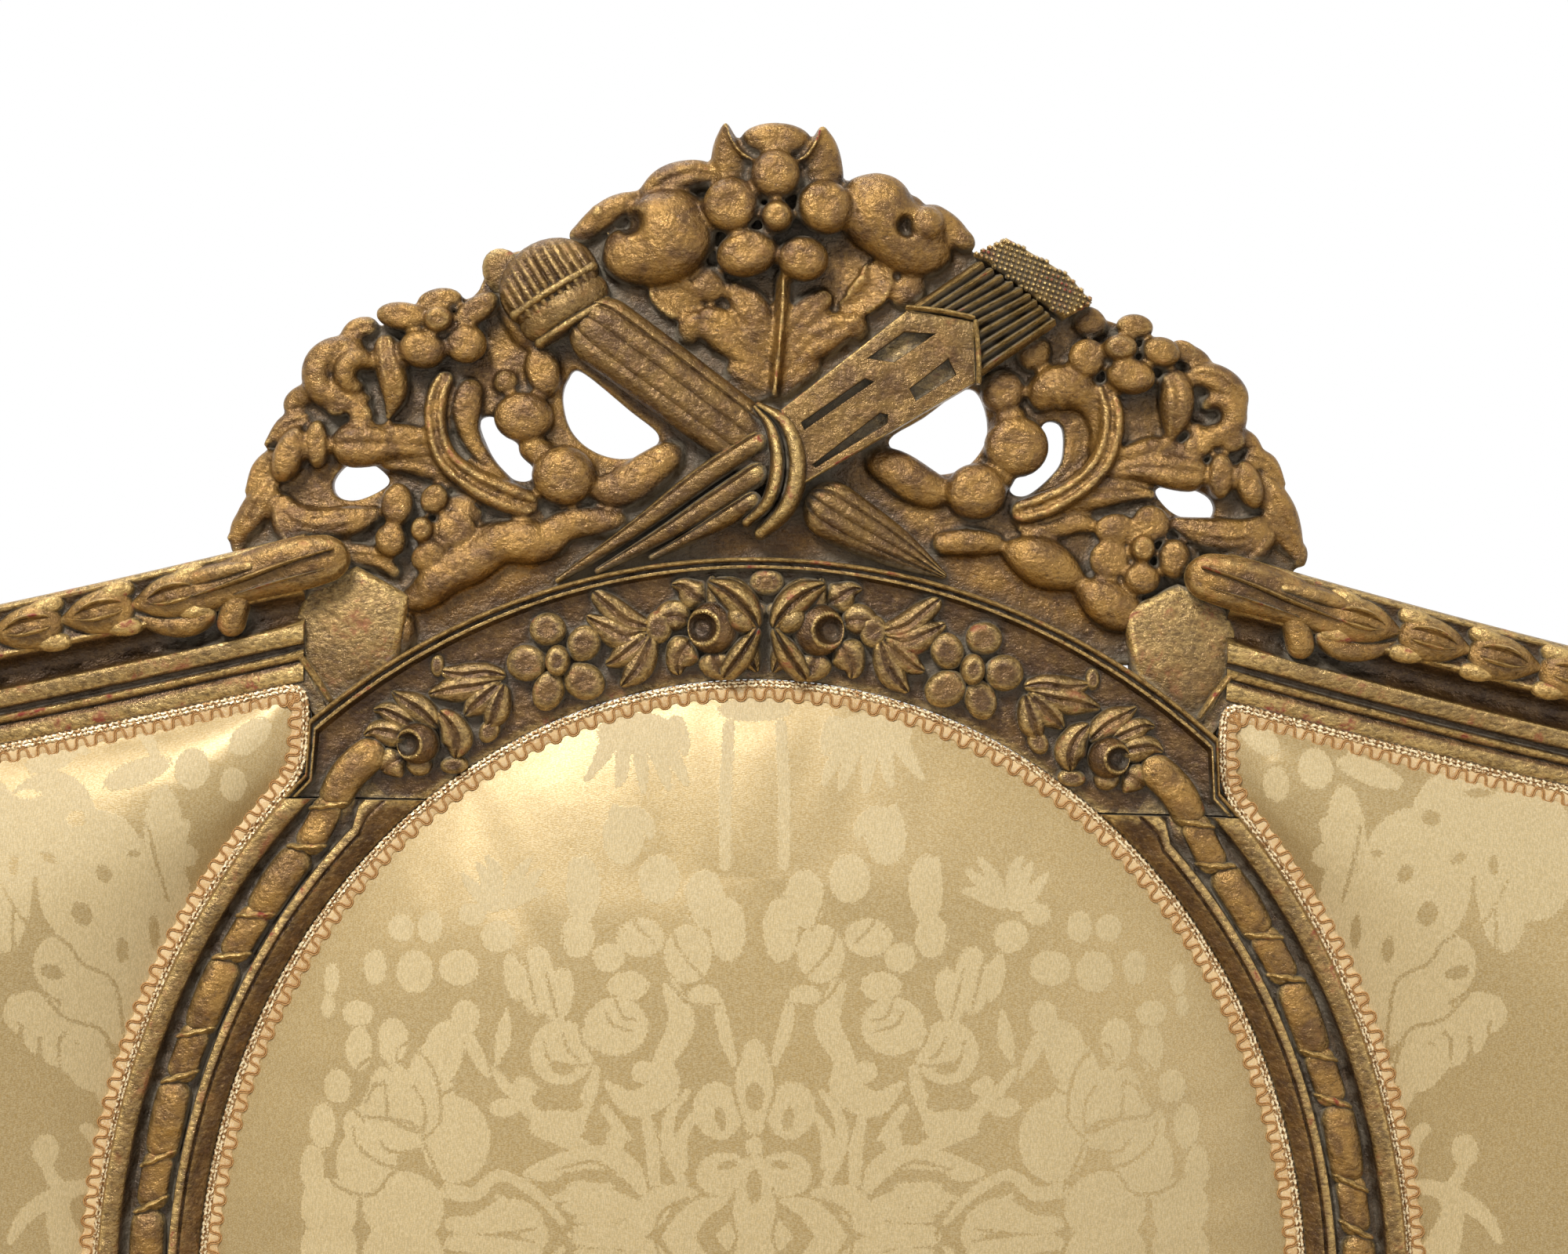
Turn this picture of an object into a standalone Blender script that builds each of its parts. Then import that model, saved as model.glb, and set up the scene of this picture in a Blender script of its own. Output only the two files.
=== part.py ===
"""Carved giltwood sofa: oval back medallion under a pierced crest, padded side panels and arms.

All lengths are metres. X runs across the sofa, -Y is its front and +Z is up. The origin is on
the floor, under the middle of the sofa's box.
"""

import math

import bmesh
import bpy
from mathutils import Matrix, Vector

# Overall sizes
SOFA_WIDTH = 1.86
SEAT_DEPTH = 0.60
SEAT_RAIL_TOP = 0.355
BACK_RAKE = math.radians(8.0)
FRAME_DEPTH = 0.042

# Clearance between touching pieces, and how far a cutter passes beyond what it cuts
FIT = 0.0003
OVERRUN = 0.006

# Medallion of the back
OVAL_HALF_WIDTH = 0.262
OVAL_HALF_HEIGHT = 0.292
MEDALLION_BAND = 0.047
MEDALLION_CLEAR = 0.100
ARCH_RADIUS = 0.323
ARCH_RISE = 0.0577
ARCH_HALF_SPAN = 0.2155
STILE_TOP_JOINT = 0.232
STILE_LOW_JOINT = 0.200

# Side panels of the back
SIDE_RAIL_BAND = 0.068
OUTER_STILE_WIDTH = 0.052
SIDE_RAIL_TOP = 0.340
SIDE_RAIL_REACH = 0.280
SIDE_RAIL_SLOPE = math.radians(14.3)
SIDE_RAIL_END_SLOPE = math.radians(6.0)
SHOULDER_RADIUS = 0.090
SHOULDER_DROP = 0.020
LOW_RAIL_TOP = 0.262
LOW_RAIL_HEIGHT = 0.048

# Pierced crest
CREST_WIDTH = 0.514
CREST_HEIGHT = 0.206
CREST_FOOT = 0.195
CREST_GROUND = 0.020
CREST_SETBACK = 0.004

# Legs
LEG_BLOCK = 0.060
INNER_LEG_X = 0.300
RAIL_HEIGHT = 0.085
RAIL_THICKNESS = 0.036
RAIL_SETBACK = 0.003
LEG_NECK_RADIUS = 0.019
LEG_TOP_RADIUS = 0.025
LEG_FOOT_RADIUS = 0.014
LEG_COLLAR_RADIUS = 0.029
FLUTE_COUNT = 12
FLUTE_DEPTH = 0.0022
REAR_FOOT_KICK = 0.050
REAR_FOOT_DEPTH = 0.030
REAR_LEG_WIDTH = 0.046

# Tenons
TENON_LENGTH = 0.020
TENON_THICKNESS = 0.012
TENON_HEIGHT = 0.050
FRAME_TENON_WIDTH = 0.022

# Arms
ARM_HEIGHT = 0.655
ARM_BAR = 0.030
ARM_WIDTH = 0.046
ARM_SETBACK = 0.130
ARM_SCROLL_RADIUS = 0.029
ARM_POST_FOOT = 0.050
ARM_POST_HEAD = 0.040
ARM_PAD_LENGTH = 0.270
ARM_PAD_WIDTH = 0.040
ARM_PAD_HEIGHT = 0.026

# Upholstery
GIMP_WIDTH = 0.0104
GIMP_THICKNESS = 0.0022
BACK_CLOTH = 0.004
PAD_BACK = 0.006
PAD_EDGE = 0.026
MEDALLION_CROWN = 0.034
SIDE_CROWN = 0.032
SEAT_PAD_EDGE = 0.076
SEAT_PAD_CROWN = 0.024
SEAT_PAD_ROUND = 0.022
SEAT_PAD_INSET = 0.004
WEB_WIDTH = 0.050
WEB_THICKNESS = 0.002
WEB_COUNT_ACROSS = 8
WEB_COUNT_DEEP = 3
DUST_COVER_THICKNESS = 0.002
CORNER_BLOCK = 0.055
CORNER_BLOCK_HEIGHT = 0.050

# Pixel marks of the crest in the photograph's 2000 x 1600 frame
CREST_PX_AXIS = 970
CREST_PX_LEFT = 283
CREST_PX_RIGHT = 1672
CREST_PX_TOP = 155
ARCH_PX_TOP = 712

# Places that follow from the sizes above
MEDALLION_HALF_WIDTH = OVAL_HALF_WIDTH + MEDALLION_BAND
MEDALLION_HALF_HEIGHT = OVAL_HALF_HEIGHT + MEDALLION_BAND
ARCH_TOP = OVAL_HALF_HEIGHT + ARCH_RISE
BACK_LENGTH = MEDALLION_CLEAR + MEDALLION_HALF_HEIGHT + ARCH_TOP + CREST_HEIGHT
SOFA_DEPTH = SEAT_DEPTH + FRAME_DEPTH + BACK_LENGTH * math.sin(BACK_RAKE)
FRONT_Y = -SOFA_DEPTH / 2
BACK_Y = FRONT_Y + SEAT_DEPTH + FRAME_DEPTH
CENTRE_RISE = MEDALLION_CLEAR + MEDALLION_HALF_HEIGHT
MEDALLION_Y = BACK_Y + CENTRE_RISE * math.sin(BACK_RAKE)
MEDALLION_Z = SEAT_RAIL_TOP + CENTRE_RISE * math.cos(BACK_RAKE)
HALF_WIDTH = SOFA_WIDTH / 2
RAIL_BOTTOM = SEAT_RAIL_TOP - RAIL_HEIGHT
STILE_INNER = HALF_WIDTH - OUTER_STILE_WIDTH
OUTER_LEG_X = HALF_WIDTH - LEG_BLOCK / 2
FRONT_LEG_Y = FRONT_Y + LEG_BLOCK / 2
ARM_X = HALF_WIDTH - OUTER_STILE_WIDTH / 2
SHOULDER_START = HALF_WIDTH - SHOULDER_RADIUS * (1 - math.sin(SIDE_RAIL_END_SLOPE))

SIDES = (("left", -1), ("right", 1))

COLOURS = {
    "gilt": ((0.40, 0.27, 0.09), 0.42, 0.85),
    "beech": ((0.47, 0.31, 0.17), 0.70, 0.0),
    "damask": ((0.68, 0.57, 0.33), 0.50, 0.0),
    "gimp": ((0.72, 0.55, 0.36), 0.60, 0.0),
    "webbing": ((0.36, 0.28, 0.18), 0.90, 0.0),
    "dust_cover": ((0.09, 0.08, 0.07), 0.95, 0.0),
}


def clear_scene():
    for item in list(bpy.data.objects):
        bpy.data.objects.remove(item)


def make_collection(name):
    collection = bpy.data.collections.new(name)
    bpy.context.scene.collection.children.link(collection)
    return collection


def finish(node, kind):
    """One Principled material of its own for each node."""
    colour, roughness, metallic = COLOURS[kind]
    material = bpy.data.materials.new(node + "_" + kind)
    material.use_nodes = True
    shader = material.node_tree.nodes["Principled BSDF"]
    shader.inputs["Base Color"].default_value = (*colour, 1)
    shader.inputs["Roughness"].default_value = roughness
    shader.inputs["Metallic"].default_value = metallic
    material.diffuse_color = (*colour, 1)
    return material


def add_node(name, mesh, kind, parent=None):
    """A named sub-part of the sofa."""
    item = bpy.data.objects.new(name, mesh)
    PARTS.objects.link(item)
    item.parent = parent
    mesh.materials.append(finish(name, kind))
    return item


def add_guide(name, mesh, parent=None):
    """A cutter, or a shape that a Boolean joins to a sub-part."""
    item = bpy.data.objects.new(name, mesh)
    CUTTERS.objects.link(item)
    item.parent = parent
    item.display_type = "WIRE"
    item.hide_render = True
    return item


def mesh_from(name, bm):
    bmesh.ops.recalc_face_normals(bm, faces=bm.faces)
    mesh = bpy.data.meshes.new(name)
    bm.to_mesh(mesh)
    bm.free()
    return mesh


def combine(target, operand, operation):
    """A live Boolean. The operand is an object or a collection of objects."""
    modifier = target.modifiers.new(operand.name, "BOOLEAN")
    modifier.operation = operation
    modifier.solver = "EXACT"
    if isinstance(operand, bpy.types.Collection):
        modifier.operand_type = "COLLECTION"
        modifier.collection = operand
    else:
        modifier.object = operand


def round_edges(item, width, segments, angle=math.radians(40)):
    modifier = item.modifiers.new("rounded", "BEVEL")
    modifier.width = width
    modifier.segments = segments
    modifier.limit_method = "ANGLE"
    modifier.angle_limit = angle
    modifier.harden_normals = False


def box_mesh(name, centre, size):
    bm = bmesh.new()
    bmesh.ops.create_cube(bm, size=1)
    bmesh.ops.scale(bm, vec=Vector(size), verts=bm.verts)
    bmesh.ops.translate(bm, vec=Vector(centre), verts=bm.verts)
    return mesh_from(name, bm)


def loft(name, sections, closed=False):
    """Skin unlike sections in turn, each a ring of points, into one closed body."""
    bm = bmesh.new()
    rings = [[bm.verts.new(point) for point in section] for section in sections]
    pairs = list(zip(rings, rings[1:]))
    if closed:
        pairs.append((rings[-1], rings[0]))
    count = len(rings[0])
    for ring, following in pairs:
        for i in range(count):
            j = (i + 1) % count
            bm.faces.new((ring[i], ring[j], following[j], following[i]))
    if not closed:
        bm.faces.new(rings[0])
        bm.faces.new(rings[-1])
    return mesh_from(name, bm)


def flat_mesh(name, outline, thickness, holes=(), low=0.0):
    """A flat outline in XY as a 2D curve, given its thickness upwards from low, as a mesh."""
    curve = bpy.data.curves.new(name, "CURVE")
    curve.dimensions = "2D"
    curve.fill_mode = "BOTH"
    curve.extrude = thickness / 2
    for points in (outline, *holes):
        spline = curve.splines.new("POLY")
        spline.points.add(len(points) - 1)
        for target, point in zip(spline.points, points):
            target.co = (point[0], point[1], 0, 1)
        spline.use_cyclic_u = True
    return mesh_of_curve(name, curve, Matrix.Translation((0, 0, low + thickness / 2)))


def rod_mesh(name, points, radii, sides=4):
    """A tapering rod with filled ends along points, as a mesh."""
    curve = bpy.data.curves.new(name, "CURVE")
    curve.dimensions = "3D"
    curve.bevel_depth = max(radii)
    curve.bevel_resolution = sides // 2 - 1
    curve.use_fill_caps = True
    spline = curve.splines.new("POLY")
    spline.points.add(len(points) - 1)
    for target, point, radius in zip(spline.points, points, radii):
        target.co = (*point, 1)
        target.radius = radius / max(radii)
    return mesh_of_curve(name, curve, Matrix())


def mesh_of_curve(name, curve, matrix):
    holder = bpy.data.objects.new(name, curve)
    bpy.context.scene.collection.objects.link(holder)
    bpy.context.view_layer.update()
    graph = bpy.context.evaluated_depsgraph_get()
    mesh = bpy.data.meshes.new_from_object(holder.evaluated_get(graph))
    bpy.data.objects.remove(holder)
    bm = bmesh.new()
    bm.from_mesh(mesh)
    bmesh.ops.remove_doubles(bm, verts=bm.verts, dist=FIT / 30)
    bmesh.ops.transform(bm, matrix=matrix, verts=bm.verts)
    bmesh.ops.recalc_face_normals(bm, faces=bm.faces)
    bm.to_mesh(mesh)
    bm.free()
    mesh.name = name
    return mesh


# Side views are drawn in the XY plane and stood up: drawn X is world Y, drawn Y is world Z.
SIDE_VIEW = Matrix(((0, 0, 1, 0), (1, 0, 0, 0), (0, 1, 0, 0), (0, 0, 0, 1)))
# End views across the sofa: drawn X stays, drawn Y is world Z and the thickness runs forwards.
END_VIEW = Matrix(((1, 0, 0, 0), (0, 0, -1, 0), (0, 1, 0, 0), (0, 0, 0, 1)))


def side_view_mesh(name, outline, middle_x, width):
    mesh = flat_mesh(name, outline, width, low=-width / 2)
    mesh.transform(Matrix.Translation((middle_x, 0, 0)) @ SIDE_VIEW)
    return mesh


def curve_through(points, steps):
    """A smooth run of points through the given ones."""
    run = []
    ends = [points[0], *points, points[-1]]
    for before, start, end, after in zip(ends, ends[1:], ends[2:], ends[3:]):
        for i in range(steps):
            t = i / steps
            run.append(tuple(
                0.5 * (2 * b + (c - a) * t + (2 * a - 5 * b + 4 * c - d) * t * t
                       + (3 * b - a - 3 * c + d) * t ** 3)
                for a, b, c, d in zip(before, start, end, after)))
    run.append(tuple(points[-1]))
    return run


def offset_loop(points, distance):
    """The same closed loop, moved in by distance. The loop runs anticlockwise."""
    moved = []
    for i, point in enumerate(points):
        before = Vector(points[i - 1])
        here = Vector(point)
        after = Vector(points[(i + 1) % len(points)])
        first = (here - before).normalized()
        second = (after - here).normalized()
        normal_1 = Vector((-first.y, first.x))
        normal_2 = Vector((-second.y, second.x))
        middle = (normal_1 + normal_2).normalized()
        moved.append(here + middle * (distance / max(middle.dot(normal_1), 0.3)))
    return [tuple(point) for point in moved]


def tenon(rail, mate, centre, size, parent=None):
    """A tongue grown on one piece, and the pocket for it in its mate."""
    name = rail.name + "_into_" + mate.name
    tongue = add_guide(name + "_tongue", box_mesh(name, centre, size), parent)
    pocket_size = [length + 2 * FIT for length in size]
    pocket = add_guide(name + "_pocket", box_mesh(name, centre, pocket_size), parent)
    combine(rail, tongue, "UNION")
    combine(mate, pocket, "DIFFERENCE")


# Outlines of the back, drawn in its own plane: u across, v up, w forwards

def oval_point(phi, half_width, half_height):
    return (half_width * math.cos(phi), half_height * math.sin(phi))


ARCH_CENTRE = ARCH_TOP - ARCH_RADIUS
ARCH_ANGLE = math.asin(ARCH_HALF_SPAN / ARCH_RADIUS)
ARCH_FOOT_PHI = math.radians(46.3)
OVAL_START_PHI = math.radians(36.0)
LOWER_SECTIONS = 32
ARCH_SECTIONS = 12


def outer_edge(phi, grow=0.0):
    """The medallion frame's outer edge: an arch over the top, then the oval of its sides."""
    top = math.pi / 2
    lean = top - phi
    if abs(lean) <= top - ARCH_FOOT_PHI:
        angle = lean / (top - ARCH_FOOT_PHI) * ARCH_ANGLE
        radius = ARCH_RADIUS + grow
        return (radius * math.sin(angle), ARCH_CENTRE + radius * math.cos(angle))
    return oval_point(phi, MEDALLION_HALF_WIDTH + grow, MEDALLION_HALF_HEIGHT + grow)


def all_phis():
    """Section angles of the whole medallion, rising from the left end of the lower oval."""
    turn = 2 * math.pi - (math.pi - 2 * OVAL_START_PHI)
    low = [OVAL_START_PHI - turn * i / LOWER_SECTIONS for i in range(LOWER_SECTIONS + 1)]
    width = math.pi - 2 * ARCH_FOOT_PHI
    high = [ARCH_FOOT_PHI + width * i / ARCH_SECTIONS for i in range(ARCH_SECTIONS + 1)]
    return [*reversed(low), *high]


def phis_between(start, end):
    low, high = math.radians(start), math.radians(end)
    return [phi for phi in all_phis() if low < phi < high]


def medallion_sections(phis, profile):
    sections = []
    for phi in phis:
        outer = Vector(outer_edge(phi))
        inner = Vector(oval_point(phi, OVAL_HALF_WIDTH, OVAL_HALF_HEIGHT))
        sections.append([(*outer.lerp(inner, share), height * FRAME_DEPTH)
                         for share, height in profile])
    return sections


def cut_flat(mesh, height, keep_above):
    """Saw a lofted ring piece straight across at one height, and close the cut."""
    bm = bmesh.new()
    bm.from_mesh(mesh)
    geometry = [*bm.verts, *bm.edges, *bm.faces]
    cut = bmesh.ops.bisect_plane(
        bm, geom=geometry, dist=FIT / 30, plane_co=(0, height, 0), plane_no=(0, 1, 0),
        clear_inner=keep_above, clear_outer=not keep_above)
    edges = [part for part in cut["geom_cut"] if isinstance(part, bmesh.types.BMEdge)]
    bmesh.ops.contextual_create(bm, geom=edges)
    bmesh.ops.recalc_face_normals(bm, faces=bm.faces)
    bm.to_mesh(mesh)
    bm.free()


# Moulding profiles: share across from the outer edge, and share of the frame's depth
ARCH_PROFILE_SHARES = (
    (0, 0), (0, 0.84), (0.04, 0.94), (0.10, 0.94), (0.14, 0.74), (0.90, 0.66), (1, 0.62), (1, 0))
STILE_PROFILE_SHARES = (
    (0, 0), (0, 0.80), (0.04, 0.86), (0.17, 0.86), (0.21, 0.68), (0.26, 0.68), (0.32, 0.90),
    (0.42, 0.98), (0.52, 0.90), (0.58, 0.68), (0.64, 0.68), (0.68, 0.76), (1, 0.68), (1, 0))
RAIL_PROFILE_SHARES = (
    (0, 0), (0, 0.76), (0.05, 0.90), (0.10, 0.84), (0.32, 0.90), (0.38, 0.78), (0.42, 0.48),
    (0.54, 0.42), (0.61, 0.66), (0.73, 0.70), (0.77, 0.60), (0.84, 0.66), (0.90, 0.62),
    (1, 0.62), (1, 0))


def rail_drop():
    """How fast the side rail's slope eases towards the shoulder."""
    run = SHOULDER_START - SIDE_RAIL_REACH
    return (math.tan(SIDE_RAIL_SLOPE) - math.tan(SIDE_RAIL_END_SLOPE)) / (2 * run)


def side_rail_height(u):
    """Height of the side rail's top edge at u."""
    run = u - SIDE_RAIL_REACH
    return SIDE_RAIL_TOP - math.tan(SIDE_RAIL_SLOPE) * run + rail_drop() * run * run


def side_rail_path(start, slope_steps=8, turn_steps=5):
    """Points and inward normals along the side rail's top edge, round the shoulder and down."""
    path = []
    for i in range(slope_steps + 1):
        u = start + (SHOULDER_START - start) * i / slope_steps
        fall = math.tan(SIDE_RAIL_SLOPE) - 2 * rail_drop() * (u - SIDE_RAIL_REACH)
        normal = Vector((-fall, -1)).normalized()
        path.append((Vector((u, side_rail_height(u))), normal))
    last, normal = path[-1]
    centre = last + normal * SHOULDER_RADIUS
    first_angle = math.atan2(-normal.y, -normal.x)
    for i in range(1, turn_steps + 1):
        angle = first_angle * (1 - i / turn_steps)
        outward = Vector((math.cos(angle), math.sin(angle)))
        path.append((centre + outward * SHOULDER_RADIUS, -outward))
    foot, normal = path[-1]
    path.append((foot - Vector((0, SHOULDER_DROP)), normal))
    return path


def rail_band(i, count):
    """The side rail narrows towards the outer stile."""
    share = i / (count - 1)
    return SIDE_RAIL_BAND + (OUTER_STILE_WIDTH - SIDE_RAIL_BAND) * min(1, share * 1.1)


RAIL_START = CREST_FOOT - SIDE_RAIL_BAND / 3
SHOULDER_FOOT = side_rail_path(RAIL_START)[-1][0].y


def seat_line(sign, grow):
    """The line that the crest stands on, from the axis outwards, over the arch and the side rail."""
    line = []
    for phi in reversed(phis_between(46, 91)):
        u, v = outer_edge(phi, grow)
        if u < CREST_FOOT - OVERRUN:
            line.append((sign * u, v))
    corner = ARCH_CENTRE + math.sqrt((ARCH_RADIUS + grow) ** 2 - CREST_FOOT ** 2)
    line.append((sign * CREST_FOOT, corner))
    for share in (0, 0.5, 1):
        u = CREST_FOOT + share * (CREST_WIDTH / 2 - CREST_FOOT)
        line.append((sign * u, side_rail_height(u) + grow))
    return line


def rail_inner_edge():
    path = side_rail_path(RAIL_START)
    return [point + normal * rail_band(i, len(path)) for i, (point, normal) in enumerate(path)]


def panel_top_corner():
    """Where the side rail's lower edge meets the upright end of its block."""
    for low, high in zip(rail_inner_edge(), rail_inner_edge()[1:]):
        if low.x <= ARCH_HALF_SPAN < high.x:
            return low.lerp(high, (ARCH_HALF_SPAN - low.x) / (high.x - low.x))
    raise ValueError("the side rail doesn't reach the arch")


def panel_loop(sign):
    """Anticlockwise outline of a side panel's opening."""
    top_corner = panel_top_corner()
    top_edge = rail_inner_edge()
    inner = []
    for phi in phis_between(-60, 47):
        point = outer_edge(phi)
        if point[1] > -LOW_RAIL_TOP + OVERRUN:
            inner.append(point)
    corner_share = math.sqrt(1 - (LOW_RAIL_TOP / MEDALLION_HALF_HEIGHT) ** 2)
    low_corner = (MEDALLION_HALF_WIDTH * corner_share, -LOW_RAIL_TOP)
    low = [(low_corner[0] + (STILE_INNER - low_corner[0]) * i / 5, -LOW_RAIL_TOP) for i in range(6)]
    outer = [(STILE_INNER, -LOW_RAIL_TOP + (SHOULDER_FOOT + LOW_RAIL_TOP) * i / 4) for i in (1, 2, 3)]
    top = [tuple(point) for point in reversed(top_edge) if point.x > top_corner.x + OVERRUN]
    top.append(tuple(top_corner))
    loop = [*low, *outer, *top, *reversed(inner)]
    loop = [(sign * u, v) for u, v in loop]
    return loop if sign > 0 else loop[::-1]


def ring_points(loop, height):
    return [(u, v, height) for u, v in loop]


def band_mesh(name, loop, outer_inset, inner_inset, low, high):
    """A flat braid that follows a loop."""
    outer = offset_loop(loop, outer_inset)
    inner = offset_loop(loop, inner_inset)
    rings = (ring_points(outer, low), ring_points(outer, high),
             ring_points(inner, high), ring_points(inner, low))
    sections = [list(section) for section in zip(*rings)]
    return loft(name, sections, closed=True)


def pad_mesh(name, loop, centre, low, edge, crown, steps):
    """A stuffed pad: a flat flange under its braid, then a steep rise to a crowned middle."""
    flange = offset_loop(loop, FIT)
    welt = offset_loop(loop, GIMP_WIDTH + 2 * FIT)
    middle = Vector(centre)
    rings = [ring_points(flange, low), ring_points(flange, edge), ring_points(welt, edge)]
    for share, rise_share in steps:
        ring = [middle + (Vector(point) - middle) * share for point in welt]
        rings.append(ring_points([tuple(point) for point in ring], edge + crown * rise_share))
    return loft(name, rings)


PAD_STEP_SHARES = ((0.985, 0.24), (0.93, 0.52), (0.80, 0.80), (0.58, 0.95), (0.28, 1.0))


def medallion_loop():
    return [oval_point(phi, OVAL_HALF_WIDTH, OVAL_HALF_HEIGHT) for phi in all_phis()]


# Seat frame and legs

def flute_radius(angle, radius, depth):
    return radius - depth * (0.5 - 0.5 * math.cos(FLUTE_COUNT * angle))


def front_leg(name, middle_x):
    """A square block over a turned, tapering and fluted leg."""
    below = RAIL_BOTTOM
    shaft_top = below * 0.86
    shaft_low = below * 0.16
    stations = [
        (below + OVERRUN, LEG_NECK_RADIUS, 0), (below * 0.975, LEG_NECK_RADIUS, 0),
        (below * 0.965, LEG_COLLAR_RADIUS, 0), (below * 0.935, LEG_COLLAR_RADIUS, 0),
        (below * 0.92, LEG_NECK_RADIUS, 0), (below * 0.885, LEG_NECK_RADIUS, 0),
        (below * 0.875, LEG_TOP_RADIUS, 0), (shaft_top, LEG_TOP_RADIUS, FLUTE_DEPTH),
        (shaft_low, LEG_FOOT_RADIUS, FLUTE_DEPTH), (below * 0.14, LEG_FOOT_RADIUS, 0),
        (below * 0.125, LEG_FOOT_RADIUS * 0.75, 0), (below * 0.105, LEG_FOOT_RADIUS * 0.75, 0),
        (below * 0.075, LEG_FOOT_RADIUS * 1.25, 0), (below * 0.035, LEG_FOOT_RADIUS * 1.2, 0),
        (0, LEG_FOOT_RADIUS * 0.8, 0)]
    sides = FLUTE_COUNT * 2
    sections = []
    for height, radius, depth in stations:
        ring = []
        for i in range(sides):
            angle = 2 * math.pi * i / sides
            reach = flute_radius(angle, radius, depth)
            ring.append((middle_x + reach * math.cos(angle),
                         FRONT_LEG_Y + reach * math.sin(angle), height))
        sections.append(ring)
    leg = add_node(name, loft(name, sections), "gilt")
    centre = (middle_x, FRONT_LEG_Y, (RAIL_BOTTOM + SEAT_RAIL_TOP) / 2)
    block = add_guide(name + "_block", box_mesh(name, centre, (LEG_BLOCK, LEG_BLOCK, RAIL_HEIGHT)))
    combine(leg, block, "UNION")
    rosette(leg, middle_x)
    return leg


def rosette(leg, middle_x):
    """A carved boss in the middle of the block's front."""
    bm = bmesh.new()
    bmesh.ops.create_uvsphere(bm, u_segments=12, v_segments=6, radius=1)
    bmesh.ops.scale(bm, vec=(LEG_BLOCK * 0.34, LEG_BLOCK * 0.34, LEG_BLOCK * 0.09), verts=bm.verts)
    bmesh.ops.transform(bm, matrix=END_VIEW, verts=bm.verts)
    place = (middle_x, FRONT_Y, (RAIL_BOTTOM + SEAT_RAIL_TOP) / 2)
    bmesh.ops.translate(bm, vec=place, verts=bm.verts)
    boss = add_guide(leg.name + "_rosette", mesh_from(leg.name + "_rosette", bm))
    combine(leg, boss, "UNION")


def rail_outline(face, inward):
    """End view of a seat rail: a bead at each edge of a shallow hollow. inward is +1 or -1."""
    middle = (RAIL_BOTTOM + SEAT_RAIL_TOP) / 2
    half = RAIL_HEIGHT / 2
    deep = RAIL_THICKNESS * inward
    steps = ((0.10, -1), (0.0, -0.92), (0.0, -0.76), (0.13, -0.70), (0.13, 0.62), (0.0, 0.68),
             (0.0, 0.92), (0.10, 1))
    front = [(face + share * deep, middle + half * height) for share, height in steps]
    return [*front, (face + deep, SEAT_RAIL_TOP), (face + deep, RAIL_BOTTOM)]


def seat_rail_x(name, start_x, end_x, face, inward, kind="gilt"):
    """A moulded seat rail that runs across the sofa."""
    length = end_x - start_x - 2 * FIT
    mesh = side_view_mesh(name, rail_outline(face, inward), (start_x + end_x) / 2, length)
    return add_node(name, mesh, kind)


def seat_rail_y(name, sign, start_y, end_y):
    """A moulded seat rail that runs from front to back."""
    length = end_y - start_y - 2 * FIT
    outline = rail_outline(sign * (HALF_WIDTH - RAIL_SETBACK), -sign)
    mesh = flat_mesh(name, outline, length, low=-length / 2)
    mesh.transform(Matrix.Translation((0, (start_y + end_y) / 2, 0)) @ END_VIEW)
    return add_node(name, mesh, "gilt")


def back_world(v, w):
    """World Y and Z of a place on the raked back."""
    sine, cosine = math.sin(BACK_RAKE), math.cos(BACK_RAKE)
    return (MEDALLION_Y + v * sine - w * cosine, MEDALLION_Z + v * cosine + w * sine)


def back_front_y(z):
    """World Y of the back frame's front face at a height."""
    v = (z - MEDALLION_Z - FRAME_DEPTH * math.sin(BACK_RAKE)) / math.cos(BACK_RAKE)
    return back_world(v, FRAME_DEPTH)[0]


def rear_leg(name, middle_x, width, top_v, kind="gilt"):
    """A rear leg that kicks back to its foot, and rakes back above the seat rail."""
    bend = -CENTRE_RISE - FRAME_DEPTH * math.tan(BACK_RAKE / 2)
    back_edge = [
        (BACK_Y, RAIL_BOTTOM), (BACK_Y + REAR_FOOT_KICK * 0.12, RAIL_BOTTOM * 0.72),
        (BACK_Y + REAR_FOOT_KICK * 0.45, RAIL_BOTTOM * 0.36), (BACK_Y + REAR_FOOT_KICK, 0)]
    front_y = BACK_Y - FRAME_DEPTH
    front_edge = [
        (BACK_Y + REAR_FOOT_KICK - REAR_FOOT_DEPTH, 0),
        (front_y + (REAR_FOOT_KICK + FRAME_DEPTH - REAR_FOOT_DEPTH) * 0.40, RAIL_BOTTOM * 0.36),
        (front_y + (REAR_FOOT_KICK + FRAME_DEPTH - REAR_FOOT_DEPTH) * 0.08, RAIL_BOTTOM * 0.72),
        (front_y, RAIL_BOTTOM), (front_y, back_world(bend, FRAME_DEPTH)[1])]
    top = [back_world(top_v, FRAME_DEPTH), back_world(top_v, 0), (BACK_Y, SEAT_RAIL_TOP)]
    mesh = side_view_mesh(name, [*back_edge, *front_edge, *top], middle_x, width)
    return add_node(name, mesh, kind)


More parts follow.
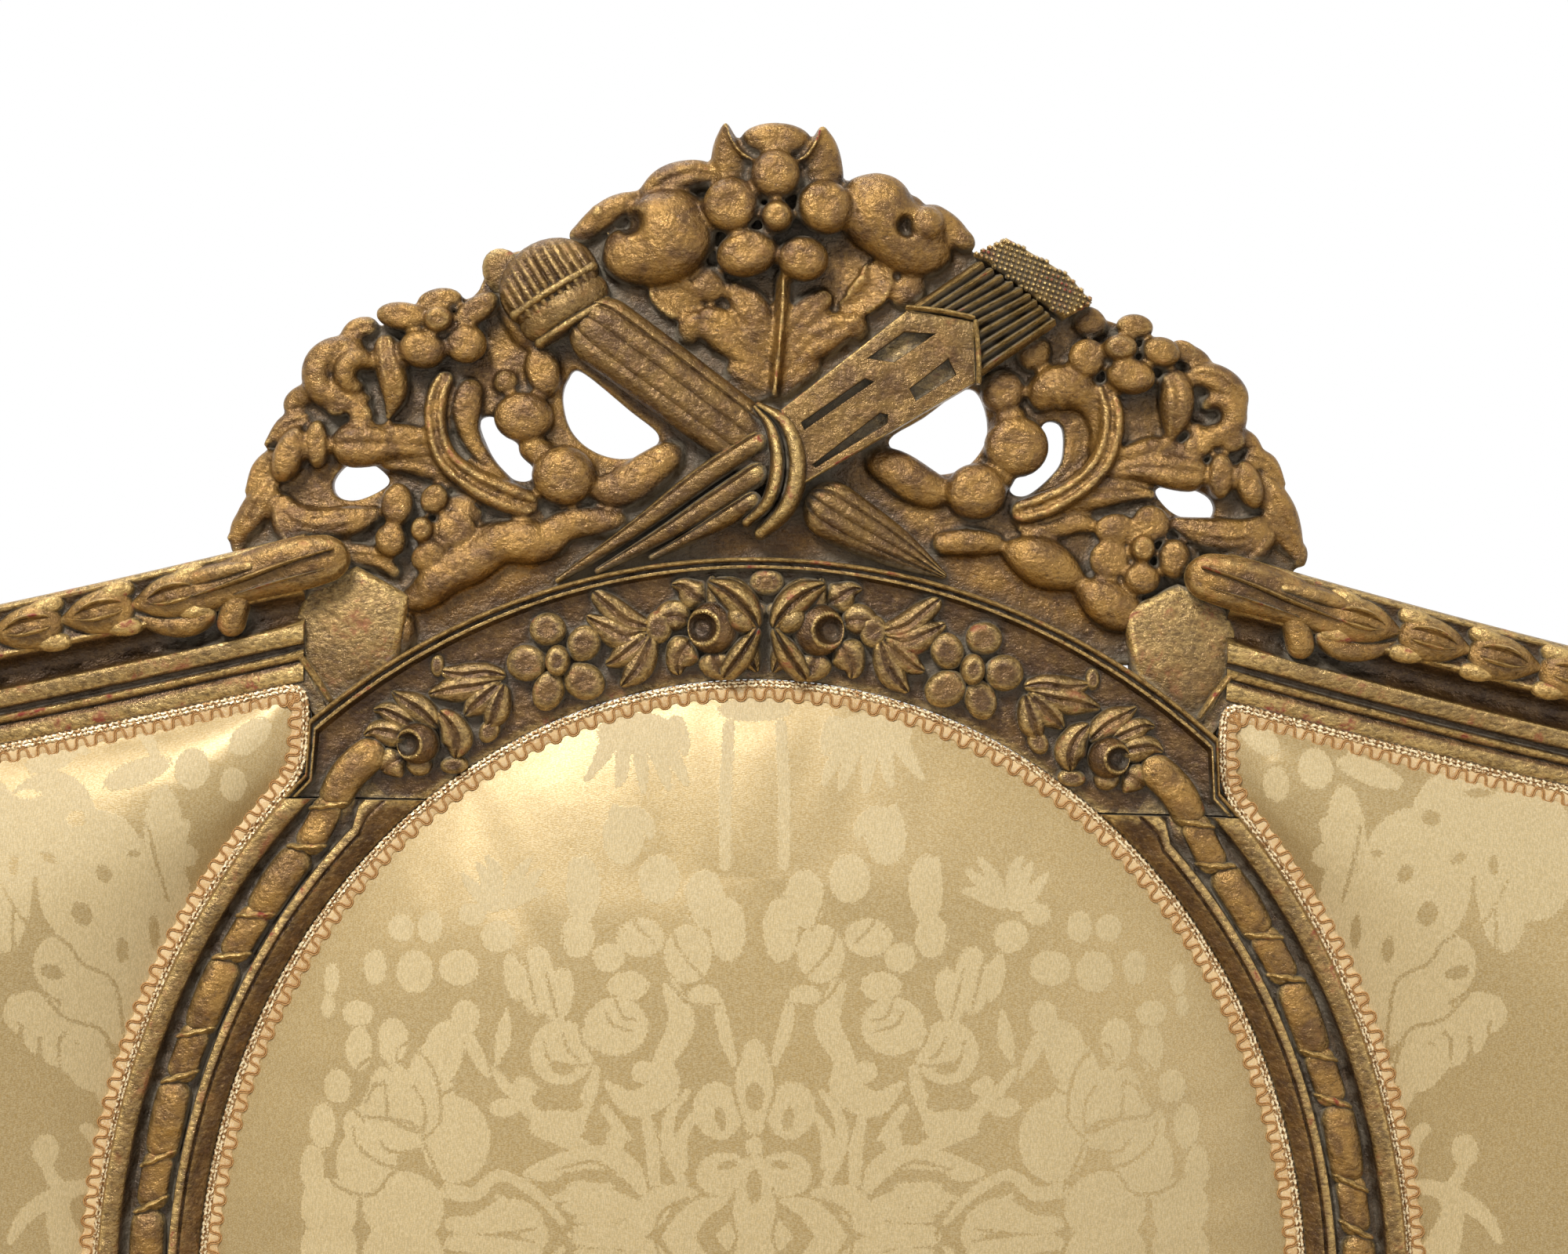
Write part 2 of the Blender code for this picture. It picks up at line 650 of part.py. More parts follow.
def build_seat_frame():
    legs = {}
    places = (("outer_left", -OUTER_LEG_X), ("inner_left", -INNER_LEG_X),
              ("inner_right", INNER_LEG_X), ("outer_right", OUTER_LEG_X))
    stile_x = HALF_WIDTH - OUTER_STILE_WIDTH / 2
    stile_top = SHOULDER_FOOT - FIT
    post_top = -LOW_RAIL_TOP - LOW_RAIL_HEIGHT - FIT
    for place, x in places:
        legs["front", place] = front_leg("front_leg_" + place, x)
    for place, x in places:
        name = "rear_leg_" + place
        if place.startswith("outer"):
            middle = math.copysign(stile_x, x)
            legs["rear", place] = rear_leg(name, middle, OUTER_STILE_WIDTH, stile_top)
        else:
            legs["rear", place] = rear_leg(name, x, REAR_LEG_WIDTH, post_top)
    middle_z = (RAIL_BOTTOM + SEAT_RAIL_TOP) / 2
    front_face = FRONT_Y + RAIL_SETBACK
    rear_face = BACK_Y - RAIL_SETBACK
    half_block = LEG_BLOCK / 2
    bays = (("left", "outer_left", "inner_left"), ("centre", "inner_left", "inner_right"),
            ("right", "inner_right", "outer_right"))
    rear_x = {"outer_left": -stile_x, "inner_left": -INNER_LEG_X,
              "inner_right": INNER_LEG_X, "outer_right": stile_x}
    rear_half = {"outer_left": OUTER_STILE_WIDTH / 2, "inner_left": REAR_LEG_WIDTH / 2,
                 "inner_right": REAR_LEG_WIDTH / 2, "outer_right": OUTER_STILE_WIDTH / 2}
    front_x = dict(places)
    tongue = (TENON_LENGTH + OVERRUN, TENON_THICKNESS, TENON_HEIGHT)
    shift = (TENON_LENGTH - OVERRUN) / 2
    for bay, low, high in bays:
        start = front_x[low] + half_block
        end = front_x[high] - half_block
        rail = seat_rail_x("front_seat_rail_" + bay, start, end, front_face, 1)
        y = front_face + RAIL_THICKNESS / 2
        tenon(rail, legs["front", low], (start - shift, y, middle_z), tongue)
        tenon(rail, legs["front", high], (end + shift, y, middle_z), tongue)
        start = rear_x[low] + rear_half[low]
        end = rear_x[high] - rear_half[high]
        rail = seat_rail_x("rear_seat_rail_" + bay, start, end, rear_face, -1)
        y = rear_face - RAIL_THICKNESS / 2
        shorter = (TENON_LENGTH * 0.7 + OVERRUN, TENON_THICKNESS, TENON_HEIGHT)
        small_shift = (TENON_LENGTH * 0.7 - OVERRUN) / 2
        tenon(rail, legs["rear", low], (start - small_shift, y, middle_z), shorter)
        tenon(rail, legs["rear", high], (end + small_shift, y, middle_z), shorter)
    start = FRONT_Y + LEG_BLOCK
    end = BACK_Y - FRAME_DEPTH
    tongue = (TENON_THICKNESS, TENON_LENGTH * 0.6 + OVERRUN, TENON_HEIGHT)
    shift = (TENON_LENGTH * 0.6 - OVERRUN) / 2
    for side, sign in SIDES:
        rail = seat_rail_y("side_seat_rail_" + side, sign, start, end)
        x = sign * (HALF_WIDTH - RAIL_SETBACK - RAIL_THICKNESS * 0.5)
        tenon(rail, legs["front", "outer_" + side], (x, start - shift, middle_z), tongue)
        tenon(rail, legs["rear", "outer_" + side], (x, end + shift, middle_z), tongue)
        name = "cross_rail_" + side
        size = (RAIL_THICKNESS, end - start - 2 * FIT, RAIL_HEIGHT * 0.76)
        centre = (sign * INNER_LEG_X, (start + end) / 2, middle_z)
        rail = add_node(name, box_mesh(name, centre, size), "beech")
        x = sign * INNER_LEG_X
        tenon(rail, legs["front", "inner_" + side], (x, start - shift, middle_z), tongue)
        tenon(rail, legs["rear", "inner_" + side], (x, end + shift, middle_z), tongue)
        corner_blocks(side, sign, middle_z)
    return legs


def corner_blocks(side, sign, middle_z):
    """Three-cornered blocks glued into the seat frame's corners."""
    inner_x = HALF_WIDTH - RAIL_SETBACK - RAIL_THICKNESS - FIT
    leg_y = FRONT_Y + LEG_BLOCK + FIT
    low = middle_z - CORNER_BLOCK_HEIGHT / 2
    front = [(inner_x, leg_y), (inner_x, leg_y + CORNER_BLOCK), (inner_x - CORNER_BLOCK, leg_y)]
    rear_y = BACK_Y - RAIL_SETBACK - RAIL_THICKNESS - FIT
    stile_side = min(inner_x, STILE_INNER) - FIT
    rear = [(stile_side, rear_y), (stile_side, rear_y - CORNER_BLOCK),
            (stile_side - CORNER_BLOCK, rear_y)]
    for place, outline in (("front", front), ("rear", rear)):
        name = "corner_block_" + place + "_" + side
        outline = [(sign * x, y) for x, y in outline]
        add_node(name, flat_mesh(name, outline, CORNER_BLOCK_HEIGHT, low=low), "beech")


# Frame of the back

def build_medallion(back):
    """The medallion frame, sawn into an arch rail, two stiles and a bottom rail."""
    gap = FIT / 2
    arch_phis = [*phis_between(35, 140), math.pi - OVAL_START_PHI]
    arch_mesh = loft("medallion_arch_rail", medallion_sections(arch_phis, ARCH_PROFILE_SHARES))
    cut_flat(arch_mesh, STILE_TOP_JOINT + gap, True)
    arch = add_node("medallion_arch_rail", arch_mesh, "gilt", back)
    low_phis = phis_between(-154, -26)
    low_mesh = loft("medallion_bottom_rail", medallion_sections(low_phis, STILE_PROFILE_SHARES))
    cut_flat(low_mesh, -STILE_LOW_JOINT - gap, False)
    low_rail = add_node("medallion_bottom_rail", low_mesh, "gilt", back)
    for side, sign in SIDES:
        phis = phis_between(-52, 55)
        if sign < 0:
            phis = [math.pi - phi for phi in phis]
        name = "medallion_stile_" + side
        mesh = loft(name, medallion_sections(phis, STILE_PROFILE_SHARES))
        cut_flat(mesh, STILE_TOP_JOINT - gap, False)
        cut_flat(mesh, -STILE_LOW_JOINT + gap, True)
        stile = add_node(name, mesh, "gilt", back)
        for mate, height in ((arch, STILE_TOP_JOINT), (low_rail, -STILE_LOW_JOINT)):
            spread = 0.84 if height > 0 else 0.86
            share = math.sqrt(1 - (height / MEDALLION_HALF_HEIGHT) ** 2)
            u = sign * (MEDALLION_HALF_WIDTH * share - MEDALLION_BAND * (1 - spread) * 3.6)
            size = (FRAME_TENON_WIDTH, 2 * TENON_LENGTH * 0.8, TENON_THICKNESS)
            tenon(stile, mate, (u, height, FRAME_DEPTH * 0.38), size, back)
    return arch, low_rail


def side_top_rail(side, sign, back):
    """Moulded top rail, sloping from the medallion and turning down round the shoulder."""
    path = side_rail_path(RAIL_START)
    sections = []
    for i, (point, normal) in enumerate(path):
        band = rail_band(i, len(path))
        ring = []
        for share, height in RAIL_PROFILE_SHARES:
            place = point + normal * band * share
            ring.append((sign * place.x, place.y, height * FRAME_DEPTH))
        sections.append(ring)
    name = "side_top_rail_" + side
    rail = add_node(name, loft(name, sections), "gilt", back)
    corner = panel_top_corner()
    block_foot = outer_edge(ARCH_FOOT_PHI)[1] - OVERRUN
    block = [(RAIL_START, block_foot), (ARCH_HALF_SPAN, block_foot),
             (ARCH_HALF_SPAN, corner.y + OVERRUN), (RAIL_START, corner.y + OVERRUN)]
    block = [(sign * u, v) for u, v in block]
    mesh = flat_mesh(name + "_block", block, FRAME_DEPTH * 0.7)
    combine(rail, add_guide(name + "_block", mesh, back), "UNION")
    cutter = flat_mesh(name + "_trim", medallion_trim(sign), FRAME_DEPTH + 2 * OVERRUN, low=-OVERRUN)
    combine(rail, add_guide(name + "_trim", cutter, back), "DIFFERENCE")
    return rail


def medallion_trim(sign):
    """All that lies inwards of the side rail's end: the crest's foot and the medallion frame."""
    foot = CREST_FOOT + FIT
    top = side_rail_height(CREST_FOOT) + SIDE_RAIL_BAND
    line = [(0, top), (foot, top)]
    corner = ARCH_CENTRE + math.sqrt((ARCH_RADIUS + FIT) ** 2 - foot ** 2)
    line.append((foot, corner))
    for phi in reversed(phis_between(20, 47)):
        line.append(outer_edge(phi, FIT))
    line.append((0, line[-1][1]))
    return [(sign * u, v) for u, v in line]


def side_low_rail(side, sign, back):
    """Bottom rail of a side panel, scribed to the medallion's flank."""
    low = -LOW_RAIL_TOP - LOW_RAIL_HEIGHT
    flank = []
    for share in (0, 0.34, 0.67, 1):
        v = -LOW_RAIL_TOP + (low + LOW_RAIL_TOP) * share
        ratio = v / (MEDALLION_HALF_HEIGHT + FIT)
        flank.append(((MEDALLION_HALF_WIDTH + 2 * FIT) * math.sqrt(1 - ratio * ratio) + FIT, v))
    outline = [*flank, (STILE_INNER - FIT, low), (STILE_INNER - FIT, -LOW_RAIL_TOP)]
    outline = [(sign * u, v) for u, v in outline]
    name = "side_low_rail_" + side
    mesh = flat_mesh(name, outline, FRAME_DEPTH * 0.62)
    return add_node(name, mesh, "gilt", back)


def build_back_frame(back, legs):
    arch, low_rail = build_medallion(back)
    for side, sign in SIDES:
        outer_leg = legs["rear", "outer_" + side]
        inner_leg = legs["rear", "inner_" + side]
        top_rail = side_top_rail(side, sign, back)
        bottom_rail = side_low_rail(side, sign, back)
        # Stile head into the shoulder, low rail into the stile, and inner post into the low rail
        depth = FRAME_DEPTH * 0.32
        stile_u = sign * (HALF_WIDTH - OUTER_STILE_WIDTH / 2)
        head = (FRAME_TENON_WIDTH, 2 * TENON_LENGTH * 0.7, TENON_THICKNESS)
        tenon(outer_leg, top_rail, (stile_u, SHOULDER_FOOT, depth), head, back)
        rail_v = -LOW_RAIL_TOP - LOW_RAIL_HEIGHT / 2
        size = (TENON_LENGTH + OVERRUN, LOW_RAIL_HEIGHT * 0.5, TENON_THICKNESS)
        place = (sign * (STILE_INNER + (TENON_LENGTH - OVERRUN) / 2), rail_v, depth)
        tenon(bottom_rail, outer_leg, place, size, back)
        low_v = -LOW_RAIL_TOP - LOW_RAIL_HEIGHT
        size = (FRAME_TENON_WIDTH, TENON_LENGTH, TENON_THICKNESS)
        tenon(inner_leg, bottom_rail, (sign * INNER_LEG_X, low_v, depth), size, back)
        # Low rail into the medallion's flank
        share = math.sqrt(1 - (rail_v / MEDALLION_HALF_HEIGHT) ** 2)
        size = (TENON_LENGTH * 2, LOW_RAIL_HEIGHT * 0.35, TENON_THICKNESS)
        place = (sign * MEDALLION_HALF_WIDTH * share, rail_v, depth)
        tenon(bottom_rail, low_rail, place, size, back)
        # Side rail into the arch rail's shoulder
        u = (CREST_FOOT + ARCH_HALF_SPAN) / 2
        size = ((ARCH_HALF_SPAN - CREST_FOOT) * 0.68, TENON_LENGTH * 1.8, TENON_THICKNESS)
        place = (sign * u, ARCH_CENTRE + math.sqrt(ARCH_RADIUS ** 2 - u ** 2), depth)
        tenon(top_rail, arch, place, size, back)
    return arch


# Pierced crest, placed by marks in the photograph and scaled to its real width and height

def crest_u(px):
    return (px - CREST_PX_AXIS) * CREST_WIDTH / (CREST_PX_RIGHT - CREST_PX_LEFT)


def crest_v(py):
    return ARCH_TOP + (ARCH_PX_TOP - py) * CREST_HEIGHT / (ARCH_PX_TOP - CREST_PX_TOP)


def crest_size(pixels):
    return pixels * CREST_WIDTH / (CREST_PX_RIGHT - CREST_PX_LEFT)


def crest_points(marks):
    return [(crest_u(px), crest_v(py)) for px, py in marks]


CREST_OUTLINE_PX = (
    (1671, 722), (1660, 645), (1640, 600), (1612, 572), (1590, 520), (1560, 481), (1530, 450),
    (1480, 418), (1440, 403), (1400, 392), (1385, 350), (1330, 322), (1275, 306), (1238, 302),
    (1205, 276), (1160, 240), (1125, 218), (1082, 208), (1062, 172), (985, 168), (925, 170),
    (905, 212), (870, 220), (800, 250), (765, 274), (715, 304), (655, 308), (620, 345),
    (580, 366), (520, 378), (470, 408), (425, 440), (410, 470), (368, 515), (335, 560),
    (312, 605), (292, 655), (284, 700))

CREST_HOLES_PX = (
    ((722, 480), (735, 468), (838, 553), (820, 576), (788, 583), (752, 570), (724, 538)),
    ((1137, 562), (1240, 492), (1261, 520), (1262, 552), (1240, 586), (1205, 603), (1162, 596)),
    ((605, 535), (625, 530), (642, 562), (672, 577), (678, 612), (652, 610), (620, 570)),
    ((418, 610), (432, 595), (462, 588), (490, 605), (484, 620), (450, 635), (428, 632)),
    ((1340, 535), (1362, 545), (1355, 580), (1335, 610), (1295, 628), (1291, 614), (1326, 590)),
    ((1480, 625), (1500, 617), (1545, 630), (1553, 652), (1542, 666), (1508, 656)))

# Swellings: centre, half length and half width in pixels, turn in degrees, share of the relief
CREST_BOSSES_PX = (
    # top flower and its cup
    (990, 223, 33, 31, 0, 1.0), (934, 262, 36, 33, 0, 0.95), (1050, 262, 36, 34, 0, 0.95),
    (990, 273, 20, 20, 0, 1.15), (953, 322, 38, 27, 10, 0.9), (1025, 327, 31, 28, 0, 0.9),
    (992, 176, 42, 22, 0, 0.8), (932, 186, 16, 34, 8, 0.6), (1050, 190, 16, 34, -8, 0.6),
    # leaves beside its stem
    (905, 412, 44, 20, 30, 0.5), (1072, 408, 44, 20, -30, 0.5), (940, 478, 30, 14, 40, 0.45),
    (1036, 460, 30, 14, -40, 0.45),
    # upper scrolls
    (830, 275, 62, 52, 20, 0.95), (1140, 272, 66, 42, -40, 0.8),
    # ruffled ribbons round the large openings
    (688, 452, 36, 30, 60, 0.7), (664, 520, 42, 34, 80, 0.75), (714, 606, 46, 38, 35, 0.8),
    (790, 618, 46, 30, 0, 0.7), (852, 582, 36, 26, 30, 0.6), (1278, 498, 36, 28, -60, 0.7),
    (1306, 560, 42, 34, 80, 0.75), (1250, 636, 46, 38, -35, 0.8), (1176, 624, 44, 28, 0, 0.7),
    # upper left blossom and its bud
    (514, 408, 30, 24, -30, 0.8), (590, 438, 32, 25, 0, 0.8), (537, 444, 30, 28, 0, 0.9),
    (556, 406, 14, 14, 0, 1.0), (458, 478, 46, 26, 35, 0.75),
    # lower left blossom
    (499, 644, 24, 21, 0, 0.75), (497, 688, 22, 21, 0, 0.75), (552, 644, 26, 22, -20, 0.75),
    (566, 680, 22, 22, 0, 0.7), (532, 682, 13, 13, 0, 0.95),
    # upper right blossom and its bud
    (1385, 460, 24, 22, 0, 0.8), (1452, 408, 24, 22, 0, 0.8), (1480, 452, 22, 22, 0, 0.8),
    (1444, 482, 32, 28, 0, 0.9), (1431, 443, 15, 14, 0, 1.0), (1530, 500, 44, 30, -40, 0.75),
    # lower right blossom
    (1428, 668, 24, 21, 0, 0.75), (1476, 658, 24, 21, 0, 0.75), (1497, 708, 22, 22, 0, 0.7),
    (1456, 738, 24, 20, 0, 0.7), (1460, 698, 13, 13, 0, 0.95))

# Scrolls and ribbons: a run of marks with a radius in pixels at each end and in the middle
CREST_SCROLLS_PX = (
    (((300, 700), (318, 640), (352, 585), (402, 545), (470, 540)), 12, 22, 9),
    (((470, 560), (540, 575), (600, 610), (650, 650), (720, 660)), 10, 22, 14),
    (((585, 480), (560, 530), (580, 590), (640, 640), (700, 650)), 8, 16, 10),
    (((462, 790), (520, 762), (585, 715), (660, 690), (760, 680)), 9, 22, 12),
    (((380, 690), (420, 700), (470, 740), (500, 780)), 10, 18, 8),
    (((1662, 712), (1640, 650), (1600, 600), (1560, 580), (1500, 565)), 12, 22, 9),
    (((1500, 585), (1440, 595), (1380, 625), (1320, 650), (1240, 655)), 10, 22, 14),
    (((1390, 510), (1412, 555), (1395, 600), (1350, 640), (1290, 655)), 8, 16, 10),
    (((1525, 800), (1460, 782), (1390, 725), (1310, 700), (1230, 680)), 9, 22, 12),
    (((1600, 700), (1565, 712), (1530, 745), (1505, 785)), 10, 18, 8),
    # stem of the top flower
    (((1003, 360), (995, 430), (985, 500)), 9, 8, 11),
    # binding ring
    (((972, 512), (1010, 550), (1021, 598), (1004, 650), (966, 690)), 9, 20, 11))

QUIVER_PX = ((1158, 395), (1245, 482), (1027, 615), (775, 760), (700, 740), (1000, 520))
QUIVER_POCKETS_PX = (
    ((1108, 456), (1160, 421), (1192, 424), (1148, 464)),
    ((1160, 496), (1214, 458), (1220, 478), (1172, 510)),
    ((1015, 536), (1094, 481), (1114, 488), (1022, 546)),
    ((1030, 590), (1128, 517), (1132, 530), (1036, 604)))
ARROWS_PX = ((1150, 388), (1262, 306), (1392, 384), (1262, 480))
SCROLL_SINK_SHARE = 0.2
TORCH_START_PX = (622, 322)
TORCH_END_PX = (1213, 738)
TORCH_END_RADIUS_PX = 4
# Turned outline of the torch: share of its length, radius in pixels
TORCH_STATIONS = (
    (0.0, 14), (0.02, 46), (0.10, 68), (0.13, 76), (0.16, 68), (0.175, 80), (0.205, 80),
    (0.215, 56), (0.36, 52), (0.56, 40), (0.60, 34), (0.97, 10), (1.0, TORCH_END_RADIUS_PX))


def boss(name, mark, back):
    """One swelling of the carving: a petal, a lobe or a bud."""
    px, py, half_length, half_width, turn, share = mark
    relief = FRAME_DEPTH - CREST_GROUND
    bm = bmesh.new()
    bmesh.ops.create_uvsphere(bm, u_segments=8, v_segments=5, radius=1)
    size = (crest_size(half_length), crest_size(half_width), relief * share)
    bmesh.ops.scale(bm, vec=size, verts=bm.verts)
    bmesh.ops.rotate(bm, cent=(0, 0, 0), matrix=Matrix.Rotation(math.radians(turn), 3, "Z"), verts=bm.verts)
    ground = CREST_SETBACK + CREST_GROUND - OVERRUN / 3
    bmesh.ops.translate(bm, vec=(crest_u(px), crest_v(py), ground), verts=bm.verts)
    return add_guide(name, mesh_from(name, bm), back)


def scroll(name, mark, back):
    """A leaf scroll or ribbon that swells in the middle and lies on the ground of the crest."""
    marks, start, middle, end = mark
    run = curve_through(crest_points(marks), 2)
    radii = []
    for i in range(len(run)):
        t = i / (len(run) - 1)
        low, high = (start, middle) if t < 0.5 else (end, middle)
        blend = 1 - abs(2 * t - 1)
        radii.append(crest_size(low + (high - low) * blend))
    ground = CREST_SETBACK + CREST_GROUND
    points = [(u, v, ground - radius * SCROLL_SINK_SHARE) for (u, v), radius in zip(run, radii)]
    return add_guide(name, rod_mesh(name, points, radii), back)


def torch(back):
    """The turned torch that crosses behind the quiver."""
    start = Vector((crest_u(TORCH_START_PX[0]), crest_v(TORCH_START_PX[1])))
    end = Vector((crest_u(TORCH_END_PX[0]), crest_v(TORCH_END_PX[1])))
    length = (end - start).length
    flat = 0.42
    bm = bmesh.new()
    line = [bm.verts.new((crest_size(radius) * 0.92, 0, -share * length))
            for share, radius in TORCH_STATIONS]
    for above, below in zip(line, line[1:]):
        bm.edges.new((above, below))
    mesh = bpy.data.meshes.new("torch_outline")
    bm.to_mesh(mesh)
    bm.free()
    item = add_guide("crest_torch", mesh, back)
    turn = item.modifiers.new("turned", "SCREW")
    turn.axis = "Z"
    turn.steps = 10
    turn.render_steps = 10
    turn.use_merge_vertices = True
    turn.merge_threshold = 0.0001
    direction = (end - start).normalized()
    bpy.context.view_layer.update()
    graph = bpy.context.evaluated_depsgraph_get()
    turned = bpy.data.meshes.new_from_object(item.evaluated_get(graph))
    bpy.data.objects.remove(item)
    bm = bmesh.new()
    bm.from_mesh(turned)
    bmesh.ops.holes_fill(bm, edges=[edge for edge in bm.edges if edge.is_boundary])
    along = Vector((direction.x, direction.y, 0))
    across = Vector((-direction.y, direction.x, 0))
    lay = Matrix((across, Vector((0, 0, 1)), -along)).transposed().to_4x4()
    squash = Matrix.Diagonal((1, flat, 1, 1))
    bmesh.ops.transform(bm, matrix=lay @ squash, verts=bm.verts)
    ground = CREST_SETBACK + CREST_GROUND - crest_size(TORCH_END_RADIUS_PX)
    bmesh.ops.translate(bm, vec=(start.x, start.y, ground), verts=bm.verts)
    return add_guide("crest_torch", mesh_from("crest_torch", bm), back)


def build_crest(back, arch):
    """Pierced cartouche of leaf scrolls, blossoms and ribbons round a crossed torch and quiver."""
    right = seat_line(1, FIT)
    left = seat_line(-1, FIT)
    foot = [*left[::-1], *right[1:]]
    sunk = [(u, v - OVERRUN) for u, v in foot]
    outline = [*sunk, *crest_points(CREST_OUTLINE_PX)]
    holes = [crest_points(hole) for hole in CREST_HOLES_PX]
    mesh = flat_mesh("crest_cartouche", outline, CREST_GROUND, low=CREST_SETBACK)
    crest = add_node("crest_cartouche", mesh, "gilt", back)

    carving = bpy.data.collections.new("crest_carving")
    CUTTERS.children.link(carving)
    pieces = [torch(back)]
    for i, mark in enumerate(CREST_BOSSES_PX):
        pieces.append(boss("crest_boss_%d" % i, mark, back))
    for i, mark in enumerate(CREST_SCROLLS_PX):
        pieces.append(scroll("crest_scroll_%d" % i, mark, back))
    ground = CREST_SETBACK + CREST_GROUND
    quiver = flat_mesh("crest_quiver", crest_points(QUIVER_PX), FRAME_DEPTH * 0.42,
                       low=ground - OVERRUN)
    pieces.append(add_guide("crest_quiver", quiver, back))
    arrows = flat_mesh("crest_arrows", crest_points(ARROWS_PX), FRAME_DEPTH * 0.40,
                       low=ground - OVERRUN * 1.3)
    pieces.append(add_guide("crest_arrows", arrows, back))
    for piece in pieces:
        CUTTERS.objects.unlink(piece)
        carving.objects.link(piece)
    combine(crest, carving, "UNION")

    for i, hole in enumerate(holes):
        name = "crest_opening_%d" % i
        cutter = flat_mesh(name, hole, FRAME_DEPTH * 3, low=-FRAME_DEPTH)
        combine(crest, add_guide(name, cutter, back), "DIFFERENCE")
    for i, pocket in enumerate(QUIVER_POCKETS_PX):
        name = "crest_pocket_%d" % i
        low = ground + FRAME_DEPTH * 0.16
        cutter = flat_mesh(name, crest_points(pocket), FRAME_DEPTH, low=low)
        combine(crest, add_guide(name, cutter, back), "DIFFERENCE")
    below = ARCH_TOP - CREST_HEIGHT
    reach = CREST_WIDTH
    trim = [*foot, (reach, foot[-1][1]), (reach, below), (-reach, below), (-reach, foot[0][1])]
    cutter = flat_mesh("crest_foot_line", trim, FRAME_DEPTH * 3, low=-FRAME_DEPTH)
    combine(crest, add_guide("crest_foot_line", cutter, back), "DIFFERENCE")
    for sign in (-1, 1):
        u = sign * CREST_FOOT / 3
        v = ARCH_CENTRE + math.sqrt(ARCH_RADIUS ** 2 - u ** 2)
        size = (FRAME_TENON_WIDTH, 2 * TENON_LENGTH * 0.7, TENON_THICKNESS)
        tenon(crest, arch, (u, v, FRAME_DEPTH * 0.34), size, back)
    return crest


# Arms

def build_arms(back, legs):
    for side, sign in SIDES:
        x = sign * ARM_X
        top_y = back_front_y(ARM_HEIGHT)
        low_y = back_front_y(ARM_HEIGHT - ARM_BAR)
        scroll_y = FRONT_Y + ARM_SETBACK
        centre_z = ARM_HEIGHT - ARM_SCROLL_RADIUS
        nose = []
        for degrees in range(90, 301, 30):
            angle = math.radians(degrees)
            nose.append((scroll_y + ARM_SCROLL_RADIUS * math.cos(angle),
                         centre_z + ARM_SCROLL_RADIUS * math.sin(angle)))
        under = ARM_HEIGHT - ARM_BAR
        neck = scroll_y + ARM_SCROLL_RADIUS * 1.3
        outline = [(top_y - FIT, ARM_HEIGHT), *nose, (neck, under), (low_y - FIT, under)]
        name = "arm_rest_" + side
        rest = add_node(name, side_view_mesh(name, outline, x, ARM_WIDTH), "gilt")
        tongue = (TENON_THICKNESS, TENON_LENGTH * 0.7 + OVERRUN, ARM_BAR * 0.5)
        place = (x, low_y + (TENON_LENGTH * 0.7 - OVERRUN) / 2, ARM_HEIGHT - ARM_BAR / 2)
        tenon(rest, legs["rear", "outer_" + side], place, tongue)

        foot_y = FRONT_Y + (LEG_BLOCK - ARM_POST_FOOT) / 2
        head_y = neck + ARM_SCROLL_RADIUS * 0.4
        base = SEAT_RAIL_TOP + FIT
        head = under - FIT
        rise = head - base
        front = curve_through(
            [(foot_y, base), (foot_y, base + rise * 0.12),
             (foot_y + (head_y - foot_y) * 0.36, base + rise * 0.42),
             (head_y - ARM_POST_HEAD * 0.12, base + rise * 0.78), (head_y, head)], 3)
        rear = curve_through(
            [(foot_y + ARM_POST_FOOT, base), (foot_y + ARM_POST_FOOT * 0.98, base + rise * 0.10),
             (foot_y + ARM_POST_FOOT + (head_y - foot_y) * 0.38, base + rise * 0.36),
             (head_y + ARM_POST_HEAD * 0.92, base + rise * 0.74), (head_y + ARM_POST_HEAD, head)], 3)
        name = "arm_post_" + side
        post = add_node(name, side_view_mesh(name, [*front, *rear[::-1]], x, ARM_WIDTH), "gilt")
        size = (TENON_THICKNESS, ARM_POST_FOOT * 0.5, TENON_LENGTH * 2)
        place = (x, foot_y + ARM_POST_FOOT / 2, base)
        tenon(post, legs["front", "outer_" + side], place, size)
        size = (TENON_THICKNESS, ARM_POST_HEAD * 0.5, TENON_LENGTH)
        place = (x, head_y + ARM_POST_HEAD / 2, head)
        tenon(post, rest, place, size)

        pad_start = top_y - TENON_LENGTH - ARM_PAD_LENGTH
        name = "arm_pad_" + side
        add_node(name, arm_pad_mesh(name, x, pad_start), "damask")


def arm_pad_mesh(name, x, start_y):
    """A small stuffed pad with round ends on top of the arm."""
    radius = ARM_PAD_WIDTH / 2
    half = ARM_PAD_LENGTH / 2 - radius
    outline = []
    for degrees in range(0, 360, 30):
        angle = math.radians(degrees)
        shift = half if degrees < 180 else -half
        outline.append((radius * math.cos(angle), radius * math.sin(angle) + shift))
    low = ARM_HEIGHT + FIT
    levels = ((0.94, 0), (1.0, 0.35), (0.90, 0.72), (0.62, 0.95), (0.25, 1.0))
    rings = []
    for share, rise in levels:
        ring = []
        for u, v in outline:
            spread = (half + radius * share) / (half + radius)
            ring.append((x + u * share, start_y + ARM_PAD_LENGTH / 2 + v * spread,
                         low + ARM_PAD_HEIGHT * rise))
        rings.append(ring)
    return loft(name, rings)


# Upholstery

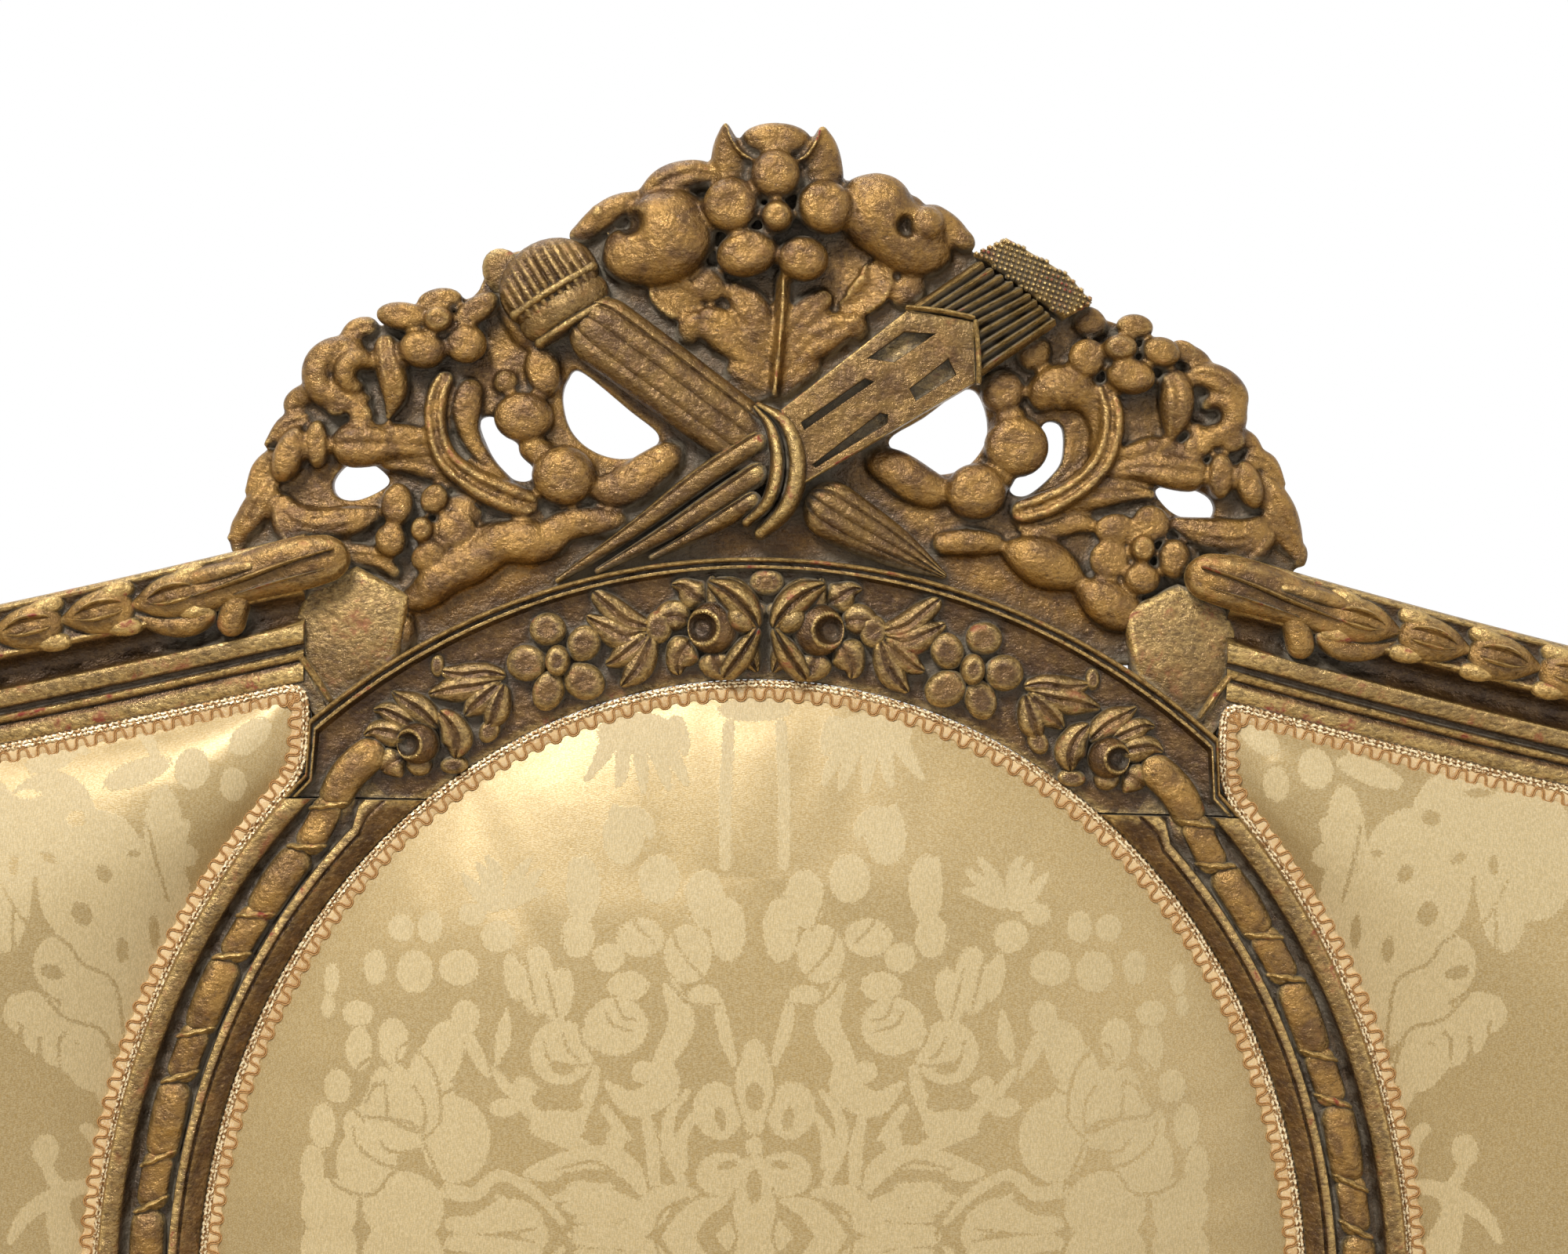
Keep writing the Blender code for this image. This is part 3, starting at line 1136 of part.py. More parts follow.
def build_back_pads(back):
    oval = medallion_loop()
    panels = [("medallion", oval, (0, 0), MEDALLION_CROWN)]
    for side, sign in SIDES:
        middle = (sign * (MEDALLION_HALF_WIDTH + STILE_INNER) / 2, 0)
        panels.append(("side_" + side, panel_loop(sign), middle, SIDE_CROWN))
    for place, loop, centre, crown in panels:
        name = "back_cloth_" + place
        outline = offset_loop(loop, FIT)
        add_node(name, flat_mesh(name, outline, BACK_CLOTH), "damask", back)
        name = "back_pad_" + place
        mesh = pad_mesh(name, loop, centre, PAD_BACK, PAD_EDGE, crown, PAD_STEP_SHARES)
        add_node(name, mesh, "damask", back)
        name = "gimp_" + place
        low = PAD_EDGE + FIT
        mesh = band_mesh(name, loop, FIT, GIMP_WIDTH, low, low + GIMP_THICKNESS)
        add_node(name, mesh, "gimp", back)


def seat_loop():
    """Plan of the seat pad, notched round the arm posts and the rear stiles."""
    side = HALF_WIDTH - SEAT_PAD_INSET
    notch = ARM_X - ARM_WIDTH / 2 - SEAT_PAD_INSET
    front = FRONT_Y + SEAT_PAD_INSET
    post = FRONT_Y + ARM_SETBACK + SEAT_PAD_INSET
    back = BACK_Y - FRAME_DEPTH - SEAT_PAD_INSET
    half = []
    for i in range(5):
        half.append((notch * (i + 1) / 5, front))
    half.append((notch, post))
    half.append((side, post))
    for i in (1, 2, 3, 4):
        half.append((side, post + (back - post) * i / 4))
    for i in (4, 3, 2, 1):
        half.append((side * i / 5, back))
    mirrored = [(-x, y) for x, y in reversed(half)]
    return [*half, (0, back), *mirrored, (0, front)]


def build_seat():
    loop = seat_loop()
    base = SEAT_RAIL_TOP + FIT
    shifts = (
        (GIMP_THICKNESS + 2 * FIT, 0), (GIMP_THICKNESS + 2 * FIT, 0.10),
        (FIT, 0.30), (FIT, 0.66), (SEAT_PAD_ROUND * 0.3, 0.90), (SEAT_PAD_ROUND, 1.0))
    rings = [ring_points(offset_loop(loop, inset), base + SEAT_PAD_EDGE * share)
             for inset, share in shifts]
    middle = Vector((0, (FRONT_Y + BACK_Y - FRAME_DEPTH) / 2))
    top = offset_loop(loop, SEAT_PAD_ROUND)
    for share, rise in ((0.90, 0.45), (0.72, 0.78), (0.40, 1.0)):
        ring = [middle + (Vector(point) - middle) * share for point in top]
        height = base + SEAT_PAD_EDGE + SEAT_PAD_CROWN * rise
        rings.append(ring_points([tuple(point) for point in ring], height))
    add_node("seat_pad", loft("seat_pad", rings), "damask")
    mesh = band_mesh("gimp_seat", loop, 0, GIMP_THICKNESS, base, base + SEAT_PAD_EDGE * 0.10 - FIT)
    add_node("gimp_seat", mesh, "gimp")
    build_webbing()


def under_outline():
    """Outline under the seat frame, notched round the legs."""
    side = HALF_WIDTH - RAIL_SETBACK - RAIL_THICKNESS / 2
    rail_y = FRONT_Y + RAIL_SETBACK + RAIL_THICKNESS / 2
    leg_y = FRONT_Y + LEG_BLOCK + FIT
    block = LEG_BLOCK / 2 + FIT
    front = [(INNER_LEG_X - block, rail_y), (INNER_LEG_X - block, leg_y),
             (INNER_LEG_X + block, leg_y), (INNER_LEG_X + block, rail_y),
             (OUTER_LEG_X - block, rail_y), (OUTER_LEG_X - block, leg_y), (side, leg_y)]
    rear_y = BACK_Y - RAIL_SETBACK - RAIL_THICKNESS / 2
    post_y = BACK_Y - FRAME_DEPTH - FIT
    post = REAR_LEG_WIDTH / 2 + FIT
    rear = [(side, post_y), (STILE_INNER - FIT, post_y), (STILE_INNER - FIT, rear_y),
            (INNER_LEG_X + post, rear_y), (INNER_LEG_X + post, post_y),
            (INNER_LEG_X - post, post_y), (INNER_LEG_X - post, rear_y)]
    half = [*front, *rear]
    return [*half, *[(-x, y) for x, y in reversed(half)]]


def build_webbing():
    """A lattice of webbing tacked under the seat frame, and the dust cover below it."""
    outline = under_outline()
    low = RAIL_BOTTOM - WEB_THICKNESS - FIT
    left = -(HALF_WIDTH - RAIL_SETBACK - RAIL_THICKNESS)
    front = FRONT_Y + LEG_BLOCK + WEB_WIDTH / 2
    back = BACK_Y - FRAME_DEPTH - WEB_WIDTH / 2
    pitch_x = -2 * left / WEB_COUNT_ACROSS
    pitch_y = (back - front) / WEB_COUNT_DEEP
    gaps = []
    for i in range(WEB_COUNT_ACROSS):
        for j in range(WEB_COUNT_DEEP):
            x = left + pitch_x * (i + 0.5)
            y = front + pitch_y * (j + 0.5)
            half_x = (pitch_x - WEB_WIDTH) / 2
            half_y = (pitch_y - WEB_WIDTH) / 2
            gaps.append([(x - half_x, y - half_y), (x + half_x, y - half_y),
                         (x + half_x, y + half_y), (x - half_x, y + half_y)])
    add_node("webbing", flat_mesh("webbing", outline, WEB_THICKNESS, gaps, low), "webbing")
    low -= DUST_COVER_THICKNESS + FIT
    mesh = flat_mesh("dust_cover", outline, DUST_COVER_THICKNESS, low=low)
    add_node("dust_cover", mesh, "dust_cover")


def build():
    back = bpy.data.objects.new("back_plane", None)
    PARTS.objects.link(back)
    back.location = (0, MEDALLION_Y, MEDALLION_Z)
    back.rotation_euler = (math.pi / 2 - BACK_RAKE, 0, 0)
    bpy.context.view_layer.update()
    legs = build_seat_frame()
    arch = build_back_frame(back, legs)
    build_crest(back, arch)
    build_arms(back, legs)
    build_back_pads(back)
    build_seat()


clear_scene()
PARTS = make_collection("giltwood_sofa")
CUTTERS = make_collection("cutters")
build()
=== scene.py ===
"""Looks of a giltwood sofa: its carving, worn gilding, silk damask pads and gimp braid."""
import math

import bmesh
import bpy
import numpy as np
from mathutils import Matrix, Vector


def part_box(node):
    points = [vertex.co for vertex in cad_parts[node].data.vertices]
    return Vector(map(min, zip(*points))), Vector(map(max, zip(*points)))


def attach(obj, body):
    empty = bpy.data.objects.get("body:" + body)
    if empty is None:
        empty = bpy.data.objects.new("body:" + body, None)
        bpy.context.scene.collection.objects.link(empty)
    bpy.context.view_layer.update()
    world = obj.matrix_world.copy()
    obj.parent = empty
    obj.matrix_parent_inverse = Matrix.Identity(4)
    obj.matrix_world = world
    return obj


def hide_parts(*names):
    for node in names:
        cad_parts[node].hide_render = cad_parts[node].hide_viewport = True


bl_info = {
    "name": "Giltwood Sofa",
    "version": (1, 0, 0),
    "blender": (4, 5, 0),
    "location": "View3D > Sidebar > Sofa",
    "description": "Builds the carving, gilding and upholstery of a giltwood sofa",
    "category": "Object",
}

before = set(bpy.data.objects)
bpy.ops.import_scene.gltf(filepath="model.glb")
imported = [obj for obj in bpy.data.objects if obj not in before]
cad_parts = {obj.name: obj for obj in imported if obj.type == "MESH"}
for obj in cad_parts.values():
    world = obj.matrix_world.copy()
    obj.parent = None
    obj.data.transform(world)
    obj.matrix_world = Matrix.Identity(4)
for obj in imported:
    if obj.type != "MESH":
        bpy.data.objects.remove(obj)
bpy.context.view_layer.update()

# Plane of the raked back: u across, v up, w forwards, from the middle of the medallion's oval
RAKE = math.radians(8.0)
BACK_CENTRE = Vector((0, 0.31288, 0.78973))
BACK_PLANE = Matrix.Translation(BACK_CENTRE) @ Matrix.Rotation(math.pi / 2 - RAKE, 4, "X")

# The photograph on that plane: size of a pixel, its middle, and how far the picture is rolled
PIXEL = 0.00037
PICTURE_MIDDLE_PX = (1000, 800)
PICTURE_WIDTH_PX = 2000
VIEW_U = 0.0085
VIEW_V = 0.3171
PICTURE_ROLL = math.radians(1.2)

# Back frame
FRAME_DEPTH = 0.042
OVAL_HALF_WIDTH = 0.262
OVAL_HALF_HEIGHT = 0.292
MEDALLION_BAND = 0.047
ARCH_RADIUS = 0.323
ARCH_RISE = 0.0577
ARCH_HALF_SPAN = 0.2155
ARCH_FOOT_PHI = math.radians(46.3)
STILE_TOP_JOINT = 0.232
STILE_LOW_JOINT = 0.200
SIDE_RAIL_BAND = 0.068
OUTER_STILE_WIDTH = 0.052
SIDE_RAIL_TOP = 0.340
SIDE_RAIL_REACH = 0.280
SIDE_RAIL_SLOPE = math.radians(14.3)
SIDE_RAIL_END_SLOPE = math.radians(6.0)
SHOULDER_RADIUS = 0.090
SHOULDER_DROP = 0.020
LOW_RAIL_TOP = 0.262
HALF_WIDTH = 0.93
CREST_FOOT = 0.195
CREST_BACK = 0.004
GROUND_FACE = 0.0145
JOINT_CRACK = 0.0004
WELD = 1e-6

ARCH_TOP = OVAL_HALF_HEIGHT + ARCH_RISE
ARCH_CENTRE = ARCH_TOP - ARCH_RADIUS
ARCH_ANGLE = math.asin(ARCH_HALF_SPAN / ARCH_RADIUS)
STILE_INNER = HALF_WIDTH - OUTER_STILE_WIDTH
SHOULDER_START = HALF_WIDTH - SHOULDER_RADIUS * (1 - math.sin(SIDE_RAIL_END_SLOPE))

# How much of a carved form's height is an upright wall, and how far forms reach past their marks:
# in depth, and in width as shares of what is marked
WALL_SHARE = 0.38
LIFT = 0.0015
SMALL_BEAD_PX = 16
BEAD_FULLNESS = 1.25
BOSS_FULLNESS = 1.05
CREST_FULLNESS = 1.2
GARLAND_BOSS_FULLNESS = 1.08
GARLAND_LEAF_FULLNESS = 1.45

SIDES = (("left", -1), ("right", 1))
LOW_RAIL_HEIGHT = 0.048

# Pads and the gimp braid round them
GIMP_WIDTH = 0.0104
GIMP_HEIGHT = 0.0022
GIMP_PERIOD = 0.0093
BRAID_SHARP = math.radians(80)
PAD_EDGE = 0.026
PAD_BACK = 0.006
FIT = 0.0003
CORNER_ROUND = 0.016


def mark(x, y):
    """A pixel of the photograph, as a place on the plane of the back."""
    across = (x - PICTURE_MIDDLE_PX[0]) * PIXEL
    up = (PICTURE_MIDDLE_PX[1] - y) * PIXEL
    cosine, sine = math.cos(PICTURE_ROLL), math.sin(PICTURE_ROLL)
    return Vector((VIEW_U + across * cosine - up * sine, VIEW_V + across * sine + up * cosine))


def marks(places, sign=1):
    """Pixels of the photograph as places on the back, mirrored where sign is -1."""
    spots = [mark(x, y) for x, y in places]
    return [Vector((sign * spot.x, spot.y)) for spot in spots]


# Carving tools

def smooth_curve(points, steps=10, closed=False):
    """Samples of a Catmull-Rom curve through points."""
    points = [Vector(point) for point in points]
    if closed:
        points = [points[-1], *points, points[0], points[1]]
    else:
        points = [2 * points[0] - points[1], *points, 2 * points[-1] - points[-2]]
    samples = []
    for a, b, c, d in zip(points, points[1:], points[2:], points[3:]):
        for step in range(steps):
            t = step / steps
            samples.append(0.5 * (2 * b + (c - a) * t + (2 * a - 5 * b + 4 * c - d) * t ** 2
                                  + (3 * b - a - 3 * c + d) * t ** 3))
    if not closed:
        samples.append(points[-2])
    return np.array([tuple(sample) for sample in samples])


def values_along(values, share):
    """Smooth values between evenly spaced stations."""
    if len(values) < 3:
        return np.interp(share, np.linspace(0, 1, len(values)), values)
    stations = smooth_curve([(i / (len(values) - 1), value) for i, value in enumerate(values)], 6)
    return np.interp(share, stations[:, 0], stations[:, 1])


def along_line(points, share):
    """Places, left-hand normals and the length of a smooth line."""
    samples = smooth_curve(points)
    steps = np.hypot(*np.diff(samples, axis=0).T)
    reach = np.concatenate([[0], np.cumsum(steps)])
    slope = np.gradient(samples, axis=0)
    spots = np.stack([np.interp(share * reach[-1], reach, samples[:, i]) for i in (0, 1)], axis=1)
    heading = np.stack([np.interp(share * reach[-1], reach, slope[:, i]) for i in (0, 1)], axis=1)
    heading /= np.maximum(np.hypot(heading[:, 0], heading[:, 1]), WELD)[:, None]
    return spots, np.stack([-heading[:, 1], heading[:, 0]], axis=1), reach[-1]


def dome(across):
    return (1 - np.abs(across) ** 2.4) ** (1 / 2.4)


def creased(across):
    """A leaf with a groove down its middle."""
    return dome(across) - 0.20 * np.exp(-(across / 0.13) ** 2)


def ridged(across):
    """A blade with a sharp arris."""
    return 1 - 0.85 * np.abs(across) ** 1.1


def incised(*places):
    """A flat face with eased edges and fine grooves along it."""
    def section(across):
        depth = sum(np.exp(-((across - place) / 0.05) ** 2) for place in places)
        return dome(across) ** 0.6 - 0.11 * depth
    return section


def two_strand(across):
    return 0.55 + 0.45 * np.abs(np.sin(math.pi * across)) ** 0.8


def hollow(across):
    """A scooped strip between two raised edges."""
    beyond = np.maximum(np.abs(across) - 0.8, 0)
    return np.where(beyond > 0, 1 - 4 * beyond ** 1.5, 0.55 + 0.7 * across ** 2)


def fluted(count, depth):
    """A section with grooves along it."""
    def section(across):
        wave = 0.5 + 0.5 * np.cos(math.pi * count * (across + 1))
        return dome(across * 0.94) * (1 - depth * wave ** 3)
    return section


def end_cap(distance, width):
    """Rounds the end of a form whose width doesn't start at nothing."""
    if width <= 0:
        return np.ones_like(distance)
    inside = np.clip(distance / width, 0, 1)
    return np.sqrt(1 - (1 - inside) ** 2)


BALLS = {}


def unit_ball(around, along):
    """A ball's mesh, made once for each fineness, with its points and their reach from the axis."""
    if (around, along) not in BALLS:
        bm = bmesh.new()
        bmesh.ops.create_uvsphere(bm, u_segments=around, v_segments=along, radius=1)
        mesh = bpy.data.meshes.new("ball")
        bm.to_mesh(mesh)
        bm.free()
        unit = np.array([tuple(vert.co) for vert in mesh.vertices])
        BALLS[around, along] = (mesh, unit, np.hypot(unit[:, 0], unit[:, 1]))
    return BALLS[around, along]


def place_ball(bm, mesh, spots, heights):
    """Adds a ball to a mesh, with its points moved to their places."""
    mesh.vertices.foreach_set("co", np.column_stack([spots, heights]).astype(np.float32).ravel())
    bm.from_mesh(mesh)


def form(bm, line, widths, rises, foot, section=dome, around=20, along=20, pits=()):
    """A carved form along a line. widths are half widths and rises are heights over its foot."""
    ball, unit, ring = unit_ball(around, along)
    share = (1 + unit[:, 2]) / 2
    across = np.divide(unit[:, 0], ring, out=np.zeros_like(ring), where=ring > WELD)
    spots, normals, length = along_line(line, share)
    cap = end_cap(share * length, widths[0]) * end_cap((1 - share) * length, widths[-1])
    spots = spots + normals * (across * values_along(widths, share) * cap)[:, None]
    rise = values_along(rises, share)
    top = rise * (WALL_SHARE + (1 - WALL_SHARE) * cap ** 0.5 * section(across))
    for centre, radius, depth in pits:
        away = np.hypot(spots[:, 0] - centre[0], spots[:, 1] - centre[1])
        top = top - depth * np.clip(1.5 - away / radius, 0, 1)
    place_ball(bm, ball, spots, np.where(unit[:, 1] > -WELD, foot + top, foot))


def boss(bm, centre, half_length, half_width, turn, rise, foot,
         fullness=2.6, dish=0.0, tilt=(0, 0), around=22, along=14, ribs=0):
    """A carved petal, berry or ball."""
    ball, unit, ring = unit_ball(around, along)
    swell = (1 - np.minimum(ring, 1) ** fullness) ** (1 / fullness)
    top = rise * (WALL_SHARE + (1 - WALL_SHARE) * swell)
    top = top - rise * dish * np.exp(-(ring / 0.5) ** 2)
    top = top + rise * (tilt[0] * unit[:, 0] + tilt[1] * unit[:, 1])
    if ribs:
        top = top * (1 - 0.07 * (0.5 + 0.5 * np.cos(math.pi * ribs * unit[:, 0])) ** 2)
    cosine, sine = math.cos(turn), math.sin(turn)
    x, y = unit[:, 0] * half_length, unit[:, 1] * half_width
    spots = np.stack([centre[0] + x * cosine - y * sine, centre[1] + x * sine + y * cosine], axis=1)
    place_ball(bm, ball, spots, np.where(unit[:, 2] > -WELD, foot + top, foot))


def slab(bm, outline, low, high, edge, holes=()):
    """A flat plate with rounded arrises, and holes through it."""
    curve = bpy.data.curves.new("outline", "CURVE")
    curve.dimensions = "2D"
    curve.fill_mode = "BOTH"
    for loop in (outline, *holes):
        spline = curve.splines.new("POLY")
        spline.points.add(len(loop) - 1)
        for point, (u, v) in zip(spline.points, loop):
            point.co = (u, v, 0, 1)
        spline.use_cyclic_u = True
    curve.extrude = (high - low) / 2 - edge
    curve.bevel_depth = edge
    curve.bevel_resolution = 2
    curve.offset = -edge
    item = bpy.data.objects.new("outline", curve)
    bpy.context.collection.objects.link(item)
    depsgraph = bpy.context.evaluated_depsgraph_get()
    mesh = bpy.data.meshes.new_from_object(item.evaluated_get(depsgraph))
    plate = bmesh.new()
    plate.from_mesh(mesh)
    bmesh.ops.translate(plate, vec=(0, 0, (low + high) / 2), verts=plate.verts)
    bmesh.ops.remove_doubles(plate, verts=plate.verts, dist=WELD)
    join(bm, plate)
    bpy.data.objects.remove(item)
    bpy.data.curves.remove(curve)
    bpy.data.meshes.remove(mesh)


def lattice(bm, points, wrap_across=True, wrap_along=False, cap=False):
    """Quads through rows of points. A wrapped side is welded, and open ends can be capped."""
    if wrap_across:
        points = np.concatenate([points, points[:, :1]], axis=1)
    if wrap_along:
        points = np.concatenate([points, points[:1]], axis=0)
    rows, columns = points.shape[0] - 1, points.shape[1] - 1
    made = bmesh.ops.create_grid(bm, x_segments=columns, y_segments=rows, size=1)["verts"]
    for vert in made:
        row, column = (vert.co.y + 1) / 2 * rows, (vert.co.x + 1) / 2 * columns
        vert.co = points[round(row), round(column)]
    bmesh.ops.remove_doubles(bm, verts=made, dist=WELD)
    if cap:
        bmesh.ops.holes_fill(bm, edges=[edge for edge in bm.edges if edge.is_boundary])


def shell(rows):
    """A closed skin through rows of points, facing outwards."""
    bm = bmesh.new()
    lattice(bm, np.array(rows), cap=True)
    bmesh.ops.recalc_face_normals(bm, faces=bm.faces)
    return bm


def join(bm, small):
    """Adds a small mesh to a larger one."""
    mesh = bpy.data.meshes.new("part")
    small.to_mesh(mesh)
    small.free()
    bm.from_mesh(mesh)
    bpy.data.meshes.remove(mesh)


def coordinates(mesh):
    """The places of a mesh's points, as rows."""
    values = np.empty(len(mesh.vertices) * 3, dtype=np.float32)
    mesh.vertices.foreach_get("co", values)
    return values.reshape(-1, 3)


def modify(piece, kind, **settings):
    """Adds a modifier with its settings."""
    modifier = piece.modifiers.new(kind.lower(), kind)
    for name, value in settings.items():
        setattr(modifier, name, value)
    return modifier


def apply_modifiers(piece):
    """Puts what the modifiers make in place of the mesh."""
    depsgraph = bpy.context.evaluated_depsgraph_get()
    mesh = bpy.data.meshes.new_from_object(piece.evaluated_get(depsgraph))
    old = piece.data
    piece.modifiers.clear()
    piece.data = mesh
    piece.vertex_groups.clear()
    bpy.data.meshes.remove(old)


def make_piece(name, bm, material, stands_for=(), on_back=True, sharp=math.radians(42)):
    """Ends a mesh as a piece of the sofa that rides on its one body."""
    if on_back:
        bmesh.ops.transform(bm, matrix=BACK_PLANE, verts=bm.verts)
    mesh = bpy.data.meshes.new(name)
    bm.to_mesh(mesh)
    bm.free()
    mesh.shade_smooth()
    mesh.set_sharp_from_angle(angle=sharp)
    mesh.materials.append(material)
    piece = bpy.data.objects.new(name, mesh)
    bpy.context.collection.objects.link(piece)
    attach(piece, "root")
    if stands_for:
        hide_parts(*stands_for)
    return piece


# Material nodes

class Nodes:
    """Adds nodes to a tree and joins them."""

    def __init__(self, tree):
        self.tree = tree

    def add(self, kind, inputs=None, **settings):
        """A node with its settings, and with values or links on its inputs."""
        node = self.tree.nodes.new("ShaderNode" + kind)
        for name, value in settings.items():
            setattr(node, name, value)
        for title, value in (inputs or {}).items():
            self.put(node.inputs[title], value)
        return node

    def put(self, socket, value):
        if isinstance(value, bpy.types.NodeSocket):
            self.tree.links.new(value, socket)
        elif value is not None:
            socket.default_value = value

    def place(self):
        return self.add("TexCoord").outputs["Object"]

    def attribute(self, name):
        return self.add("Attribute", attribute_name=name).outputs["Fac"]

    def openness(self, distance, samples):
        """How open a place is, from dark in a hollow to light on a face."""
        return self.add("AmbientOcclusion", {"Distance": distance}, samples=samples).outputs["AO"]

    def noise(self, vector, scale, detail=2.0, roughness=0.5, distortion=0.0):
        inputs = {"Vector": vector, "Scale": scale, "Detail": detail, "Roughness": roughness,
                  "Distortion": distortion}
        return self.add("TexNoise", inputs).outputs["Fac"]

    def stretch(self, vector, scale, turn=(0, 0, 0)):
        return self.add("Mapping", {"Vector": vector, "Scale": scale, "Rotation": turn}).outputs["Vector"]

    def between(self, value, low, high, out_low=0.0, out_high=1.0):
        """Maps low..high smoothly to out_low..out_high."""
        inputs = {"Value": value, "From Min": low, "From Max": high, "To Min": out_low,
                  "To Max": out_high}
        return self.add("MapRange", inputs, interpolation_type="SMOOTHSTEP").outputs["Result"]

    def math(self, operation, a, b):
        return self.add("Math", {0: a, 1: b}, operation=operation).outputs[0]

    def mix(self, amount, a, b):
        return self.add("Mix", {"Factor": amount, 6: a, 7: b}, data_type="RGBA").outputs[2]

    def bump(self, shader, height, strength, distance):
        """Fine relief on a material."""
        node = self.add("Bump", {"Strength": strength, "Distance": distance, "Height": height})
        self.put(shader.inputs["Normal"], node.outputs["Normal"])


def new_group(name, inputs, outputs):
    """An empty node group with named sockets. Each is a name, a kind and a default."""
    group = bpy.data.node_groups.new(name, "ShaderNodeTree")
    for title, kind, default in inputs:
        socket = group.interface.new_socket(title, in_out="INPUT", socket_type="NodeSocket" + kind)
        if default is not None:
            socket.default_value = default
    for title, kind in outputs:
        group.interface.new_socket(title, in_out="OUTPUT", socket_type="NodeSocket" + kind)
    given = group.nodes.new("NodeGroupInput")
    return Nodes(group), given, group.nodes.new("NodeGroupOutput")


def colour(red, green, blue):
    """A linear colour from screen values 0 to 255."""
    values = []
    for channel in (red, green, blue):
        share = channel / 255
        values.append(share / 12.92 if share <= 0.04045 else ((share + 0.055) / 1.055) ** 2.4)
    return (*values, 1.0)


# Tones of the worn leaf, and of its painted shade and painted highlight
WARM_PATCH = colour(124, 84, 48)
BRUSH_STREAK = colour(190, 154, 96)
BRUSH_PIT = colour(58, 38, 20)
PAINTED_HOLLOW_SHADE = colour(44, 27, 14)
BURNISHED_AND_PAINTED_HIGHLIGHT = colour(226, 190, 118)

# Leaf that has darkened more than the rest: on the quiver, on the arch, and below the back
QUIVER_LEAF = {"Gold": colour(126, 95, 46), "Brown": colour(88, 62, 33)}
ARCH_LEAF = {"Gold": colour(120, 88, 46), "Brown": colour(76, 52, 29)}
LOWER_LEAF = {"Gold": colour(130, 97, 49), "Brown": colour(82, 57, 31)}


def gilding_group():
    """Worn bronze-gold leaf: patches, brush marks, red bole on the arrises, dust in the hollows, painted
    shade darkening the hollows, and burnish on the arrises lightened as a painted highlight.
    """
    nodes, given, out = new_group(
        "worn_gilding_and_painted_light",
        [("Gold", "Color", None), ("Brown", "Color", None), ("Bole", "Color", None),
         ("Dust", "Color", None), ("Wear", "Float", 1.0), ("Dusting", "Float", 1.0)],
        [("Color", "Color"), ("Metallic", "Float"), ("Roughness", "Float"), ("Height", "Float")])
    place = nodes.place()
    patches = nodes.noise(place, 70, 4, 0.65, 0.5)
    blotches = nodes.noise(place, 130, 3, 0.65)
    brush = nodes.noise(nodes.stretch(place, (0.5, 1, 1), (0, 0.12, 0)), 620, 4, 0.7, 0.3)
    grain = nodes.noise(place, 1500, 2, 0.6)
    lumps = nodes.noise(place, 95, 1, 0.4)
    chatter = nodes.noise(place, 330, 2, 0.55)
    openness = nodes.openness(0.014, 8)
    bulge = nodes.add("NewGeometry").outputs["Pointiness"]

    base = nodes.mix(nodes.between(patches, 0.30, 0.68), given.outputs["Brown"], given.outputs["Gold"])
    warm = nodes.mix(nodes.between(blotches, 0.54, 0.74, 0.0, 0.3), base, WARM_PATCH)
    streaked = nodes.mix(nodes.between(brush, 0.52, 0.74, 0.0, 0.45), warm, BRUSH_STREAK)
    pitted = nodes.mix(nodes.between(brush, 0.45, 0.30, 0.0, 0.7), streaked, BRUSH_PIT)
    # Painted shade: the colour goes dark brown wherever ambient occlusion finds a hollow
    hollow_painted_shade = nodes.mix(nodes.between(openness, 0.97, 0.42, 0.0, 0.92), pitted, PAINTED_HOLLOW_SHADE)
    arris = nodes.between(bulge, 0.515, 0.56)
    # Burnished leaf on convex arrises, lightened further as a painted highlight; rubbed is its mask
    rubbed = nodes.math("MULTIPLY", arris, nodes.between(brush, 0.35, 0.6, 0.3, 1.0))
    burnish_and_highlight = nodes.mix(nodes.math("MULTIPLY", rubbed, 0.7), hollow_painted_shade, BURNISHED_AND_PAINTED_HIGHLIGHT)
    bare = nodes.math("MULTIPLY", arris, nodes.between(patches, 0.54, 0.64))
    bare = nodes.math("MULTIPLY", bare, given.outputs["Wear"])
    red = nodes.mix(nodes.math("MULTIPLY", bare, nodes.between(blotches, 0.42, 0.6)),
                    burnish_and_highlight, given.outputs["Bole"])
    settled = nodes.math("MULTIPLY", nodes.between(openness, 0.62, 0.25),
                         nodes.between(blotches, 0.30, 0.62, 0.25, 1.0))
    settled = nodes.math("MULTIPLY", settled, given.outputs["Dusting"])
    final = nodes.mix(settled, red, given.outputs["Dust"])

    nodes.put(out.inputs["Color"], final)
    cover = nodes.math("MAXIMUM", settled, nodes.math("MULTIPLY", bare, 0.8))
    nodes.put(out.inputs["Metallic"], nodes.between(cover, 0.0, 0.9, 0.50, 0.02))
    rough = nodes.between(blotches, 0.3, 0.7, 0.20, 0.38)
    nodes.put(out.inputs["Roughness"], nodes.math("ADD", rough, nodes.math("MULTIPLY", cover, 0.4)))
    height = nodes.math("ADD", nodes.math("MULTIPLY", brush, 0.7), nodes.math("MULTIPLY", grain, 0.18))
    height = nodes.math("ADD", height, nodes.math("MULTIPLY", chatter, 1.1))
    nodes.put(out.inputs["Height"], nodes.math("ADD", height, nodes.math("MULTIPLY", lumps, 2.2)))


def plain_material(name):
    material = bpy.data.materials.new(name)
    material.use_nodes = True
    nodes = Nodes(material.node_tree)
    shader = material.node_tree.nodes["Principled BSDF"]
    return material, nodes, shader


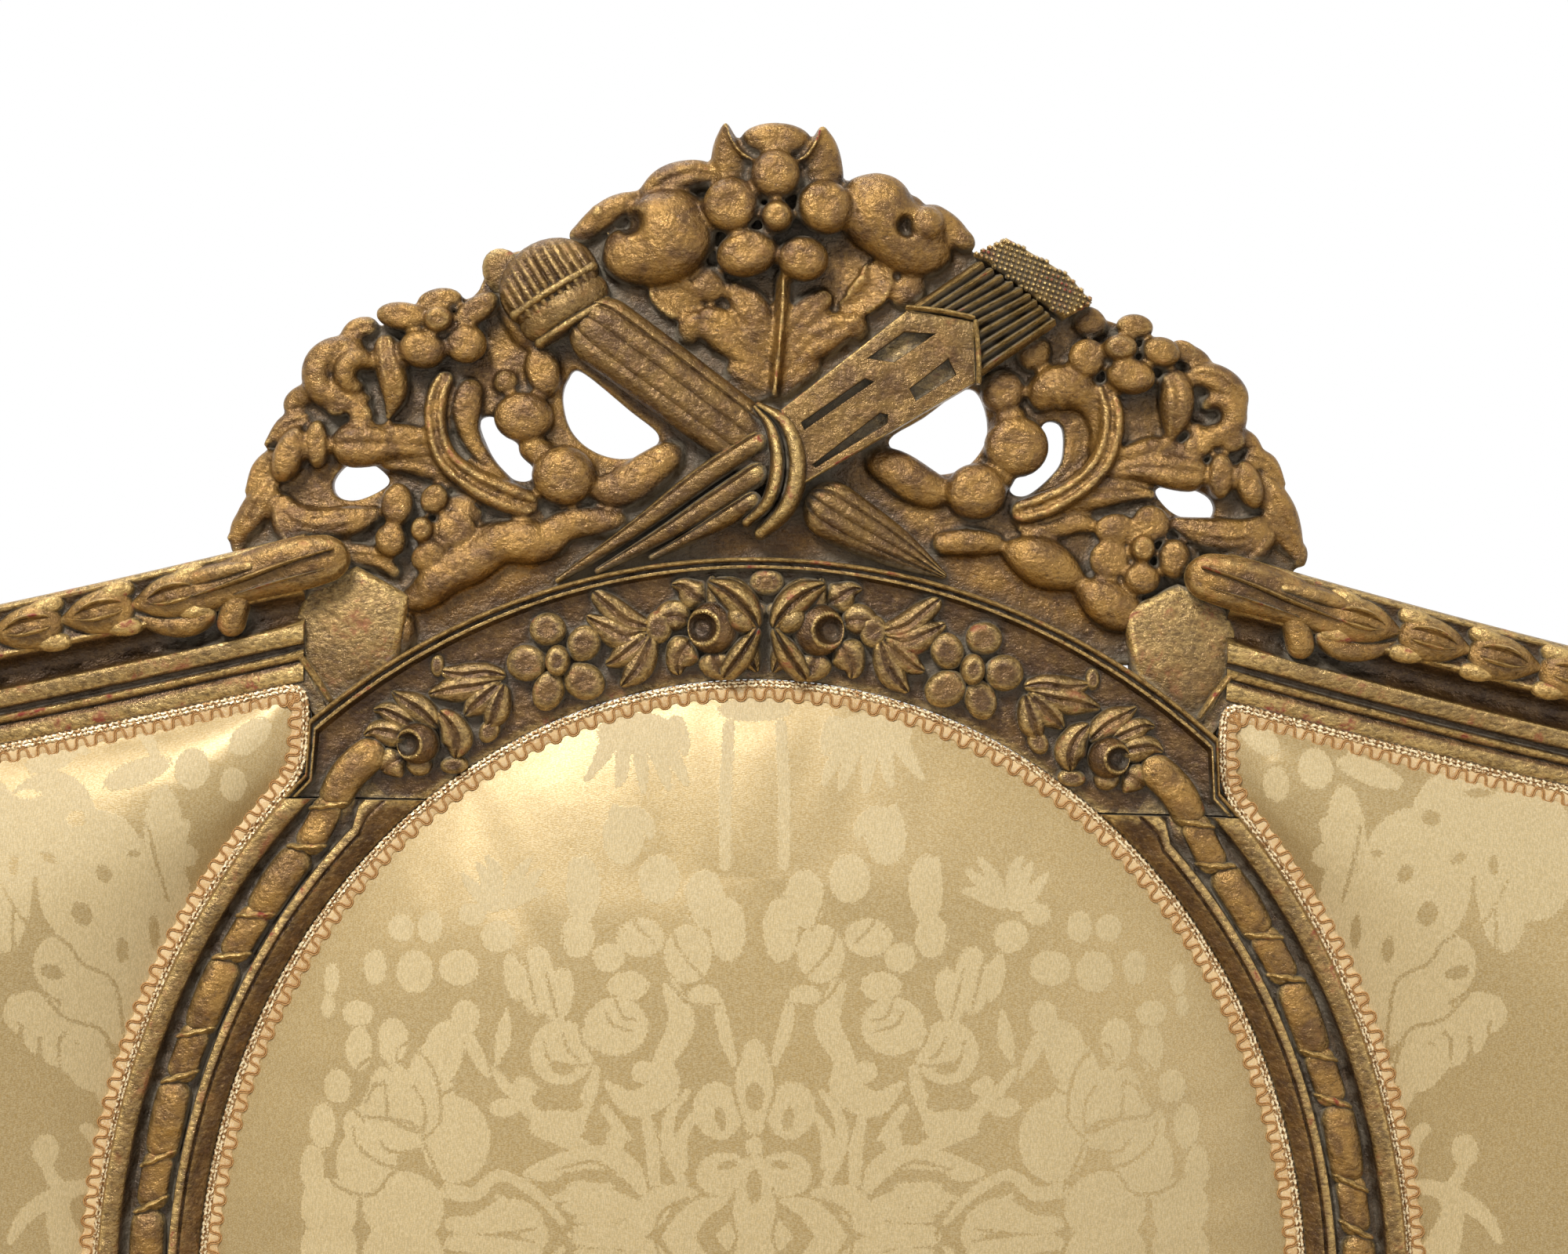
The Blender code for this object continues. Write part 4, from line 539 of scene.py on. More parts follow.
def gilding(name, sofa, leaf=None):
    """A gilded finish, from the shared group with this piece's own leaf."""
    if "worn_gilding_and_painted_light" not in bpy.data.node_groups:
        gilding_group()
    material, nodes, shader = plain_material(name)
    inputs = {"Gold": sofa.gold, "Brown": sofa.brown, "Bole": sofa.bole, "Dust": sofa.dust,
              **(leaf or {})}
    group = nodes.add("Group", inputs, node_tree=bpy.data.node_groups["worn_gilding_and_painted_light"])
    for title, socket in (("Color", "Base Color"), ("Metallic", "Metallic"), ("Roughness", "Roughness")):
        nodes.put(shader.inputs[socket], group.outputs[title])
    nodes.bump(shader, group.outputs["Height"], 0.8, 0.0010)
    return material


# Carved crest

CREST_OUTLINE_PX = (
    (300, 700), (292, 672), (310, 640), (330, 596), (350, 560), (372, 530), (392, 500), (406, 464),
    (432, 436), (470, 420), (500, 396), (540, 380), (598, 374), (622, 332), (660, 314), (720, 316),
    (770, 284), (812, 258), (860, 232), (914, 226), (930, 190), (955, 172), (1020, 172), (1052, 190),
    (1068, 220), (1112, 226), (1146, 248), (1184, 276), (1218, 300), (1244, 318), (1284, 310),
    (1350, 356), (1392, 394), (1440, 412), (1486, 436), (1520, 466), (1556, 500), (1572, 540),
    (1592, 576), (1622, 616), (1648, 662), (1664, 712), (1640, 740), (1560, 752), (1500, 812),
    (1440, 850), (1300, 800), (1140, 750), (970, 732), (800, 745), (640, 800), (490, 850),
    (440, 800), (400, 740), (340, 722))
CREST_HOLES_PX = (
    ((738, 470), (800, 520), (838, 552), (826, 574), (790, 583), (752, 572), (724, 545), (714, 505),
     (722, 478)),
    ((1135, 560), (1180, 530), (1236, 492), (1258, 514), (1262, 556), (1240, 590), (1205, 603),
     (1160, 596)),
    ((606, 534), (630, 530), (646, 556), (672, 574), (680, 600), (668, 612), (644, 606), (622, 578)),
    ((418, 612), (436, 590), (462, 586), (490, 608), (482, 622), (450, 636), (424, 632)),
    ((1333, 540), (1358, 540), (1360, 580), (1346, 604), (1314, 630), (1292, 626), (1300, 606),
     (1330, 592)),
    ((1480, 622), (1512, 618), (1546, 630), (1556, 648), (1544, 664), (1508, 656), (1488, 640)))


def crest_ground():
    """The sawn and pierced board behind the carving."""
    bm = bmesh.new()
    outline = smooth_curve(marks(CREST_OUTLINE_PX), 4, closed=True)
    holes = [smooth_curve(marks(hole), 4, closed=True) for hole in CREST_HOLES_PX]
    slab(bm, outline, CREST_BACK, GROUND_FACE, 0.0016, holes)
    return bm


# Bosses: place in pixels, half sizes in pixels, turn in degrees, rise and foot in millimetres
CREST_BOSSES_PX = (
    # Flower at the top
    (990, 176, 44, 22, 0, 15, 14), (989, 223, 31, 31, 0, 17, 20), (933, 260, 36, 34, 20, 14, 20),
    (1052, 263, 36, 33, -15, 14, 20), (953, 321, 39, 29, 12, 14, 18), (1024, 328, 32, 28, -8, 14, 18),
    (991, 276, 20, 20, 0, 19, 20),
    # Beads and scales along the outline, left then right
    (557, 381, 24, 14, 10, 8, 13), (426, 517, 13, 11, 0, 8, 15), (457, 529, 13, 15, 0, 8, 15),
    (856, 226, 22, 10, 40, 7, 12), (798, 254, 20, 10, 30, 7, 12), (750, 290, 22, 10, 35, 7, 12),
    (1166, 258, 14, 10, -35, 9, 12), (1190, 272, 14, 12, -40, 10, 12), (1226, 300, 18, 12, -30, 9, 12),
    (1581, 519, 12, 12, 0, 8, 15), (1531, 569, 17, 12, 0, 8, 15), (1576, 562, 14, 12, 20, 8, 15),
    (1517, 448, 18, 12, -35, 7, 13),
    # Blossom, upper left
    (605, 393, 32, 16, 35, 8, 17), (513, 402, 29, 15, -6, 11, 17), (592, 437, 26, 24, 10, 10, 18),
    (537, 444, 29, 24, -10, 13, 18), (558, 407, 15, 14, 0, 14, 19),
    # Blossom, lower left
    (551, 636, 20, 17, 60, 7, 17), (577, 675, 27, 25, 0, 5, 17), (504, 643, 20, 27, 0, 9, 17),
    (496, 688, 20, 21, 0, 9, 17), (544, 709, 23, 19, 30, 8, 17), (536, 675, 14, 16, 0, 11, 18),
    # Blossom, upper right
    (1450, 415, 23, 16, -5, 9, 17), (1389, 455, 24, 24, 0, 8, 18), (1482, 448, 25, 19, -10, 12, 18),
    (1444, 479, 31, 22, -8, 13, 18), (1430, 443, 18, 14, 0, 14, 19),
    # Blossom, lower right
    (1427, 675, 27, 20, 0, 5, 17), (1419, 714, 26, 25, 0, 5, 17), (1472, 667, 24, 22, -40, 6, 17),
    (1500, 713, 21, 25, 0, 11, 17), (1459, 738, 23, 20, 0, 10, 17), (1460, 700, 15, 17, 0, 11, 18),
    # Scalloped ribbon round the great holes
    (665, 530, 37, 31, 0, 12, 12), (717, 606, 40, 37, -10, 15, 12), (690, 470, 22, 34, 10, 8, 12),
    (1281, 497, 27, 28, -20, 9, 12), (1299, 568, 40, 38, 0, 12, 12), (1247, 626, 38, 35, 10, 15, 12),
    # Husk balls at the ends
    (365, 579, 19, 36, -20, 12, 15), (401, 565, 15, 30, 0, 11, 15), (1596, 618, 17, 31, 20, 12, 15),
    (1560, 606, 17, 29, 0, 11, 15))

# Forms: line in pixels, half widths in pixels, rises in millimetres, foot in millimetres, section
CREST_FORMS_PX = (
    # Tulip behind the top flower, its tips curled forward
    (((940, 246), (932, 208), (926, 178), (925, 154)), (30, 24, 17, 3), (12, 13, 14, 15), 13, dome),
    (((925, 154), (934, 180), (950, 198), (974, 206)), (3, 6, 7, 4), (18, 19, 18, 15), 13, ridged),
    (((1040, 246), (1048, 210), (1052, 182), (1049, 158)), (30, 26, 17, 3), (12, 13, 14, 15), 13, dome),
    (((1049, 158), (1040, 182), (1026, 200), (1004, 208)), (3, 6, 7, 4), (18, 19, 18, 15), 13, ridged),
    # Leaves under the top flower, either side of its stem
    (((988, 462), (972, 420), (956, 388), (928, 358)), (6, 17, 20, 10), (5, 7, 8, 6), 14, creased),
    (((986, 494), (956, 452), (916, 416), (882, 408)), (6, 16, 24, 17), (4, 6, 8, 8), 14, creased),
    (((896, 398), (878, 416), (884, 436)), (12, 14, 11), (8, 8, 6), 14, dome),
    (((984, 506), (962, 482), (926, 462)), (6, 14, 13), (4, 6, 5), 14, creased),
    (((976, 506), (950, 496), (922, 486)), (6, 12, 11), (4, 5, 4), 14, creased),
    (((994, 462), (1010, 424), (1034, 392), (1060, 370)), (6, 16, 18, 10), (5, 7, 8, 6), 14, creased),
    (((994, 490), (1024, 446), (1062, 420), (1092, 412)), (6, 15, 22, 14), (4, 6, 8, 8), 14, creased),
    (((1080, 400), (1094, 414), (1086, 430)), (10, 13, 9), (8, 8, 6), 14, dome),
    (((994, 504), (1018, 474), (1046, 458)), (6, 14, 12), (4, 6, 5), 14, creased),
    (((1000, 340), (996, 420), (987, 506)), (9, 8, 7), (11, 11, 10), 15, ridged),
    # Upper lobes of the two ball leaves
    (((918, 222), (886, 218), (850, 228), (816, 252)), (12, 17, 18, 10), (11, 13, 12, 9), 12, creased),
    (((812, 248), (782, 262), (748, 286), (724, 300)), (10, 15, 14, 6), (10, 11, 10, 7), 12, dome),
    (((1180, 262), (1212, 286), (1240, 310)), (12, 15, 9), (10, 10, 8), 12, dome),
    # Leaf strips between the torch and the ball leaf, and their fellows on the right
    (((830, 352), (862, 376), (890, 392)), (16, 24, 20), (7, 8, 6), 14, hollow),
    (((880, 340), (905, 360), (925, 370)), (14, 20, 14), (6, 7, 6), 14, dome),
    (((1110, 330), (1118, 358), (1090, 385), (1070, 388)), (14, 20, 18, 8), (6, 8, 7, 5), 14, hollow),
    (((1150, 345), (1160, 362), (1140, 385)), (14, 20, 10), (6, 7, 6), 14, dome),
    # Slender leaves by the upper blossoms
    (((487, 424), (494, 460), (500, 500), (491, 534)), (12, 17, 15, 2), (9, 12, 11, 6), 16, creased),
    (((1489, 470), (1503, 496), (1503, 530), (1494, 566)), (12, 19, 16, 2), (9, 12, 11, 6), 16, creased),
    # Shoulder scales on the outline, left
    (((478, 412), (450, 418), (424, 440)), (10, 13, 3), (8, 8, 6), 12, creased),
    (((410, 498), (388, 500), (366, 512), (364, 528)), (10, 13, 12, 4), (8, 8, 7, 6), 11, dome),
    (((392, 530), (362, 542), (330, 566)), (12, 14, 2), (8, 8, 6), 11, creased),
    (((352, 576), (330, 596), (306, 628)), (12, 13, 2), (8, 8, 6), 11, creased),
    (((345, 610), (318, 652), (298, 680), (282, 686)), (12, 17, 15, 3), (9, 10, 9, 7), 11, creased),
    (((318, 640), (300, 680), (296, 708)), (10, 14, 6), (7, 8, 7), 11, dome),
    # Shoulder scales on the outline, right
    (((1505, 440), (1535, 462), (1556, 490)), (10, 14, 3), (8, 8, 6), 12, creased),
    (((1562, 555), (1596, 560), (1618, 578)), (10, 12, 3), (8, 8, 6), 11, dome),
    (((1590, 580), (1620, 590), (1646, 618)), (12, 13, 2), (8, 8, 6), 11, creased),
    (((1612, 604), (1636, 650), (1652, 690), (1670, 722)), (11, 19, 17, 4), (9, 11, 9, 7), 11, creased),
    (((1660, 690), (1664, 710), (1658, 722)), (8, 10, 6), (7, 8, 7), 11, dome),
    # Rosebuds
    (((470, 505), (436, 510), (404, 492), (402, 462), (424, 444), (462, 440)),
     (8, 15, 17, 17, 15, 8), (8, 11, 12, 12, 11, 8), 13, dome),
    (((462, 492), (442, 488), (438, 466), (456, 456), (476, 466)),
     (8, 13, 14, 13, 8), (10, 14, 15, 14, 10), 13, dome),
    (((1514, 480), (1546, 478), (1580, 500), (1590, 524)), (10, 16, 16, 6), (9, 12, 12, 8), 13, creased),
    (((1520, 540), (1542, 556), (1570, 548), (1578, 524), (1560, 508), (1536, 518)),
     (8, 14, 15, 15, 13, 6), (8, 11, 12, 12, 11, 8), 13, dome),
    # Horns from the husk balls to the stems
    (((418, 566), (448, 566), (500, 566), (560, 573)), (24, 24, 14, 7), (13, 13, 9, 6), 14,
     fluted(2, 0.2)),
    (((1545, 604), (1520, 602), (1460, 596), (1402, 603)), (20, 20, 12, 6), (12, 12, 9, 6), 14,
     fluted(2, 0.2)),
    (((470, 545), (510, 552), (550, 560), (575, 580)), (6, 12, 10, 5), (7, 9, 8, 6), 14, dome),
    (((1518, 572), (1478, 570), (1430, 580), (1408, 595)), (6, 13, 10, 5), (7, 9, 8, 6), 14, dome),
    # Long stems: down from the blossoms, along under the ribbons
    (((570, 472), (556, 500), (553, 540), (566, 582), (600, 612), (640, 632), (685, 646)),
     (9, 12, 12, 13, 15, 17, 15), (10, 12, 12, 12, 12, 11, 9), 14, two_strand),
    (((600, 480), (590, 520), (596, 556), (620, 592), (650, 616)), (14, 18, 12, 9, 4), (7, 9, 8, 7, 6), 13,
     dome),
    (((480, 590), (530, 590), (580, 606), (640, 640), (690, 656)), (6, 16, 16, 12, 8), (8, 8, 8, 8, 7), 12,
     creased),
    (((1408, 486), (1420, 520), (1418, 560), (1402, 596), (1370, 625), (1330, 645), (1292, 655)),
     (9, 13, 13, 13, 13, 14, 12), (10, 12, 12, 12, 12, 11, 9), 14, two_strand),
    (((1322, 520), (1340, 496), (1372, 492), (1396, 512), (1404, 545), (1396, 580)),
     (14, 24, 24, 16, 9, 5), (9, 14, 13, 10, 8, 6), 12, dome),
    (((1478, 630), (1440, 626), (1380, 634), (1292, 662)), (6, 17, 17, 10), (8, 9, 8, 7), 12, creased),
    # Scrolls under the lower blossoms
    (((484, 652), (452, 662), (410, 668), (374, 660), (346, 632)), (6, 16, 18, 16, 10), (8, 11, 12, 11, 8),
     13, fluted(3, 0.22)),
    (((350, 636), (362, 676), (396, 712), (436, 734), (466, 760)), (12, 15, 15, 13, 5), (9, 11, 10, 9, 7),
     13, creased),
    (((400, 690), (440, 706), (478, 712), (505, 735)), (8, 14, 13, 6), (6, 8, 8, 6), 13, creased),
    (((1496, 664), (1540, 680), (1588, 682), (1626, 664)), (6, 18, 19, 12), (8, 11, 12, 9), 13,
     fluted(3, 0.22)),
    (((1628, 668), (1600, 704), (1560, 724), (1538, 752), (1520, 772)), (12, 16, 14, 13, 6),
     (9, 11, 10, 9, 7), 13, creased),
    (((1530, 700), (1512, 726), (1510, 752)), (10, 16, 12), (7, 8, 7), 13, creased),
    (((1498, 752), (1490, 776), (1480, 790)), (10, 15, 8), (6, 7, 6), 13, dome),
    (((1520, 764), (1520, 790)), (12, 11), (7, 7), 13, dome),
    # Ribbon bands that join the balls
    (((640, 360), (660, 400), (684, 440)), (16, 20, 16), (6, 7, 6), 13, dome),
    (((745, 622), (790, 622), (830, 598), (868, 566)), (10, 22, 22, 14), (8, 11, 11, 8), 12, dome),
    (((1215, 632), (1176, 618), (1140, 596), (1106, 580)), (14, 22, 22, 14), (8, 11, 11, 8), 12, dome),
    (((660, 560), (690, 580), (700, 600)), (12, 16, 12), (8, 10, 8), 12, dome),
    (((1290, 590), (1276, 606), (1262, 620)), (12, 18, 12), (8, 10, 8), 12, dome),
    (((1282, 516), (1290, 534), (1296, 550)), (14, 20, 14), (7, 9, 8), 12, dome),
    # Wavy ribbons along the foot
    (((505, 770), (535, 758), (566, 732), (600, 716), (640, 690), (690, 690), (724, 668), (800, 664)),
     (10, 20, 22, 22, 24, 19, 17, 12), (8, 13, 13, 12, 13, 10, 9, 7), 13, dome),
    (((452, 779), (476, 790), (506, 788)), (3, 15, 12), (8, 10, 9), 13, creased),
    (((506, 780), (512, 810), (503, 842)), (12, 12, 4), (8, 9, 7), 13, dome),
    (((600, 676), (640, 668), (686, 664)), (6, 9, 6), (8, 9, 8), 13, ridged),
    (((1190, 694), (1240, 690), (1284, 694)), (12, 15, 10), (7, 9, 8), 13, dome),
    (((1280, 698), (1306, 706), (1340, 720), (1376, 738), (1390, 744)), (8, 22, 27, 20, 6),
     (8, 13, 13, 11, 7), 13, dome),
    (((1376, 745), (1396, 756), (1426, 774), (1460, 790), (1474, 800)), (8, 22, 27, 20, 6),
     (8, 13, 13, 11, 7), 13, dome),
    (((1464, 800), (1490, 812), (1526, 812)), (14, 15, 3), (9, 10, 7), 13, creased),
    (((1462, 806), (1460, 836), (1470, 862)), (12, 13, 5), (8, 9, 7), 13, dome),
    # Scrolling acanthus behind the blossoms
    (((560, 640), (590, 650), (612, 662)), (10, 16, 8), (5, 7, 5), 14, fluted(3, 0.2)),
    (((1404, 672), (1376, 666), (1340, 676), (1300, 672)), (8, 12, 10, 6), (5, 6, 6, 5), 14, dome),
    (((1340, 462), (1320, 446), (1306, 430)), (16, 20, 12), (6, 8, 6), 14, dome),
    (((1372, 396), (1396, 410), (1412, 424)), (12, 17, 10), (6, 8, 6), 13, dome),
    (((636, 470), (648, 500)), (14, 14), (5, 5), 14, dome))


def carve(bm, forms, sign, fullness, lift, around, fineness):
    """Forms from a table. fineness is the rings that each has, and those more for each of its points."""
    for line, widths, rises, foot, section in forms:
        form(bm, marks(line, sign), [width * PIXEL * fullness for width in widths],
             [rise / 1000 + lift for rise in rises], foot / 1000 - lift, section,
             around, fineness[0] + fineness[1] * len(line))


def crest_carving(bm):
    """Flowers, leaves, scrolls and ribbons on the board."""
    for x, y, half_length, half_width, turn, rise, foot in CREST_BOSSES_PX:
        swell = PIXEL * (BEAD_FULLNESS if half_width < SMALL_BEAD_PX else BOSS_FULLNESS)
        boss(bm, mark(x, y), half_length * swell, half_width * swell, math.radians(turn),
             rise / 1000 + LIFT, foot / 1000, dish=0.1)
    carve(bm, CREST_FORMS_PX, 1, CREST_FULLNESS, LIFT, 24, (8, 6))


BALL_LEAVES_PX = (
    # Line, half widths, rises in millimetres, and pits: place, radius and depth in millimetres
    (((905, 258), (872, 282), (838, 304), (800, 316), (772, 300)), (30, 52, 58, 46, 24),
     (13, 20, 21, 17, 13), (((806, 283), 13, 9),)),
    (((1082, 228), (1108, 254), (1136, 284), (1170, 310), (1214, 330)), (22, 48, 44, 40, 18),
     (13, 20, 19, 16, 10), (((1157, 288), 11, 8),)))


# Beads beside the ball leaves: place, radius, and rise in millimetres
BALL_BEADS_PX = ((762, 268, 12, 12), (1182, 284, 25, 19), (1196, 300, 12, 14))
BALL_LEAF_FOOT = 0.012


def ball_leaves(bm):
    """The two full curled leaves beside the top flower, with drilled eyes, and their beads."""
    for line, widths, rises, pits in BALL_LEAVES_PX:
        bored = [(mark(*place), radius * PIXEL, depth / 1000) for place, radius, depth in pits]
        form(bm, marks(line), [width * PIXEL for width in widths], [rise / 1000 for rise in rises],
             BALL_LEAF_FOOT, dome, 72, 64, bored)
    for x, y, half, rise in BALL_BEADS_PX:
        boss(bm, mark(x, y), half * PIXEL, half * PIXEL, 0, rise / 1000, BALL_LEAF_FOOT)


# Heights over the back's plane: the quiver's back, the floor of its pockets and its face
QUIVER_BACK = 0.010
QUIVER_FLOOR = 0.0285
QUIVER_FACE = 0.0345
QUIVER_ARRIS = 0.0008
OVERLAP = 0.001
QUIVER_PX = ((1158, 396), (1241, 411), (1244, 488), (1120, 561), (1024, 618), (996, 524))
QUIVER_POCKETS_PX = (
    ((1107, 458), (1153, 425), (1192, 427), (1140, 463)),
    ((1160, 497), (1209, 459), (1219, 479), (1168, 512)),
    ((1022, 540), (1103, 484), (1114, 488), (1026, 549)),
    ((1036, 594), (1122, 528), (1132, 530), (1131, 541), (1040, 597)))
ARROW_RODS_START_PX = ((1162, 392), (1238, 408), (1245, 484))
ARROW_RODS_END_PX = ((1250, 330), (1312, 372), (1352, 410))
ARROW_TIPS_PX = ((1246, 324), (1284, 302), (1364, 350), (1394, 385), (1358, 406), (1304, 366))
QUIVER_RIMS_PX = (((1154, 393), (1200, 398), (1244, 407)), ((1243, 408), (1247, 450), (1248, 492)))
ARROW_COUNT = 10
ARROW_HALF_WIDTH = 0.0027
STUD_PITCH_PX = 9.5
STUD_HEIGHT = 0.0036
ARROW_END_BACK = 0.012
ARROW_END_FACE = 0.029
QUIVER_FAN_PX = (
    (((978, 556), (900, 606), (800, 680), (706, 742)), (15, 15, 10, 4)),
    (((978, 596), (920, 634), (840, 684), (757, 730)), (17, 15, 10, 4)),
    (((970, 632), (920, 662), (870, 690), (826, 712)), (14, 12, 8, 4)))
RING_PX = (
    (((961, 517), (984, 548), (992, 594), (980, 640), (947, 670)), (3, 9, 11, 10, 6)),
    (((964, 514), (1002, 542), (1016, 592), (1004, 644), (964, 686)), (4, 12, 15, 13, 8)))


def inside(point, loop):
    """Whether a point lies within a loop."""
    odd = False
    for (ax, ay), (bx, by) in zip(loop, [*loop[1:], loop[0]]):
        if (ay > point[1]) != (by > point[1]) and point[0] < (bx - ax) * (point[1] - ay) / (by - ay) + ax:
            odd = not odd
    return odd


def quiver():
    """Quiver with sunk pockets, its ribbed arrows and their studded ends."""
    bm = bmesh.new()
    body = marks(QUIVER_PX)
    pockets = [marks(pocket) for pocket in QUIVER_POCKETS_PX]
    slab(bm, body, QUIVER_BACK, QUIVER_FLOOR, QUIVER_ARRIS)
    slab(bm, body, QUIVER_FLOOR - OVERLAP, QUIVER_FACE, QUIVER_ARRIS, pockets)
    start, end = marks(ARROW_RODS_START_PX), marks(ARROW_RODS_END_PX)
    for i in range(ARROW_COUNT):
        share = (i + 0.5) / ARROW_COUNT
        half = 0 if share < 0.5 else 1
        low, high = [ends[half].lerp(ends[half + 1], share * 2 - half) for ends in (start, end)]
        arch = 0.0025 * math.sin(math.pi * share)
        form(bm, [low - (high - low) * 0.06, low.lerp(high, 0.5), high], [ARROW_HALF_WIDTH] * 3,
             [0.0135 + arch] * 3, 0.018, ridged, 12, 10)
    tips = marks(ARROW_TIPS_PX)
    slab(bm, tips, ARROW_END_BACK, ARROW_END_FACE, 0.003)
    stud_arrow_ends(bm, tips, (end[1] - start[1]).normalized())
    for line in QUIVER_RIMS_PX:
        form(bm, marks(line), [0.0014] * 3, [0.010] * 3, 0.028, dome, 10, 12)
    for line, widths in QUIVER_FAN_PX:
        form(bm, marks(line), [width * PIXEL for width in widths], [0.020, 0.017, 0.013, 0.009], 0.014,
             incised(-0.62), 28, 26)
    for line, widths in RING_PX:
        form(bm, marks(line), [width * PIXEL for width in widths], [0.018, 0.025, 0.027, 0.025, 0.016],
             0.014, dome, 20, 30)
    return bm


def stud_arrow_ends(bm, tips, axis):
    """Rows of small cones over the plate that stands for the arrows' feathered ends."""
    side = Vector((-axis.y, axis.x))
    pitch = STUD_PITCH_PX * PIXEL
    for row in range(-10, 40):
        for column in range(-26, 12):
            spot = tips[0] + axis * pitch * row * 0.5 + side * pitch * (column + 0.5 * (row % 2))
            if inside(spot, tips):
                cone = bmesh.ops.create_cone(bm, cap_ends=True, segments=6, radius1=pitch * 0.46,
                                             radius2=pitch * 0.16, depth=STUD_HEIGHT)["verts"]
                bmesh.ops.translate(bm, vec=(spot.x, spot.y, 0.0292), verts=cone)


# Torch: the flame guard's two ends, the flame's tip, and the middle lines of the shaft and its point
TORCH_GUARD_PX = ((644, 400), (760, 328))
TORCH_FLAME_PX = (640, 344)
TORCH_SHAFT_PX = ((733, 396), (840, 474), (935, 545), (1010, 600))
TORCH_POINT_PX = ((1030, 630), (1080, 662), (1140, 696), (1209, 736))
SHAFT_HALF_WIDTHS = (0.0172, 0.0168, 0.0162, 0.0155)
POINT_HALF_WIDTHS = (0.0145, 0.0130, 0.0090, 0.0014)
SHAFT_FOOT = 0.013
GUARD_HALF_SIZES = (0.0250, 0.0205)
GUARD_SHIFT = 0.002
GUARD_RISE = 0.020
GUARD_FOOT = 0.014
FLAME_HALF_SIZES = (0.010, 0.0125)
FLAME_RISE = 0.009
COLLAR_FOOT = 0.012

# Collars: how far each lies down the shaft, its half length, half width and rise, in metres
TORCH_COLLARS = ((0.00240, 0.0246, 0.0032, 0.024), (0.01104, 0.0235, 0.0098, 0.022),
                 (0.01968, 0.0215, 0.0030, 0.021))


def torch():
    """Torch: ribbed flame guard, three collars, a grooved shaft and its ridged point."""
    bm = bmesh.new()
    low_end, high_end = marks(TORCH_GUARD_PX)
    turn = math.atan2(high_end.y - low_end.y, high_end.x - low_end.x)
    middle = low_end.lerp(high_end, 0.5)
    away = Vector((-math.sin(turn), math.cos(turn)))
    boss(bm, middle + away * GUARD_SHIFT, *GUARD_HALF_SIZES, turn, GUARD_RISE, GUARD_FOOT, 2.2,
         ribs=11, around=96, along=96)
    boss(bm, mark(*TORCH_FLAME_PX), *FLAME_HALF_SIZES, turn, FLAME_RISE, COLLAR_FOOT)
    for down, reach, width, rise in TORCH_COLLARS:
        centre = middle - away * down
        span = Vector((math.cos(turn), math.sin(turn))) * reach
        form(bm, [centre - span, centre, centre + span], [width] * 3, [rise * 0.7, rise, rise * 0.7],
             COLLAR_FOOT, dome, 24, 28)
    form(bm, marks(TORCH_SHAFT_PX), SHAFT_HALF_WIDTHS, [0.019, 0.019, 0.018, 0.015], SHAFT_FOOT,
         incised(-0.5, 0.12, 0.62), 64, 40)
    form(bm, marks(TORCH_POINT_PX), POINT_HALF_WIDTHS, [0.016, 0.015, 0.012, 0.008], SHAFT_FOOT,
         incised(-0.5, 0.0, 0.5), 48, 30)
    return bm


def fuse(piece, voxel, share):
    """Melts overlapping forms into one carved skin, and thins it where it is flat."""
    modify(piece, "REMESH", mode="VOXEL", voxel_size=voxel)
    modify(piece, "SMOOTH", factor=0.5, iterations=2)
    modify(piece, "DECIMATE", ratio=share)
    apply_modifiers(piece)
    piece.data.shade_smooth()


def build_crest(sofa):
    bm = crest_ground()
    crest_carving(bm)
    ball_leaves(bm)
    gilt = gilding("gilding_crest", sofa)
    piece = make_piece("crest_carving", bm, gilt, ["crest_cartouche"])
    fuse(piece, 0.0012, 0.5)
    darker = gilding("gilding_quiver", sofa, QUIVER_LEAF)
    make_piece("crest_quiver", quiver(), darker)
    make_piece("crest_torch", torch(), darker)


# Mouldings of the back frame

ARCH_PROFILE_SHARES = (
    (0, 0), (0, 0.82), (0.008, 0.88), (0.022, 0.905), (0.036, 0.88), (0.046, 0.82), (0.058, 0.835),
    (0.072, 0.845), (0.088, 0.835), (0.100, 0.77), (0.120, 0.715), (0.16, 0.695), (0.30, 0.675),
    (0.55, 0.655), (0.80, 0.635), (0.90, 0.625), (0.985, 0.625), (1, 0.61), (1, 0))
STILE_PROFILE_SHARES = (
    (0, 0), (0, 0.78), (0.012, 0.84), (0.035, 0.875), (0.09, 0.885), (0.16, 0.875), (0.20, 0.85),
    (0.225, 0.78), (0.25, 0.72), (0.28, 0.70), (0.32, 0.71), (0.42, 0.74), (0.49, 0.75),
    (0.56, 0.74), (0.64, 0.71), (0.67, 0.70), (0.69, 0.72), (0.70, 0.78), (0.715, 0.83), (0.74, 0.845),
    (0.79, 0.84), (0.81, 0.81), (0.83, 0.825), (0.88, 0.79), (0.93, 0.75), (0.97, 0.72), (0.99, 0.69),
    (1, 0.64), (1, 0))
